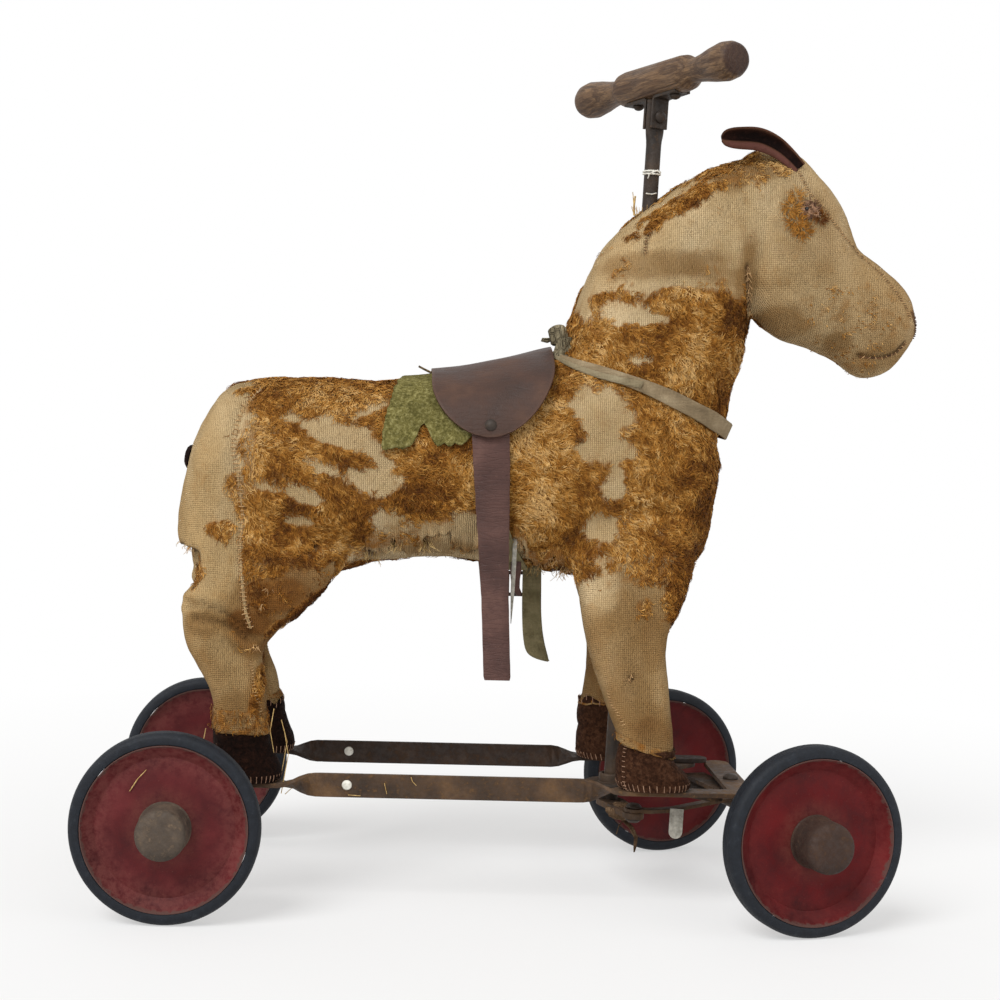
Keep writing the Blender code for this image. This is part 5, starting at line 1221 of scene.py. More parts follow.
def make_skin():
    """The horse's sewn skin, with its straw lumps, seams, creases and worn patches."""
    mesh = union_skin()
    points = read_points(mesh)
    flat = to_table(points)
    x, z = flat.T
    relax(mesh, points, np.full(len(points), 0.9), FORM_RELAX)
    joints = bell(z - 256.0, 20.0) * (np.abs(points[:, 1]) > 0.012) * smooth_step((400.0 - x) / 20.0)
    collar = bell(z - (428.0 - 0.43 * (x - 285.0)), 16.0) * smooth_step((x - 270.0) / 20.0)
    throat = bell(x - (430.0 + 0.12 * (460.0 - z)), 9.0) * smooth_step((z - 440.0) / 30.0) * 0.6
    relax(mesh, points, np.clip(joints + collar + throat, 0.0, 1.0), JOINT_RELAX)
    normals = set_points(mesh, points)
    pile = pile_amount(points)
    push, dark = skin_relief(points, flat, pile)
    stain = added(points, STAINS) + 0.34 * lumps(points, 17.0, 12.0) + 0.2 * lumps(points, 60.0, 13.0)
    hind = smooth_step((50.0 - x) / 14.0) + smooth_step((220.0 - z) / 30.0) * smooth_step((150.0 - x) / 20.0)
    set_points(mesh, points + normals * (push * MM - SKIN_INSET)[:, None])
    give(mesh, "pile", pile)
    give(mesh, "stain", np.clip(stain, -1.0, 2.0))
    give(mesh, "tint", np.clip(hind, 0.0, 1.0))
    # The painted shade of grooves, holes and torn edges, kept as dark.
    give(mesh, "dark", np.clip(dark, 0.0, 0.95))
    skin = dress(new_object("horse_skin", mesh, "worn_cloth", "frame"), "horse_cloth")
    legs = [f"{end}_leg_{SIDE_NAMES[side]}" for side in SIDES for end in ("front", "hind")]
    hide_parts("torso", "neck", "head", *legs)
    return skin


# Mohair

CRIMP = 0.0058
CRIMP_HEIGHT = 0.0012
LOCK_STATIONS = 5
LOCK_WIDTH = 0.00068
LOCK_RISE = 0.0013
LOCK_TRIES = 310000
MOHAIR_PIECES = ("mohair_rump", "mohair_flank", "mohair_belly", "mohair_shoulder", "mohair_neck",
                 "mohair_head")


def surface_samples(mesh, count, rng):
    """Seeded points on a mesh: place, normal and face corner weights."""
    mesh.calc_loop_triangles()
    corners = np.empty(len(mesh.loop_triangles) * 3, int)
    mesh.loop_triangles.foreach_get("vertices", corners)
    corners = corners.reshape(-1, 3)
    points = read_points(mesh)
    a, b, c = (points[corners[:, k]] for k in range(3))
    cross = np.cross(b - a, c - a)
    area = np.linalg.norm(cross, axis=1)
    chosen = rng.choice(len(corners), size=count, p=area / area.sum())
    first = np.sqrt(rng.random(count))
    second = rng.random(count)
    weights = np.column_stack([1.0 - first, first * (1.0 - second), first * second])
    place = np.einsum("nk,nkd->nd", weights, points[corners[chosen]])
    return place, unit(cross[chosen]), corners[chosen], weights


def unit(vectors):
    return vectors / np.maximum(np.linalg.norm(vectors, axis=1), 1e-12)[:, None]


def make_locks(name, roots, normals, flows, lengths, width, rise, wave, tones, rng):
    """Crimped tapering locks of hair, one ribbon each, that lie along the flow.

    The crimp's phase drifts slowly in space, so neighbouring locks bend together and catch the light.
    """
    count = len(roots)
    flows = unit(flows - normals * np.sum(flows * normals, axis=1)[:, None])
    sides = np.cross(normals, flows)
    tilt = (rng.random(count) - 0.5) * 1.5
    across = sides * np.cos(tilt)[:, None] + normals * np.sin(tilt)[:, None]
    start = 7.0 * lumps(roots, 62.0, 71.0) + 3.2 * lumps(roots, 170.0, 73.0) + 1.5 * (rng.random(count) - 0.5)
    points = np.empty((count, LOCK_STATIONS, 2, 3))
    painted_crest_light = np.empty((count, LOCK_STATIONS, 2))
    for index in range(LOCK_STATIONS):
        t = index / (LOCK_STATIONS - 1)
        phase = start + math.tau * lengths * t / CRIMP
        crest = np.sin(phase + 0.8)
        lift = rise * math.sin(math.pi * min(t * 0.8 + 0.1, 1.0)) + wave * 0.45 * crest * t
        sway = wave * (np.sin(phase) - np.sin(start))
        centre = roots + flows * (lengths * t)[:, None] + normals * lift[:, None] + sides * sway[:, None]
        half = width * 0.5 * (1.0 - 0.8 * t**1.6)
        points[:, index, 0] = centre - across * half
        points[:, index, 1] = centre + across * half
        # Painted light along the lock: highlight on the crests of the crimp, stronger towards the tip, and
        # shade in the troughs and at the roots.
        painted_crest_light[:, index, :] = (0.5 + 0.5 * crest)[:, None] * (0.45 + 0.55 * t)
    rows = np.arange(LOCK_STATIONS - 1)[None, :] * 2 + np.arange(count)[:, None] * LOCK_STATIONS * 2
    quads = np.stack([rows, rows + 1, rows + 3, rows + 2], axis=-1).reshape(-1, 4)
    mesh = bpy.data.meshes.new(name)
    mesh.vertices.add(count * LOCK_STATIONS * 2)
    mesh.vertices.foreach_set("co", points.ravel())
    mesh.loops.add(len(quads) * 4)
    mesh.loops.foreach_set("vertex_index", quads.ravel().astype(np.int32))
    mesh.polygons.add(len(quads))
    mesh.polygons.foreach_set("loop_start", np.arange(0, len(quads) * 4, 4, dtype=np.int32))
    mesh.update(calc_edges=True)
    mesh.validate()
    give(mesh, "tone", np.repeat(tones, LOCK_STATIONS * 2))
    # The painted light of the crimp, kept as the tip number.
    give(mesh, "tip", painted_crest_light.ravel())
    dress(new_object(name, mesh, "mohair", "frame"), "horse_cloth")


def make_mohair(skin):
    """Locks on the skin wherever pile is left, lying mostly down and back in eddies."""
    rng = np.random.default_rng(SEED)
    mesh = skin.data
    count = LOCK_TRIES
    place, normal, corners, weights = surface_samples(mesh, count, rng)
    carried = []
    # The skin's painted shade comes along with the pile.
    for name in ("pile", "dark"):
        values = np.empty(len(mesh.vertices), np.float32)
        mesh.attributes[name].data.foreach_get("value", values)
        carried.append(np.sum(values[corners] * weights, axis=1))
    locks = [place, normal, to_table(place), *carried]
    keep = (carried[0] > 0.12) & (locks[2][:, 1] > 122.0)
    place, normal, flat, here, shade_paint = locks = [values[keep] for values in locks]
    bitten = lumps(place, 120.0, 21.0) * 0.35
    keep = rng.random(len(place)) < smooth_step((here + bitten - 0.16) / 0.62)
    # Fewer locks where shade is painted on the skin, so that it shows.
    keep &= rng.random(len(place)) > 1.3 * shade_paint
    place, normal, flat, here, shade_paint = (values[keep] for values in locks)
    heading = lumps(place, 30.0, 31.0) * 2.2 + lumps(place, 95.0, 37.0) * 1.1
    heading += lumps(place, 260.0, 39.0) * 0.9 + rng.normal(0.0, 0.2, len(place)) - 1.25
    flows = np.column_stack([np.cos(heading), 0.25 * lumps(place, 50.0, 41.0), np.sin(heading)])
    lengths = (0.0042 + 0.0040 * rng.random(len(place))) * (0.55 + 0.5 * here)
    lengths *= 1.0 - 0.5 * smooth_step((flat[:, 0] - 470.0) / 20.0)
    lengths *= 1.0 - 0.3 * smooth_step((262.0 - flat[:, 1]) / 20.0)
    tones = 0.52 + 0.42 * lumps(place, 26.0, 51.0) + 0.36 * lumps(place, 90.0, 53.0)
    tones += 0.5 * lumps(place, 300.0, 57.0) + 0.30 * (rng.random(len(place)) - 0.5) + added(place, TONES)
    # Locks darker where shade is painted on the skin.
    tones = np.clip(tones + 0.16 * (1.0 - here) - 0.6 * shade_paint, 0.02, 1.0)
    roots = place - normal * 0.0004
    order = np.argsort(flat[:, 0], kind="stable")
    for name, part in zip(MOHAIR_PIECES, np.array_split(order, len(MOHAIR_PIECES))):
        make_locks(name, roots[part], normal[part], flows[part], lengths[part], LOCK_WIDTH, LOCK_RISE,
                   CRIMP_HEIGHT, tones[part], rng)


def make_tuft(name, centre, normal, radius, count, tone, seed):
    """A rosette of locks that point away from its centre."""
    rng = np.random.default_rng(seed)
    side = np.array(normal.orthogonal().normalized())
    normal = np.array(normal)
    other = np.cross(normal, side)
    angles = rng.random(count) * math.tau
    reach = radius * np.sqrt(rng.random(count))
    out = np.cos(angles)[:, None] * side + np.sin(angles)[:, None] * other
    flows = out + np.cross(normal, out) * (rng.random(count)[:, None] - 0.3) * 1.2
    tones = np.clip(tone + 0.3 * (rng.random(count) - 0.5), 0.0, 1.0)
    lengths = 0.0066 * (0.6 + 0.6 * rng.random(count))
    normals = np.repeat(normal[None, :], count, axis=0)
    make_locks(name, np.array(centre) + out * reach[:, None], normals, flows, lengths, 0.0007, 0.0016, 0.0007,
               tones, rng)


# Stitches, tears and eyes

# Stitches: length, thread radius, lean along the line, and how proud they stand where that differs.
RUMP_STITCH = (0.0056, 0.00036, 0.001, 0.0012)
LEG_STITCH = (0.0036, 0.0003, 0.001)
HEAD_STITCH = (0.0036, 0.00026, 0.002)
HEAD_BROWN_STITCH = (0.0036, 0.00026, 0.0016)
MOUTH_STITCH = (0.0030, 0.0003, 0.002)
NOSE_STITCH = (0.0062, 0.0005)
TEAR_STITCH = (0.0024, 0.0003, 0.002)
# How far apart the stitches stand, in mm.
RUMP_SPACING = 3.4
LEG_SPACING = 2.4
HEAD_SPACING = 2.1
MOUTH_SPACING = 4.0
NOSE_SPACING = 1.5
TEAR_SPACING = 1.2
RUMP_KNOT_OUT = 0.0027
WELT_RADIUS = 0.0013
LIP_RADIUS = 0.00055
FRAY_RADIUS = 0.00026
EDGE_FRAY_RADIUS = 0.00027
# Torn lines with the number and the length of their loose threads.
FRAYED_TEARS = ((THROAT_TEAR, 46), (NECK_TEAR, 22))
FRAYED_EDGES = ((BELLY_EDGE, 60, 0.006), (GIRTH_EDGE, 44, 0.0075), (RUMP_NOTCH, 26, 0.006))
# Torn flaps: name, line, height in mm and how proud they hang.
FLAPS = (("belly_flap", BELLY_EDGE, 15.0, 0.0038), ("girth_flap", GIRTH_EDGE, 12.0, 0.0030))
FLAP_THICKNESS = 0.0007
# Frayed places: x, height and the number of threads.
FRAYED_PLACES = ((58, 196, 10), (66, 240, 8), (42, 318, 8), (61, 226, 10), (297, 258, 26), (342, 181, 9),
                 (431, 518, 8), (404, 536, 6), (460, 440, 5))
# Tufts round an eye: x, height, radius in mm, number of locks and their tone.
EYE_TUFTS = ((462.0, 540.0, 4.4, 80, 0.60), (465.5, 529.5, 5.2, 110, 0.52), (471.0, 522.5, 5.2, 90, 0.46),
             (466.0, 549.0, 3.4, 30, 0.6), (485.0, 532.0, 3.0, 70, 0.12))
EYE_MIDDLE = (476.0, 538.0)
EYE_REACH = 8.4
EYE_DARK_REACH = 5.6
TANGLE_THREADS = 150
TANGLE_RADIUS = 0.00032
BEAD_PLACE = (473.3, 538.7)
BEAD_SECTION = ((0.0, 0.0022), (0.0009, 0.0019), (0.0016, 0.0010), (0.0018, -0.0006), (0.0, -0.002))


def cast(tree, x_mm, z_mm, side):
    """The skin's place and normal seen from one side at (x, height)."""
    return tree.ray_cast(Vector((along(x_mm), side * 0.4, z_mm * MM)), ACROSS * -side)[:2]


def walk(line, step_mm, rounding=round):
    """Even steps along a drawn line, each with the line's way there."""
    for first, second in zip(line[:-1], line[1:]):
        first = Vector(first)
        second = Vector(second)
        count = max(int(rounding((second - first).length / step_mm)), 1)
        way = (second - first).normalized()
        for index in range(count):
            yield first.lerp(second, index / count), way


def line_on_skin(tree, line, side, step_mm):
    """Places along a drawn line, thrown onto the skin, with normals and the line's way."""
    found = []
    for spot, way in walk(line, step_mm):
        place, normal = cast(tree, spot.x, spot.y, side)
        if place is not None:
            found.append((place, normal, Vector((way.x, 0.0, way.y))))
    return found


def cross_stitches(bundle, found, rng, long, radius, lean=0.0, proud=0.0006):
    """A short thread across the line at each place."""
    for place, normal, way in found:
        across = normal.cross(way).normalized()
        half = across * long * (0.42 + 0.16 * rng.random()) + way * lean * (rng.random() - 0.3)
        drift = way * radius * 2.0 * (rng.random() - 0.5)
        sunk = normal * 0.0006
        lifted = place + normal * proud
        path = [place - half - sunk, lifted - half * 0.5, lifted + half * 0.5 + drift, place + half - sunk]
        bundle.tube(path, radius, 5, tone=rng.random())


def loose_threads(bundle, found, rng, count, long, radius, droop=1.0):
    """Threads that hang and curl from places on the skin."""
    for _ in range(count):
        place, normal, way = found[int(rng.random() * len(found))]
        length = long * (0.35 + 0.75 * rng.random())
        fall = Vector((rng.normal(0.0, 0.55), rng.normal(0.0, 0.3), -droop)).normalized() * length
        middle = place + normal * length * (0.15 + 0.25 * rng.random()) + fall * 0.45
        end = place + normal * length * 0.2 * rng.random() + fall
        bundle.tube([place - normal * 0.0008, middle, end], radius, 4, 0.5, tone=rng.random())


def sew_side(tree, side, pale, brown, welt, rng):
    """The stitched seams, the mouth and the nose of one side."""
    rump = line_on_skin(tree, RUMP_SEAM, side, RUMP_SPACING)
    cross_stitches(pale, rump, rng, *RUMP_STITCH)
    for place, normal, way in rump:
        across = normal.cross(way).normalized()
        for end in (-RUMP_KNOT_OUT, RUMP_KNOT_OUT):
            spot = place + across * end
            brown.tube([spot - normal * 0.001, spot + normal * 0.0003], 0.0004, 5)
    ridge = [place - normal * 0.0005 for place, normal, way in line_on_skin(tree, RUMP_SEAM, side, 1.6)]
    welt.tube(ridge, WELT_RADIUS, 8)
    for seam in (HIND_SEAM, FRONT_LEG_SEAM):
        cross_stitches(pale, line_on_skin(tree, seam, side, LEG_SPACING), rng, *LEG_STITCH)
    head = line_on_skin(tree, HEAD_SEAM, side, HEAD_SPACING)
    cross_stitches(brown, head[::3], rng, *HEAD_BROWN_STITCH)
    cross_stitches(pale, head, rng, *HEAD_STITCH)
    cross_stitches(pale, line_on_skin(tree, MOUTH_LINE, side, MOUTH_SPACING), rng, *MOUTH_STITCH)
    lips = [place + normal * 0.0001 for place, normal, way in line_on_skin(tree, MOUTH_LINE, side, 1.5)]
    brown.tube(lips, LIP_RADIUS, 6)
    cross_stitches(brown, line_on_skin(tree, NOSE_LINE, side, NOSE_SPACING), rng, *NOSE_STITCH)


def make_stitches(tree):
    """Seams of the rump, head and legs, the mouth, the nose and the frayed tears."""
    rng = np.random.default_rng(SEED + 1)
    pale = Bundle()
    brown = Bundle()
    welt = Bundle()
    for side in SIDES:
        sew_side(tree, side, pale, brown, welt, rng)
    for line, count in FRAYED_TEARS:
        found = line_on_skin(tree, line, RIGHT, TEAR_SPACING)
        cross_stitches(brown, found[::2], rng, *TEAR_STITCH)
        loose_threads(pale, found, rng, count, 0.0062, FRAY_RADIUS)
    for line, count, long in FRAYED_EDGES:
        found = line_on_skin(tree, line, RIGHT, TEAR_SPACING)
        loose_threads(pale, found, rng, count, long, EDGE_FRAY_RADIUS)
    for x, z, count in FRAYED_PLACES:
        place, normal = cast(tree, x, z, RIGHT)
        if place is None:
            continue
        shifts = [Vector((rng.normal(0, 0.002), 0, rng.normal(0, 0.002))) for _ in range(6)]
        near = [(place + shift, normal, AHEAD) for shift in shifts]
        loose_threads(pale, near, rng, count, 0.0055, FRAY_RADIUS, 0.5)
    welt.build("rump_welt", "worn_cloth", slot="horse_cloth")
    pale.build("seam_stitches_pale", "stitch_thread", slot="horse_cloth")
    brown.build("seam_stitches_brown", "brown_thread", slot="horse_cloth")


def make_flap(tree, name, line, tall, proud):
    """Torn cloth that hangs a little proud of the skin, down to a ragged edge."""
    rows = 8
    rings = []
    for spot, _ in walk(line, 1.3, math.floor):
        ring = []
        for share in (row / rows for row in range(rows + 1)):
            height = spot.y + tall * (1.0 - share) + 0.8 * share * wave_at(spot.x * 0.5, spot.y * 0.3, 3.0)
            place, normal = cast(tree, spot.x, height, RIGHT)
            if place is None:
                break
            swell = 1.0 + 0.4 * math.sin(spot.x * 0.7)
            ring.append(place + normal * (-0.0006 + proud * share**1.4 * swell))
        if len(ring) == rows + 1:
            rings.append(ring)
    flap = sheet_of(rings).build(name, "worn_cloth", smooth=80.0, slot="horse_cloth",
                                thickness=FLAP_THICKNESS)
    points = read_points(flap.data)
    give(flap.data, "pile", np.clip(pile_amount(points) - 0.15, 0.0, 1.0))
    give(flap.data, "stain", np.clip(0.3 + added(points, STAINS), -1.0, 1.2))


def make_eyes(tree):
    """A dark bead sunk in tangled thread, with worn hair swirling behind and below it."""
    for side in SIDES:
        rng = np.random.default_rng(SEED + 5 + side)
        label = SIDE_NAMES[side]
        for index, (x, z, radius, count, tone) in enumerate(EYE_TUFTS):
            place, normal = cast(tree, x, z, side)
            seed = SEED + 20 + index + side
            make_tuft(f"eye_tuft_{label}_{index}", place, normal, radius * MM, count, tone, seed)
        tangle = Bundle()
        dark = Bundle()
        for index in range(TANGLE_THREADS):
            angle = rng.random() * math.tau
            reach = EYE_REACH * math.sqrt(rng.random())
            place, normal = cast(tree, EYE_MIDDLE[0] + reach * math.cos(angle),
                                 EYE_MIDDLE[1] + 0.85 * reach * math.sin(angle), side)
            way = around(AHEAD, UP, rng.random() * math.tau) * (0.0018 + 0.0024 * rng.random())
            into = dark if reach > EYE_DARK_REACH and math.cos(angle) > -0.2 and index % 2 else tangle
            lift = normal * (0.0006 + 0.0012 * rng.random())
            end = place + way * 1.3 - normal * 0.0004
            path = [place - way, place + lift, place + way * 0.8 + lift * 0.6, end]
            into.tube(path, TANGLE_RADIUS, 5, 0.7, rng.random())
        tangle.build("eye_tangle_" + label, "tangled_thread", slot="horse_cloth")
        dark.build("eye_stitches_" + label, "brown_thread", slot="horse_cloth")
        place, normal = cast(tree, *BEAD_PLACE, side)
        matrix = frame_along(place + normal * 0.0006, normal)
        lathe("eye_" + label, BEAD_SECTION, 24, "dark_bead", "frame", matrix)


# Ears and boots

# Rows along an ear: x, z above the bars, distance out and half width, from its root to its tip.
EAR_LINES = {
    RIGHT: ((470.0, 479.0, 34.0, 5.2), (461.5, 487.5, 34.5, 6.0), (450.0, 496.0, 35.0, 7.4),
            (437.0, 501.0, 35.5, 8.2), (423.0, 501.5, 36.0, 7.8), (415.5, 501.5, 36.0, 6.8),
            (411.0, 501.2, 36.0, 4.8), (408.8, 501.0, 36.0, 1.5)),
    LEFT: ((470.0, 479.0, 34.0, 5.2), (463.0, 483.0, 38.0, 6.0), (454.0, 482.0, 44.0, 7.4),
           (444.0, 476.0, 51.0, 8.2), (434.0, 467.0, 58.0, 7.8), (429.0, 461.5, 61.5, 6.8),
           (426.0, 458.0, 63.2, 4.8), (424.6, 456.6, 64.2, 1.5)),
}
# Rows across an ear from its upper rim: rise and depth as shares of the half width, and tone; the low tones
# inside the cup paint shade over the dark leather.
EAR_SECTION = (
    (1.02, 0.22, 0.62), (0.98, -0.02, 0.45), (0.80, -0.30, 0.12), (0.45, -0.50, 0.0), (0.05, -0.52, 0.0),
    (-0.20, -0.36, 0.0), (-0.34, -0.04, 0.25), (-0.48, 0.20, 0.85), (-0.72, 0.30, 1.0), (-0.95, 0.14, 0.9),
    (-1.0, -0.08, 0.5),
)

EAR_ROWS = 36
EAR_COLUMNS = 24
EAR_THICKNESS = 0.0016
CUFF_THICKNESS = 0.0008
BOOT_RINGS = 15
BOOT_STEPS = 40
STITCH_RADIUS = 0.0003


def make_ears():
    """Leather leaves cupped outwards and laid back from the poll, each with a rolled lower lip."""
    for side in SIDES:
        line = EAR_LINES[side]
        rings = []
        tones = []
        for share in (row / EAR_ROWS for row in range(EAR_ROWS + 1)):
            x, z, out_mm, half = through(line, share)
            step = through(line, min(share + 0.02, 1.0)) - through(line, max(share - 0.02, 0.0))
            way = Vector((step[0], side * step[2], step[1])).normalized()
            out = ACROSS * side
            out = (out - way * out.dot(way)).normalized()
            up = out.cross(way).normalized()
            if up.z < 0.0:
                up = -up
            centre = Vector((along(x), side * out_mm * MM, above(z)))
            cup = 0.55 + 0.45 * min(share * 3.0, 1.0) - 0.35 * max(share - 0.8, 0.0) * 5.0
            fade = 1.0 - 0.55 * max(share - 0.7, 0.0) / 0.3
            least = 0.2 * max(share - 0.6, 0.0) / 0.4
            ring = []
            for column in range(EAR_COLUMNS + 1):
                rise, depth, tone = through(EAR_SECTION, column / EAR_COLUMNS)
                ring.append(centre + (up * rise + out * depth * cup) * max(half, 1.2) * MM)
                # Low tones inside the cup paint shade there.
                tones.append(max(tone * fade, least))
            rings.append(ring)
        bundle = sheet_of(rings)
        bundle.tones = tones
        ear = bundle.build("ear_finish_" + SIDE_NAMES[side], "ear_leather", slot="ear_leather",
                           stands_for="ear_" + SIDE_NAMES[side], thickness=EAR_THICKNESS)
        ease = ear.modifiers.new("ease", "SUBSURF")
        ease.levels = 1
        ease.render_levels = 1


def make_skirt(tree, name, middle, low, slope, tall, lifts, look, slot):
    """A ragged band of cloth round a leg; slope tilts its lower edge forwards."""
    rows = 7
    steps = 48
    outs = [around(AHEAD, ACROSS, math.tau * index / steps) for index in range(steps)]
    rings = []
    for share in (row / rows for row in range(rows + 1)):
        ring = []
        for index, out in enumerate(outs):
            wave = wave_at(out.x * 2.2, out.y * 2.2, middle.x * 30.0)
            ragged = wave_at(out.x * 6.0, out.y * 6.0, middle.x * 50.0)
            height = low + slope * out.x + tall * (1.0 + 0.3 * wave) * (1.0 - share) - 0.0016 * ragged * share
            foot = Vector((middle.x, middle.y, height))
            place = tree.ray_cast(foot + out * 0.07, -out)[0]
            if place is None:
                place = Vector((rings[-1][index].x, rings[-1][index].y, height))
            lift = lifts[0] + (lifts[1] - lifts[0]) * share + 0.0005 * ragged
            ring.append(place + out * max(lift, 0.0001))
        rings.append(ring)
    bundle = Bundle()
    bundle.rings(rings[::-1], closed=True, caps=False)
    return bundle.build(name, look, smooth=80.0, slot=slot, thickness=CUFF_THICKNESS), rings, outs


def make_cuff(tree, name, middle, low, slope, tall, hairs, rng):
    """The torn end of a leg's cloth over the top of its boot, with the short hair that is left on it."""
    skirt, rings, outs = make_skirt(tree, name + "_skirt", middle, low, slope, tall, (0.0002, 0.0019),
                                    "worn_cloth", "horse_cloth")
    points = read_points(skirt.data)
    give(skirt.data, "pile", np.clip(0.35 + 0.7 * lumps(points, 140.0, 5.0), 0.0, 1.0))
    give(skirt.data, "stain", np.clip(0.9 + 0.8 * lumps(points, 90.0, 25.0), 0.0, 2.0))
    rows = rng.integers(0, len(rings) - 1, hairs)
    chosen = rng.integers(0, len(outs), hairs)
    roots = np.array([rings[row][index] for row, index in zip(rows, chosen)])
    roots += rng.normal(0.0, 0.0012, (hairs, 3)) * np.array([1.0, 1.0, 0.8])
    normals = np.array([outs[index] for index in chosen])
    flows = np.column_stack([rng.normal(0.0, 0.7, hairs), rng.normal(0.0, 0.7, hairs), np.full(hairs, -0.8)])
    tones = np.clip(0.40 + 0.16 * rng.normal(0.0, 1.0, hairs) + 0.3 * lumps(roots, 160.0, 7.0), 0.05, 0.9)
    lengths = 0.0018 + 0.0022 * rng.random(hairs)
    make_locks(name + "_fluff", roots, normals, flows, lengths, 0.0006, 0.0009, 0.0007, tones, rng)


def boot_grid(table, side, shift, rise, slope):
    """The points of a boot, ring by ring upwards, and its middle."""
    rings = []
    for row in range(BOOT_RINGS):
        share, back, front, half = through(table, row / (BOOT_RINGS - 1))
        height = BAR_TOP + 0.0003 + min(max(share, 0.0), 1.0) * (HOOF_HEIGHT - 0.0006)
        rings.append(oval_ring((along(back) + shift, height), (along(front) + shift, height), half * MM,
                               side * HOOF_OUT, BOOT_STEPS))
    points = np.concatenate(rings)
    bump = lumps(points, 95.0, 61.0 + side) * 0.0009 + lumps(points, 240.0, 66.0) * 0.0004
    middle = Vector((points[:, 0].mean(), side * HOOF_OUT, 0.0))
    away = unit((points - np.array(middle)) * np.array([1.0, 1.0, 0.0]))
    tilt = (points[:, 2] - BAR_TOP) / HOOF_HEIGHT
    points = points + away * (bump - 0.0004)[:, None]
    points[:, 2] += tilt**2 * (min(rise, 0.002) + slope * away[:, 0])
    return points.reshape(BOOT_RINGS, BOOT_STEPS, 3), middle


def stitch_boot(stitches, grid, middle, side, rng):
    """Blanket stitches round the sole and a seam up the outer side of the toe."""
    def outwards(place):
        return Vector((place.x - middle.x, place.y - middle.y, 0.0)).normalized()

    for foot, up in zip(grid[1], grid[4]):
        foot = Vector(foot)
        up = Vector(up)
        out = outwards(foot) * 0.0005
        path = [foot + out, foot.lerp(up, 0.5) + out * 1.4, foot.lerp(up, 0.85) + out]
        stitches.tube(path, STITCH_RADIUS, 5, tone=rng.random())
    outer = (grid[2, :, 1] * side > HOOF_OUT) * 1.0
    from_heel = grid[2, :, 0] - grid[2, :, 0].min()
    seam = int(np.argmin(np.abs(from_heel - 0.006) + 1.0 - outer))
    for row in range(1, BOOT_RINGS - 1):
        place = Vector(grid[row][seam])
        out = outwards(place)
        way = out.cross(UP) * 0.0016
        path = [place - way + out * 0.0004, place + out * 0.0010, place + way + out * 0.0004]
        stitches.tube(path, STITCH_RADIUS, 5, tone=rng.random())


def make_hooves(tree):
    """Brown felt boots with blanket stitches; the cloth of each leg ends raggedly over its boot."""
    rng = np.random.default_rng(SEED + 3)
    stitches = Bundle()
    for kind, side, look, table, shift, rise, slope, tall, hairs in BOOTS:
        name = f"{kind}_hoof_{SIDE_NAMES[side]}"
        grid, middle = boot_grid(table, side, shift, rise, slope)
        bundle = Bundle()
        bundle.rings(grid, closed=True)
        boot = bundle.build(name + "_felt", look, smooth=60.0, slot="hoof_felt", stands_for=name)
        stitch_boot(stitches, grid, middle, side, rng)
        ankle = Vector(((along(table[-1][1]) + along(table[-1][2])) / 2 + shift, side * HOOF_OUT, 0.0))
        _, edge, outs = make_skirt(tree, name + "_collar", ankle, HOOF_TOP - 0.0035, 0.0, 0.0045 + rise,
                                   (0.0014, 0.0020), look, "hoof_felt")
        if side == LEFT:
            for place, out in zip(edge[0][::2], outs[::2]):
                stitches.tube([place + out * 0.0008 - UP * 0.0034, place + out * 0.0012,
                               place + out * 0.0008 + UP * 0.0010], 0.00036, 5, tone=1.0)
        make_cuff(tree, name + "_cuff", ankle, HOOF_TOP + rise, slope, tall, hairs, rng)
    stitches.build("hoof_stitches", "hoof_thread", slot="hoof_felt")


# Tack. Angles run round the torso from its spine.

SADDLE_MIDDLE = 235.0
SADDLE_HALF_LENGTH = 47.0
SADDLE_STRAIGHT = math.radians(36.0)
SADDLE_END = math.radians(76.5)
SADDLE_RISE = math.radians(25.0)
SADDLE_LIFT = 0.0060
SADDLE_FLAP_LIFT = 0.0098
SADDLE_ARC_MM = 75.0
SADDLE_ROWS = 84
SADDLE_COLUMNS = 36
SADDLE_THICKNESS = 0.0026
SADDLE_RIVET_STEPS = 32
RIM_WEAR_MM = 2.4
SADDLE_RIVET_SECTION = (
    (0.0, 0.0079), (0.0018, 0.0077), (0.0034, 0.0070), (0.0045, 0.0059), (0.0046, 0.0054), (0.0018, 0.0054),
    (0.0018, -0.0012), (0.0, -0.0012),
)
FELT_FRONT = 266.0
FELT_BACK = 166.5
FELT_SWEEP = 15.5
FELT_ROWS = 110
FELT_COLUMNS = 44
FELT_END = math.radians(84.4)
FELT_LIFT = 0.0026
FELT_THICKNESS = 0.0020
# The corner of the felt behind the saddle: x, height above the floor and width.
FELT_CORNER = ((192.0, 406.3, 15.0), (187.0, 408.0, 12.0), (182.0, 410.3, 7.0), (177.5, 412.6, 2.0))
STIRRUP_ARC = (math.radians(63.0), math.radians(86.0))
STIRRUP_LIFT = 0.0059
STIRRUP_TOP_WIDTH = 0.0285
STIRRUP_END_WIDTH = 0.0205
STIRRUP_LEAN = {RIGHT: 0.047, LEFT: 0.088}
STIRRUP_BOTTOM = BAR_TOP + 0.0825
STIRRUP_THICKNESS = 0.0020
STIRRUP_BENT = 14
STIRRUP_HANGING = 60
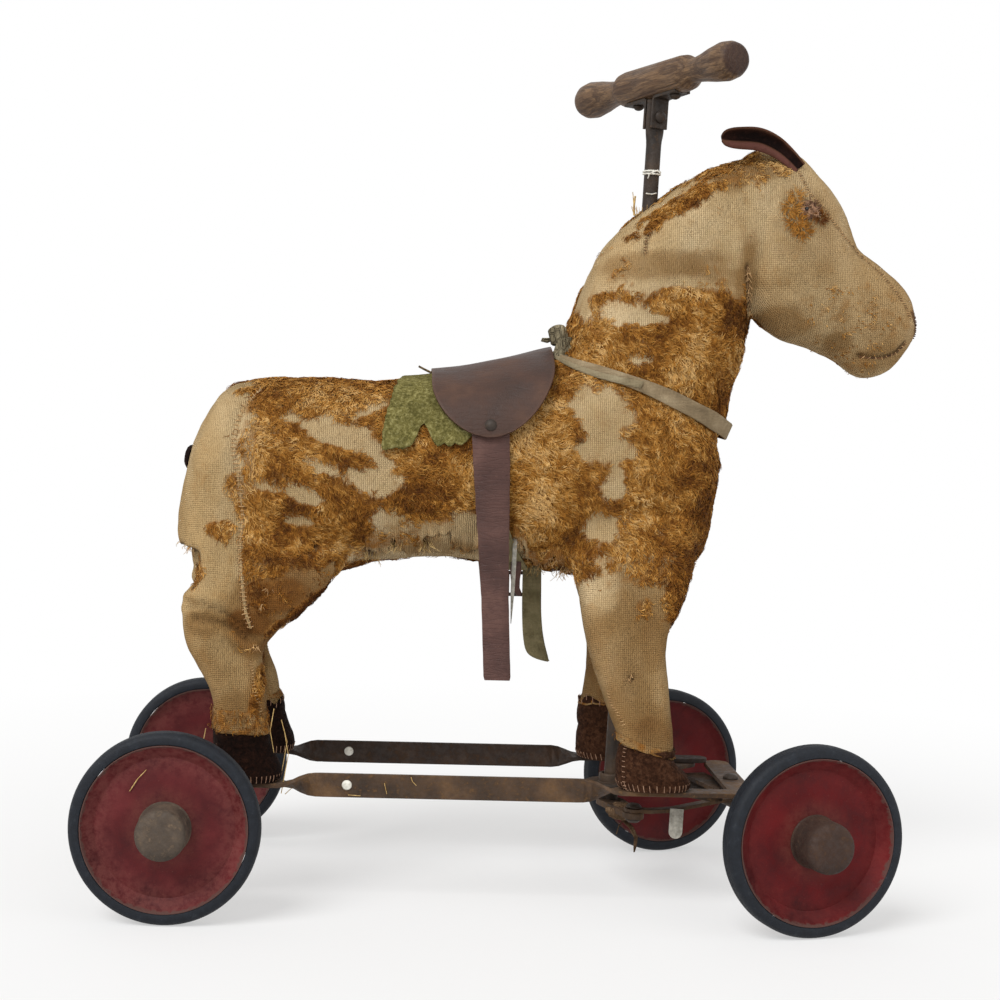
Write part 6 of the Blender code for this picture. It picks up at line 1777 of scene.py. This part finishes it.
# The girth's loose end: height, back x and front x. The buckle's leather: x, y, height and width. The sliver
# of old tape beside them: height and width.
GIRTH_END_ROWS = (
    (258.0, 263.4, 277.9), (238.0, 263.3, 278.2), (221.0, 263.5, 278.5), (206.0, 264.2, 279.8),
    (196.0, 265.4, 281.6), (190.0, 267.0, 283.2), (186.0, 270.0, 284.4), (183.0, 276.0, 285.2),
    (181.0, 284.2, 285.8),
)
BUCKLE_LEATHER = (
    (256.2, -40.5, 262.0, 8.0), (256.0, -42.5, 254.0, 8.6), (256.0, -41.5, 247.0, 7.0),
    (256.2, -42.5, 241.0, 6.4), (258.4, -41.5, 237.5, 5.2), (259.2, -40.5, 235.0, 3.4),
)
GIRTH_THICKNESS = 0.0012
BUCKLE_LEATHER_THICKNESS = 0.0030
SLIVER_THICKNESS = 0.0008
SLIVER = ((286.0, 3.2), (262.0, 3.4), (243.0, 3.1), (228.0, 1.8), (215.5, 0.5))
BREAST_REAR = (287.0, 428.25)
BREAST_FRONT = (425.0, 365.25)
BREAST_STEPS = 120
BREAST_GAP = 0.13
BREAST_BAND = 0.0055
BREAST_LAP_STEPS = 26
BREAST_THICKNESS = 0.0017
FOLD_THICKNESS = 0.0013
# Loops of the knot: x, y, height, two radii, lean of the tape, its width and the turns it makes.
KNOT_LOOPS = (
    (286.3, -23.0, 438.5, 6.0, 4.4, -0.25, 13.5, 1.0), (284.0, -20.0, 438.0, 4.0, 3.6, -0.25, 12.0, 1.3),
    (291.2, -21.5, 437.5, 2.6, 3.0, -0.25, 14.5, 1.0), (288.6, -26.2, 426.8, 4.8, 3.8, 0.30, 16.5, 1.0),
    (293.0, -24.5, 428.5, 3.2, 3.4, 0.30, 15.0, 1.0),
)
LOOP_STEPS = 26
ROLLED_END = (291.8, -30.0, 419.5)
# The tape from the knot to the strap and its short tail: x, y, height and width.
KNOT_START = ((293.0, -27.5, 432.0, 4.0), (295.0, -30.0, 426.5, 5.5), (298.5, -34.0, 420.5, 8.0),
              (303.5, -39.5, 415.0, 9.8), (310.0, -44.0, 410.0, 10.8))
KNOT_TAIL = ((284.0, -18.0, 437.0, 5.0), (279.0, -19.0, 434.5, 4.5), (273.5, -20.0, 435.0, 3.0))


def torso_surface(x_mm, angle, lift):
    """A point above the torso form: angle 0 is the spine, positive towards +Y."""
    places = [row[0] for row in TORSO]
    index = max(i for i in range(len(places) - 1) if places[i] <= x_mm)
    share = (index + (x_mm - places[index]) / (places[index + 1] - places[index])) / (len(places) - 1)
    _, top, low, half = through(TORSO, share)
    middle = above((top + low) / 2)
    tall = (top - low) / 2 * MM
    half *= MM
    up = powered(math.cos(angle), 2.0 / SQUARENESS)
    out = powered(math.sin(angle), 2.0 / SQUARENESS)
    normal = Vector((0, powered(out, SQUARENESS - 1.0) / half, powered(up, SQUARENESS - 1.0) / tall))
    return Vector((along(x_mm), half * out, middle + tall * up)) + normal.normalized() * lift


def make_saddle():
    """A leather seat with two round flaps, slightly creased, its rim rubbed pale, and its two rivets."""
    rings = []
    edges = []
    for row in range(SADDLE_ROWS + 1):
        v = 2.0 * row / SADDLE_ROWS - 1.0
        angle = v * SADDLE_END
        beyond = max(abs(angle) - SADDLE_STRAIGHT, 0.0) / (SADDLE_END - SADDLE_STRAIGHT)
        half = SADDLE_HALF_LENGTH * math.sqrt(max(1.0 - beyond**2, 0.01))
        rise = float(smooth_step((abs(angle) - SADDLE_RISE) / SADDLE_RISE))
        lift = SADDLE_LIFT + (SADDLE_FLAP_LIFT - SADDLE_LIFT) * rise
        ring = []
        for u in (column / SADDLE_COLUMNS for column in range(SADDLE_COLUMNS + 1)):
            x_mm = SADDLE_MIDDLE + (2 * u - 1) * half
            ring.append(torso_surface(x_mm, angle, lift + wave_at(x_mm * 0.03, v * 3.0, 2.0) * 0.0008))
            rim = min(min(u, 1.0 - u) * 2.0 * half, (1.0 - abs(v)) * SADDLE_END * SADDLE_ARC_MM)
            edges.append(max(1.0 - rim / RIM_WEAR_MM, 0.0))
        rings.append(ring)
    saddle = sheet_of(rings).build("saddle_finish", "saddle_leather", slot="saddle_leather",
                                   stands_for="saddle", thickness=SADDLE_THICKNESS)
    give(saddle.data, "edge", edges)
    bevel(saddle, 0.0006, 50.0)
    for side in SIDES:
        label = SIDE_NAMES[side]
        joint = JOINTS["stirrup_" + label + "_swing"]
        lathe("saddle_rivet_finish_" + label, SADDLE_RIVET_SECTION, SADDLE_RIVET_STEPS, "dark_steel", "frame",
              frame_along(joint["pos_m"], joint["axis"]), stands_for="saddle_rivet_" + label)


def make_felt():
    """The green felt blanket, torn along its lower edge behind the saddle."""
    rings = []
    for row in range(FELT_ROWS + 1):
        v = 2.0 * row / FELT_ROWS - 1.0
        side = math.copysign(1.0, v)
        back = FELT_BACK - FELT_SWEEP * min(abs(v) / 0.85, 1.0) + 2.2 * wave_at(v * 14.0, 1.0, 2.0)
        ring = []
        for u in (column / FELT_COLUMNS for column in range(FELT_COLUMNS + 1)):
            hanging = 1.0 - float(smooth_step((u - 0.53) / 0.17))
            tear = 0.17 * bell(u - 0.27, 0.05) + 0.02 * wave_at(u * 26.0, side, 4.0)
            tear += 0.012 * wave_at(u * 70.0, side, 9.0)
            end = FELT_END * (0.70 + 0.23 * hanging - tear)
            x_mm = back + u * (FELT_FRONT - back)
            lift = FELT_LIFT + 0.0005 * wave_at(x_mm * 0.12, v * 16.0, 6.0)
            loose = max(abs(v) - 0.72, 0.0) * (1.0 - u)
            lift += 0.0045 * loose * (1.0 + wave_at(x_mm * 0.06, side, 3.0))
            ring.append(torso_surface(x_mm, v * end, lift))
        rings.append(ring)
    felt = sheet_of(rings).build("saddle_felt_cloth", "green_felt", smooth=80.0, slot="green_felt",
                                 stands_for="saddle_felt", thickness=FELT_THICKNESS)


def make_felt_corner():
    """A dark corner of the blanket that sticks up behind the saddle."""
    stations = [(place_of(x, 0.0, z), ACROSS, (0.45, 0.0, 0.9), width * MM) for x, z, width in FELT_CORNER]
    strap_of(stations, 0.0016).build("felt_corner", "oily_rag", slot="green_felt")


def make_stirrup(side):
    """A leather strap that hangs from the saddle rivet, creased across."""
    swing = "stirrup_" + SIDE_NAMES[side]
    hinge = Vector(JOINTS[swing + "_swing"]["pos_m"])
    x_mm = (hinge.x - REAR_AXLE_X) / MM
    start, end = STIRRUP_ARC
    path = [torso_surface(x_mm, side * (start + (end - start) * index / (STIRRUP_BENT - 1)), STIRRUP_LIFT)
            for index in range(STIRRUP_BENT)]
    last = path[-1]
    foot = Vector((last.x, last.y, STIRRUP_BOTTOM))
    path += [last.lerp(foot, (index + 1) / STIRRUP_HANGING) for index in range(STIRRUP_HANGING)]
    stations = []
    for index, point in enumerate(path):
        way = path[min(index + 1, len(path) - 1)] - path[max(index - 1, 0)]
        hung = hinge.z - point.z
        share = float(smooth_step(hung / (hinge.z - STIRRUP_BOTTOM) * 1.3))
        width = STIRRUP_TOP_WIDTH + (STIRRUP_END_WIDTH - STIRRUP_TOP_WIDTH) * share
        width += 0.0007 * wave_at(hung * 90.0, side, 0.0)
        if index == 0:
            width *= 0.7
        if index == len(path) - 1:
            width -= 0.0016
        sway = 0.0009 * wave_at(hung * 40.0, side * 3.0, 1.0)
        sway += 0.0004 * wave_at(hung * 260.0, side * 5.0, 2.0)
        centre = point + Vector((STIRRUP_LEAN[side] * max(hung, 0.0), sway, 0.0))
        stations.append((centre, AHEAD, AHEAD.cross(way.normalized()), width))
    bundle = strap_of(stations, STIRRUP_THICKNESS)
    name = "stirrup_strap_" + SIDE_NAMES[side]
    strap = bundle.build(name + "_leather", "strap_leather", swing, slot="saddle_leather", stands_for=name)
    rim = (0, 5, 6, 11)
    give(strap.data, "edge", [float(index % 12 in rim) for index in range(len(bundle.points))])


def make_girth():
    """The girth tape, its loose end that hangs and curls forward, and the folded leather at its buckle."""
    finish_copy("girth_strap", "girth_tape", slot="girth_tape")
    low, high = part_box("girth_tape_end")
    middle_y = (low.y + high.y) / 2
    rings = []
    for share in (row / 30 for row in range(31)):
        z, back, front = through(GIRTH_END_ROWS, share)
        curl = 0.0022 * math.sin(share * 3.2) - 0.0008 * share
        ring = []
        for across in (column / 8 for column in range(9)):
            bow = 0.0008 * math.sin(math.pi * across)
            ring.append(Vector((along(back + (front - back) * across), middle_y - curl - bow, z * MM)))
        rings.append(ring)
    sheet_of(rings).build("girth_end_tape", "girth_tape", smooth=80.0, slot="girth_tape",
                          stands_for="girth_tape_end", thickness=GIRTH_THICKNESS)
    stations = [(place_of(x, y, z), (1, 0, 0.1), -ACROSS, width * MM) for x, y, z, width in BUCKLE_LEATHER]
    leather = strap_of(stations, BUCKLE_LEATHER_THICKNESS)
    leather.build("buckle_leather", "strap_leather", slot="saddle_leather")
    stations = [(place_of(253.0 - (243.0 - z) * 0.03, -60.0, z), AHEAD, -ACROSS, width * MM)
                for z, width in SLIVER]
    strap_of(stations, SLIVER_THICKNESS).build("girth_sliver", "pale_tab", slot="girth_tape")


def make_breast_strap(tree):
    """The tape round the base of the neck, and the fold where it comes back to the knot."""
    rear = place_of(BREAST_REAR[0], 0.0, BREAST_REAR[1])
    front = place_of(BREAST_FRONT[0], 0.0, BREAST_FRONT[1])
    middle = (rear + front) / 2
    forward = (front - rear).normalized()
    up = forward.cross(ACROSS)
    found = []
    for index in range(BREAST_STEPS + 1):
        way = around(-forward, ACROSS, BREAST_GAP + (math.tau - 2 * BREAST_GAP) * index / BREAST_STEPS)
        reach = []
        for height in (-BREAST_BAND, 0.0, BREAST_BAND):
            foot = middle + up * height
            reach.append((tree.ray_cast(foot + way * 0.3, -way)[0] - foot).length)
        found.append((way, reach))
    stations = []
    for index, (way, reach) in enumerate(found):
        near = [spot[1] for spot in found[max(index - 4, 0): index + 5]]
        low, centre, high = (sum(spot[k] for spot in near) / len(near) for k in range(3))
        tallest = max(max(reach) - (low + high) / 2, centre - (low + high) / 2, 0.0)
        across = up * 2 * BREAST_BAND + way * (high - low)
        out = (way * 2 * BREAST_BAND - up * (high - low)).normalized()
        seat = middle + way * ((low + high) / 2 + tallest)
        from_end = min(BREAST_STEPS - index, index)
        width = 0.0122 + 0.0012 * wave_at(index * 0.13, 0.0, 7.0)
        width *= 0.42 + 0.68 * float(smooth_step(from_end / 44))
        lift = 0.0018 + 0.0052 * bell(abs(index / BREAST_STEPS - 0.5), 0.05)
        sag = -up * 0.0075 * smooth_step(1.0 - from_end / 34)
        stations.append((seat + sag + out * lift, across, out, width))
    tape = strap_of(stations, BREAST_THICKNESS)
    tape.build("breast_strap_tape", "breast_tape", slot="tape", stands_for="breast_strap")
    folded = []
    for step, (seat, across, out, width) in enumerate(stations[-BREAST_LAP_STEPS - 1:]):
        share = step / BREAST_LAP_STEPS
        across = across.normalized()
        sag = -across * 0.0040 * math.sin(math.pi * min(share * 1.1, 1.0))
        folded.append((seat + out * (0.0014 + 0.0008 * share) + sag, across, out, 0.0060 - 0.0030 * share))
    strap_of(folded, FOLD_THICKNESS).build("breast_strap_fold", "folded_tape", slot="tape")


def ribbon(bundle, centre, radii, across, round_way, other_way, width, turns, thickness=0.0011):
    """A loop of tape that runs round an oval in the plane of two ways."""
    stations = []
    for index in range(LOOP_STEPS + 1):
        angle = math.tau * turns * index / LOOP_STEPS
        out = around(round_way * radii[0], other_way * radii[1], angle)
        normal = around(round_way / radii[0], other_way / radii[1], angle)
        drift = across * 0.0008 * math.sin(angle * 0.9)
        stations.append((centre + out + drift, across, normal, width * (1.0 - 0.1 * math.cos(angle * 2.0))))
    bundle.strap(stations, thickness)


def make_knot():
    """The tape's knot beside the withers: an upright loop open at the top, a long one below, a rolled end."""
    knot = Bundle()
    for x, y, z, first, second, lean, width, turns in KNOT_LOOPS:
        across = (UP + AHEAD * lean).normalized()
        level = across.cross(ACROSS).normalized()
        ribbon(knot, place_of(x, y, z), (first * MM, second * MM), across, level, -ACROSS, width * MM, turns)
    ribbon(knot, place_of(*ROLLED_END), (0.0030, 0.0032), -ACROSS, AHEAD, UP, 0.0050, 1.2, 0.0009)
    for table, across, out, thickness in ((KNOT_START, (0.45, 0.0, 0.9), (-0.2, -1.0, 0.35), 0.0014),
                                          (KNOT_TAIL, (0.3, -0.3, 0.9), (0.0, -1.0, 0.2), 0.0011)):
        knot.strap([(place_of(x, y, z), across, out, width * MM) for x, y, z, width in table], thickness)
    knot.build("breast_knot", "knot_tape", smooth=60.0, slot="tape")


# Odds and ends

COLUMN_EXIT = 0.466
NECK_STRAWS = 34
HOLE_STRAWS = 16
STRAW_RADIUS = 0.0003
HOLE_STRAW_RADIUS = 0.00028
LOOSE_STRAW_RADIUS = 0.00036
STRAW_OUT = 0.0085
STRAW_ROOT = 0.004
# Straw ends: x, y and height above the floor.
STRAWS = (
    ((95.4, -72.6, 89.9), (98.6, -72.8, 93.6), (102.6, -72.6, 99.4)),
    ((130.6, -72.6, 83.7), (140.2, -72.6, 83.2)), ((158.1, -72.6, 93.2), (160.1, -72.6, 84.9)),
    ((178.2, -72.6, 98.3), (179.4, -73.0, 95.0), (182.4, -72.6, 91.9)),
    ((82.7, -72.6, 83.2), (88.1, -72.6, 88.3)),
    ((73.9, -86.0, 150.4), (71.5, -87.5, 133.8), (74.6, -87.0, 117.2)),
    ((79.9, -74.0, 84.0), (84.8, -76.0, 113.7), (81.2, -78.0, 134.0)),
    ((22.0, -78.0, 133.0), (19.5, -80.0, 118.0)),
    ((78.0, -62.0, 138.0), (83.0, -66.0, 122.0), (80.0, -72.0, 101.0)),
)
TWIG = ((346.3, -2.0, 536.0), (346.0, -2.0, 543.7), (346.8, -2.0, 551.5))
TWIG_TIP = (344.6, -3.0, 554.5)
WHEEL_STRAW = ((-25.8, 96.5), (-20.2, 105.5), (-14.1, 112.2))
THREAD_HEIGHT = 0.4985
LOW_THREAD_HEIGHT = 0.4810
THREAD_RADIUS = 0.00075
THREAD_OUT = 0.0067
THREAD_PITCH = 0.0012
THREAD_STEPS = 28
RAG_SHARES = (0.28, 0.46)
RAG_HEIGHT = 0.0655
RAG_SIZE = 0.0085
STRING_HEIGHT = 0.0600
# The frayed string below the rag: place from its knot in mm, and width.
STRING = ((0.0, 0.0, 0.0, 4.5), (6.0, -3.0, -6.0, 4.0), (9.5, -4.0, -13.0, 3.4), (8.8, -5.0, -20.0, 2.8),
          (8.2, -5.0, -24.5, 1.2))


def make_straw(tree):
    """Straw and threads that stick out of worn places, and lie on the frame."""
    rng = np.random.default_rng(SEED + 7)
    straw = Bundle()
    for _ in range(NECK_STRAWS):
        out = around(AHEAD, ACROSS, rng.random() * math.tau)
        start = COLUMN_FOOT + COLUMN_WAY * (COLUMN_EXIT - STRAW_ROOT) + out * STRAW_OUT
        length = 0.004 + 0.009 * rng.random()
        lean = out * (0.1 + 0.7 * rng.random())
        end = start + (COLUMN_WAY + lean).normalized() * length
        path = [start, start.lerp(end, 0.5) + out * 0.001, end]
        straw.tube(path, STRAW_RADIUS, 4, 0.6, rng.random())
    for hole_x, hole_z, size in SHADED_HOLES[1:7]:
        for _ in range(HOLE_STRAWS):
            x_mm = hole_x + size * (rng.random() - 0.5) * 2.2
            place, normal = cast(tree, x_mm, hole_z + size * (rng.random() - 0.2), RIGHT)
            if place is None:
                continue
            drop = Vector((rng.normal(0, 0.003), -0.002, -0.002 - 0.006 * rng.random()))
            end = place + normal * 0.002 + drop
            path = [place - normal * 0.001, (place + end) / 2 + normal * 0.0015, end]
            straw.tube(path, HOLE_STRAW_RADIUS, 4, 0.6, rng.random())
    for line in STRAWS:
        straw.tube([place_of(*spot) for spot in line], LOOSE_STRAW_RADIUS, 5, 0.7, rng.random())
    twig = [place_of(*spot) for spot in TWIG]
    straw.tube(twig, 0.0009, 6, 0.8, 0.2)
    straw.tube([twig[1], place_of(*TWIG_TIP)], 0.0005, 5, 0.6, 0.2)
    straw.build("straw_wisps", "straw", slot="horse_cloth")
    wisp = Bundle()
    face_mm = JOINTS["rear_wheel_right_spin"]["pos_m"][1] / MM - 2.0
    wisp.tube([place_of(x, face_mm, z) for x, z in WHEEL_STRAW], 0.0004, 5, 0.7)
    wisp.build("wheel_straw", "straw", "rear_wheel_right")


def make_threads():
    """A white thread tied round the column twice, with loose ends, and a second one below it."""
    thread = Bundle()
    other = COLUMN_WAY.cross(ACROSS)
    path = []
    for angle in (math.tau * index / THREAD_STEPS for index in range(2 * THREAD_STEPS + 1)):
        height = THREAD_HEIGHT + THREAD_PITCH * math.sin(angle * 0.5)
        path.append(COLUMN_FOOT + COLUMN_WAY * height + around(ACROSS, other, angle) * THREAD_OUT)
    thread.tube(path, THREAD_RADIUS, 7)
    tied = COLUMN_FOOT + COLUMN_WAY * THREAD_HEIGHT - ACROSS * 0.0069
    for bend, end in (((0.0035, -0.0015, 0.0014), (0.0062, -0.0015, -0.0012)),
                      ((-0.0030, -0.0015, -0.0016), (-0.0040, -0.0010, -0.0052))):
        thread.tube([tied, tied + Vector(bend), tied + Vector(end)], 0.0006, 6, 0.7)
    low = COLUMN_FOOT + COLUMN_WAY * LOW_THREAD_HEIGHT - ACROSS * 0.0068
    thread.tube([low + Vector((-0.0045, 0, 0.0006)), low, low + Vector((0.0040, 0.0006, 0.0010))],
                0.0005, 6, 0.8)
    thread.build("column_threads", "white_thread", "column")


def make_rag():
    """A rag bound round the crank, with a frayed string."""
    crank = Vector(JOINTS["link_turn"]["pos_m"])
    start = Vector((COLUMN_FOOT.x, COLUMN_FOOT.y, RAG_HEIGHT))
    end = Vector((crank.x, crank.y, RAG_HEIGHT))
    flat = UP.cross((end - start).normalized())
    rings = []
    for share in (row / 22 for row in range(23)):
        centre = start.lerp(end, RAG_SHARES[0] + RAG_SHARES[1] * share)
        size = RAG_SIZE * math.sqrt(max(1.0 - (2.0 * share - 1.0) ** 4, 0.02))
        ring = []
        for angle in (math.tau * index / 28 for index in range(28)):
            point = around(flat * 1.35, UP * 0.72, angle) * size
            rough = 1.0 + 0.16 * noise.noise((centre + point) * 260.0) + 0.05 * math.sin(share * 50.0 + angle)
            ring.append(centre + point * rough)
        rings.append(ring)
    rag = Bundle()
    rag.rings(rings, closed=True)
    rag.build("crank_rag", "crank_rag", "column", 70.0)
    knot = start.lerp(end, 0.6)
    knot.z = STRING_HEIGHT
    tail = [(knot + Vector((x, y, z)) * MM, (1.0, 0.3, 0.2), (0.0, -1.0, 0.2), wide * MM)
            for x, y, z, wide in STRING]
    string = strap_of(tail, 0.0014)
    ends = (Vector((-0.004, -0.002, -0.005)), Vector((-0.006, -0.004, -0.011)))
    string.tube([knot, *(knot + end for end in ends)], 0.0006, 6, 0.6)
    string.build("crank_string", "crank_rag", "column")


def main():
    bpy.context.scene.view_settings.view_transform = "Standard"
    make_camera()
    make_sun("key", *KEY_SUN)
    make_sun("fill", *FILL_SUN)
    make_world()
    make_floor()
    make_looks()
    make_wheels()
    make_frame()
    make_handle()
    skin = make_skin()
    tree = BVHTree.FromObject(skin, bpy.context.evaluated_depsgraph_get())
    make_mohair(skin)
    make_stitches(tree)
    for flap in FLAPS:
        make_flap(tree, *flap)
    make_eyes(tree)
    make_ears()
    make_hooves(tree)
    finish_copy("tail_stub", "ear_leather", 0.0, "ear_leather")
    make_felt()
    make_felt_corner()
    make_saddle()
    for side in SIDES:
        make_stirrup(side)
    make_girth()
    make_breast_strap(tree)
    make_knot()
    make_straw(tree)
    make_threads()
    make_rag()


main()
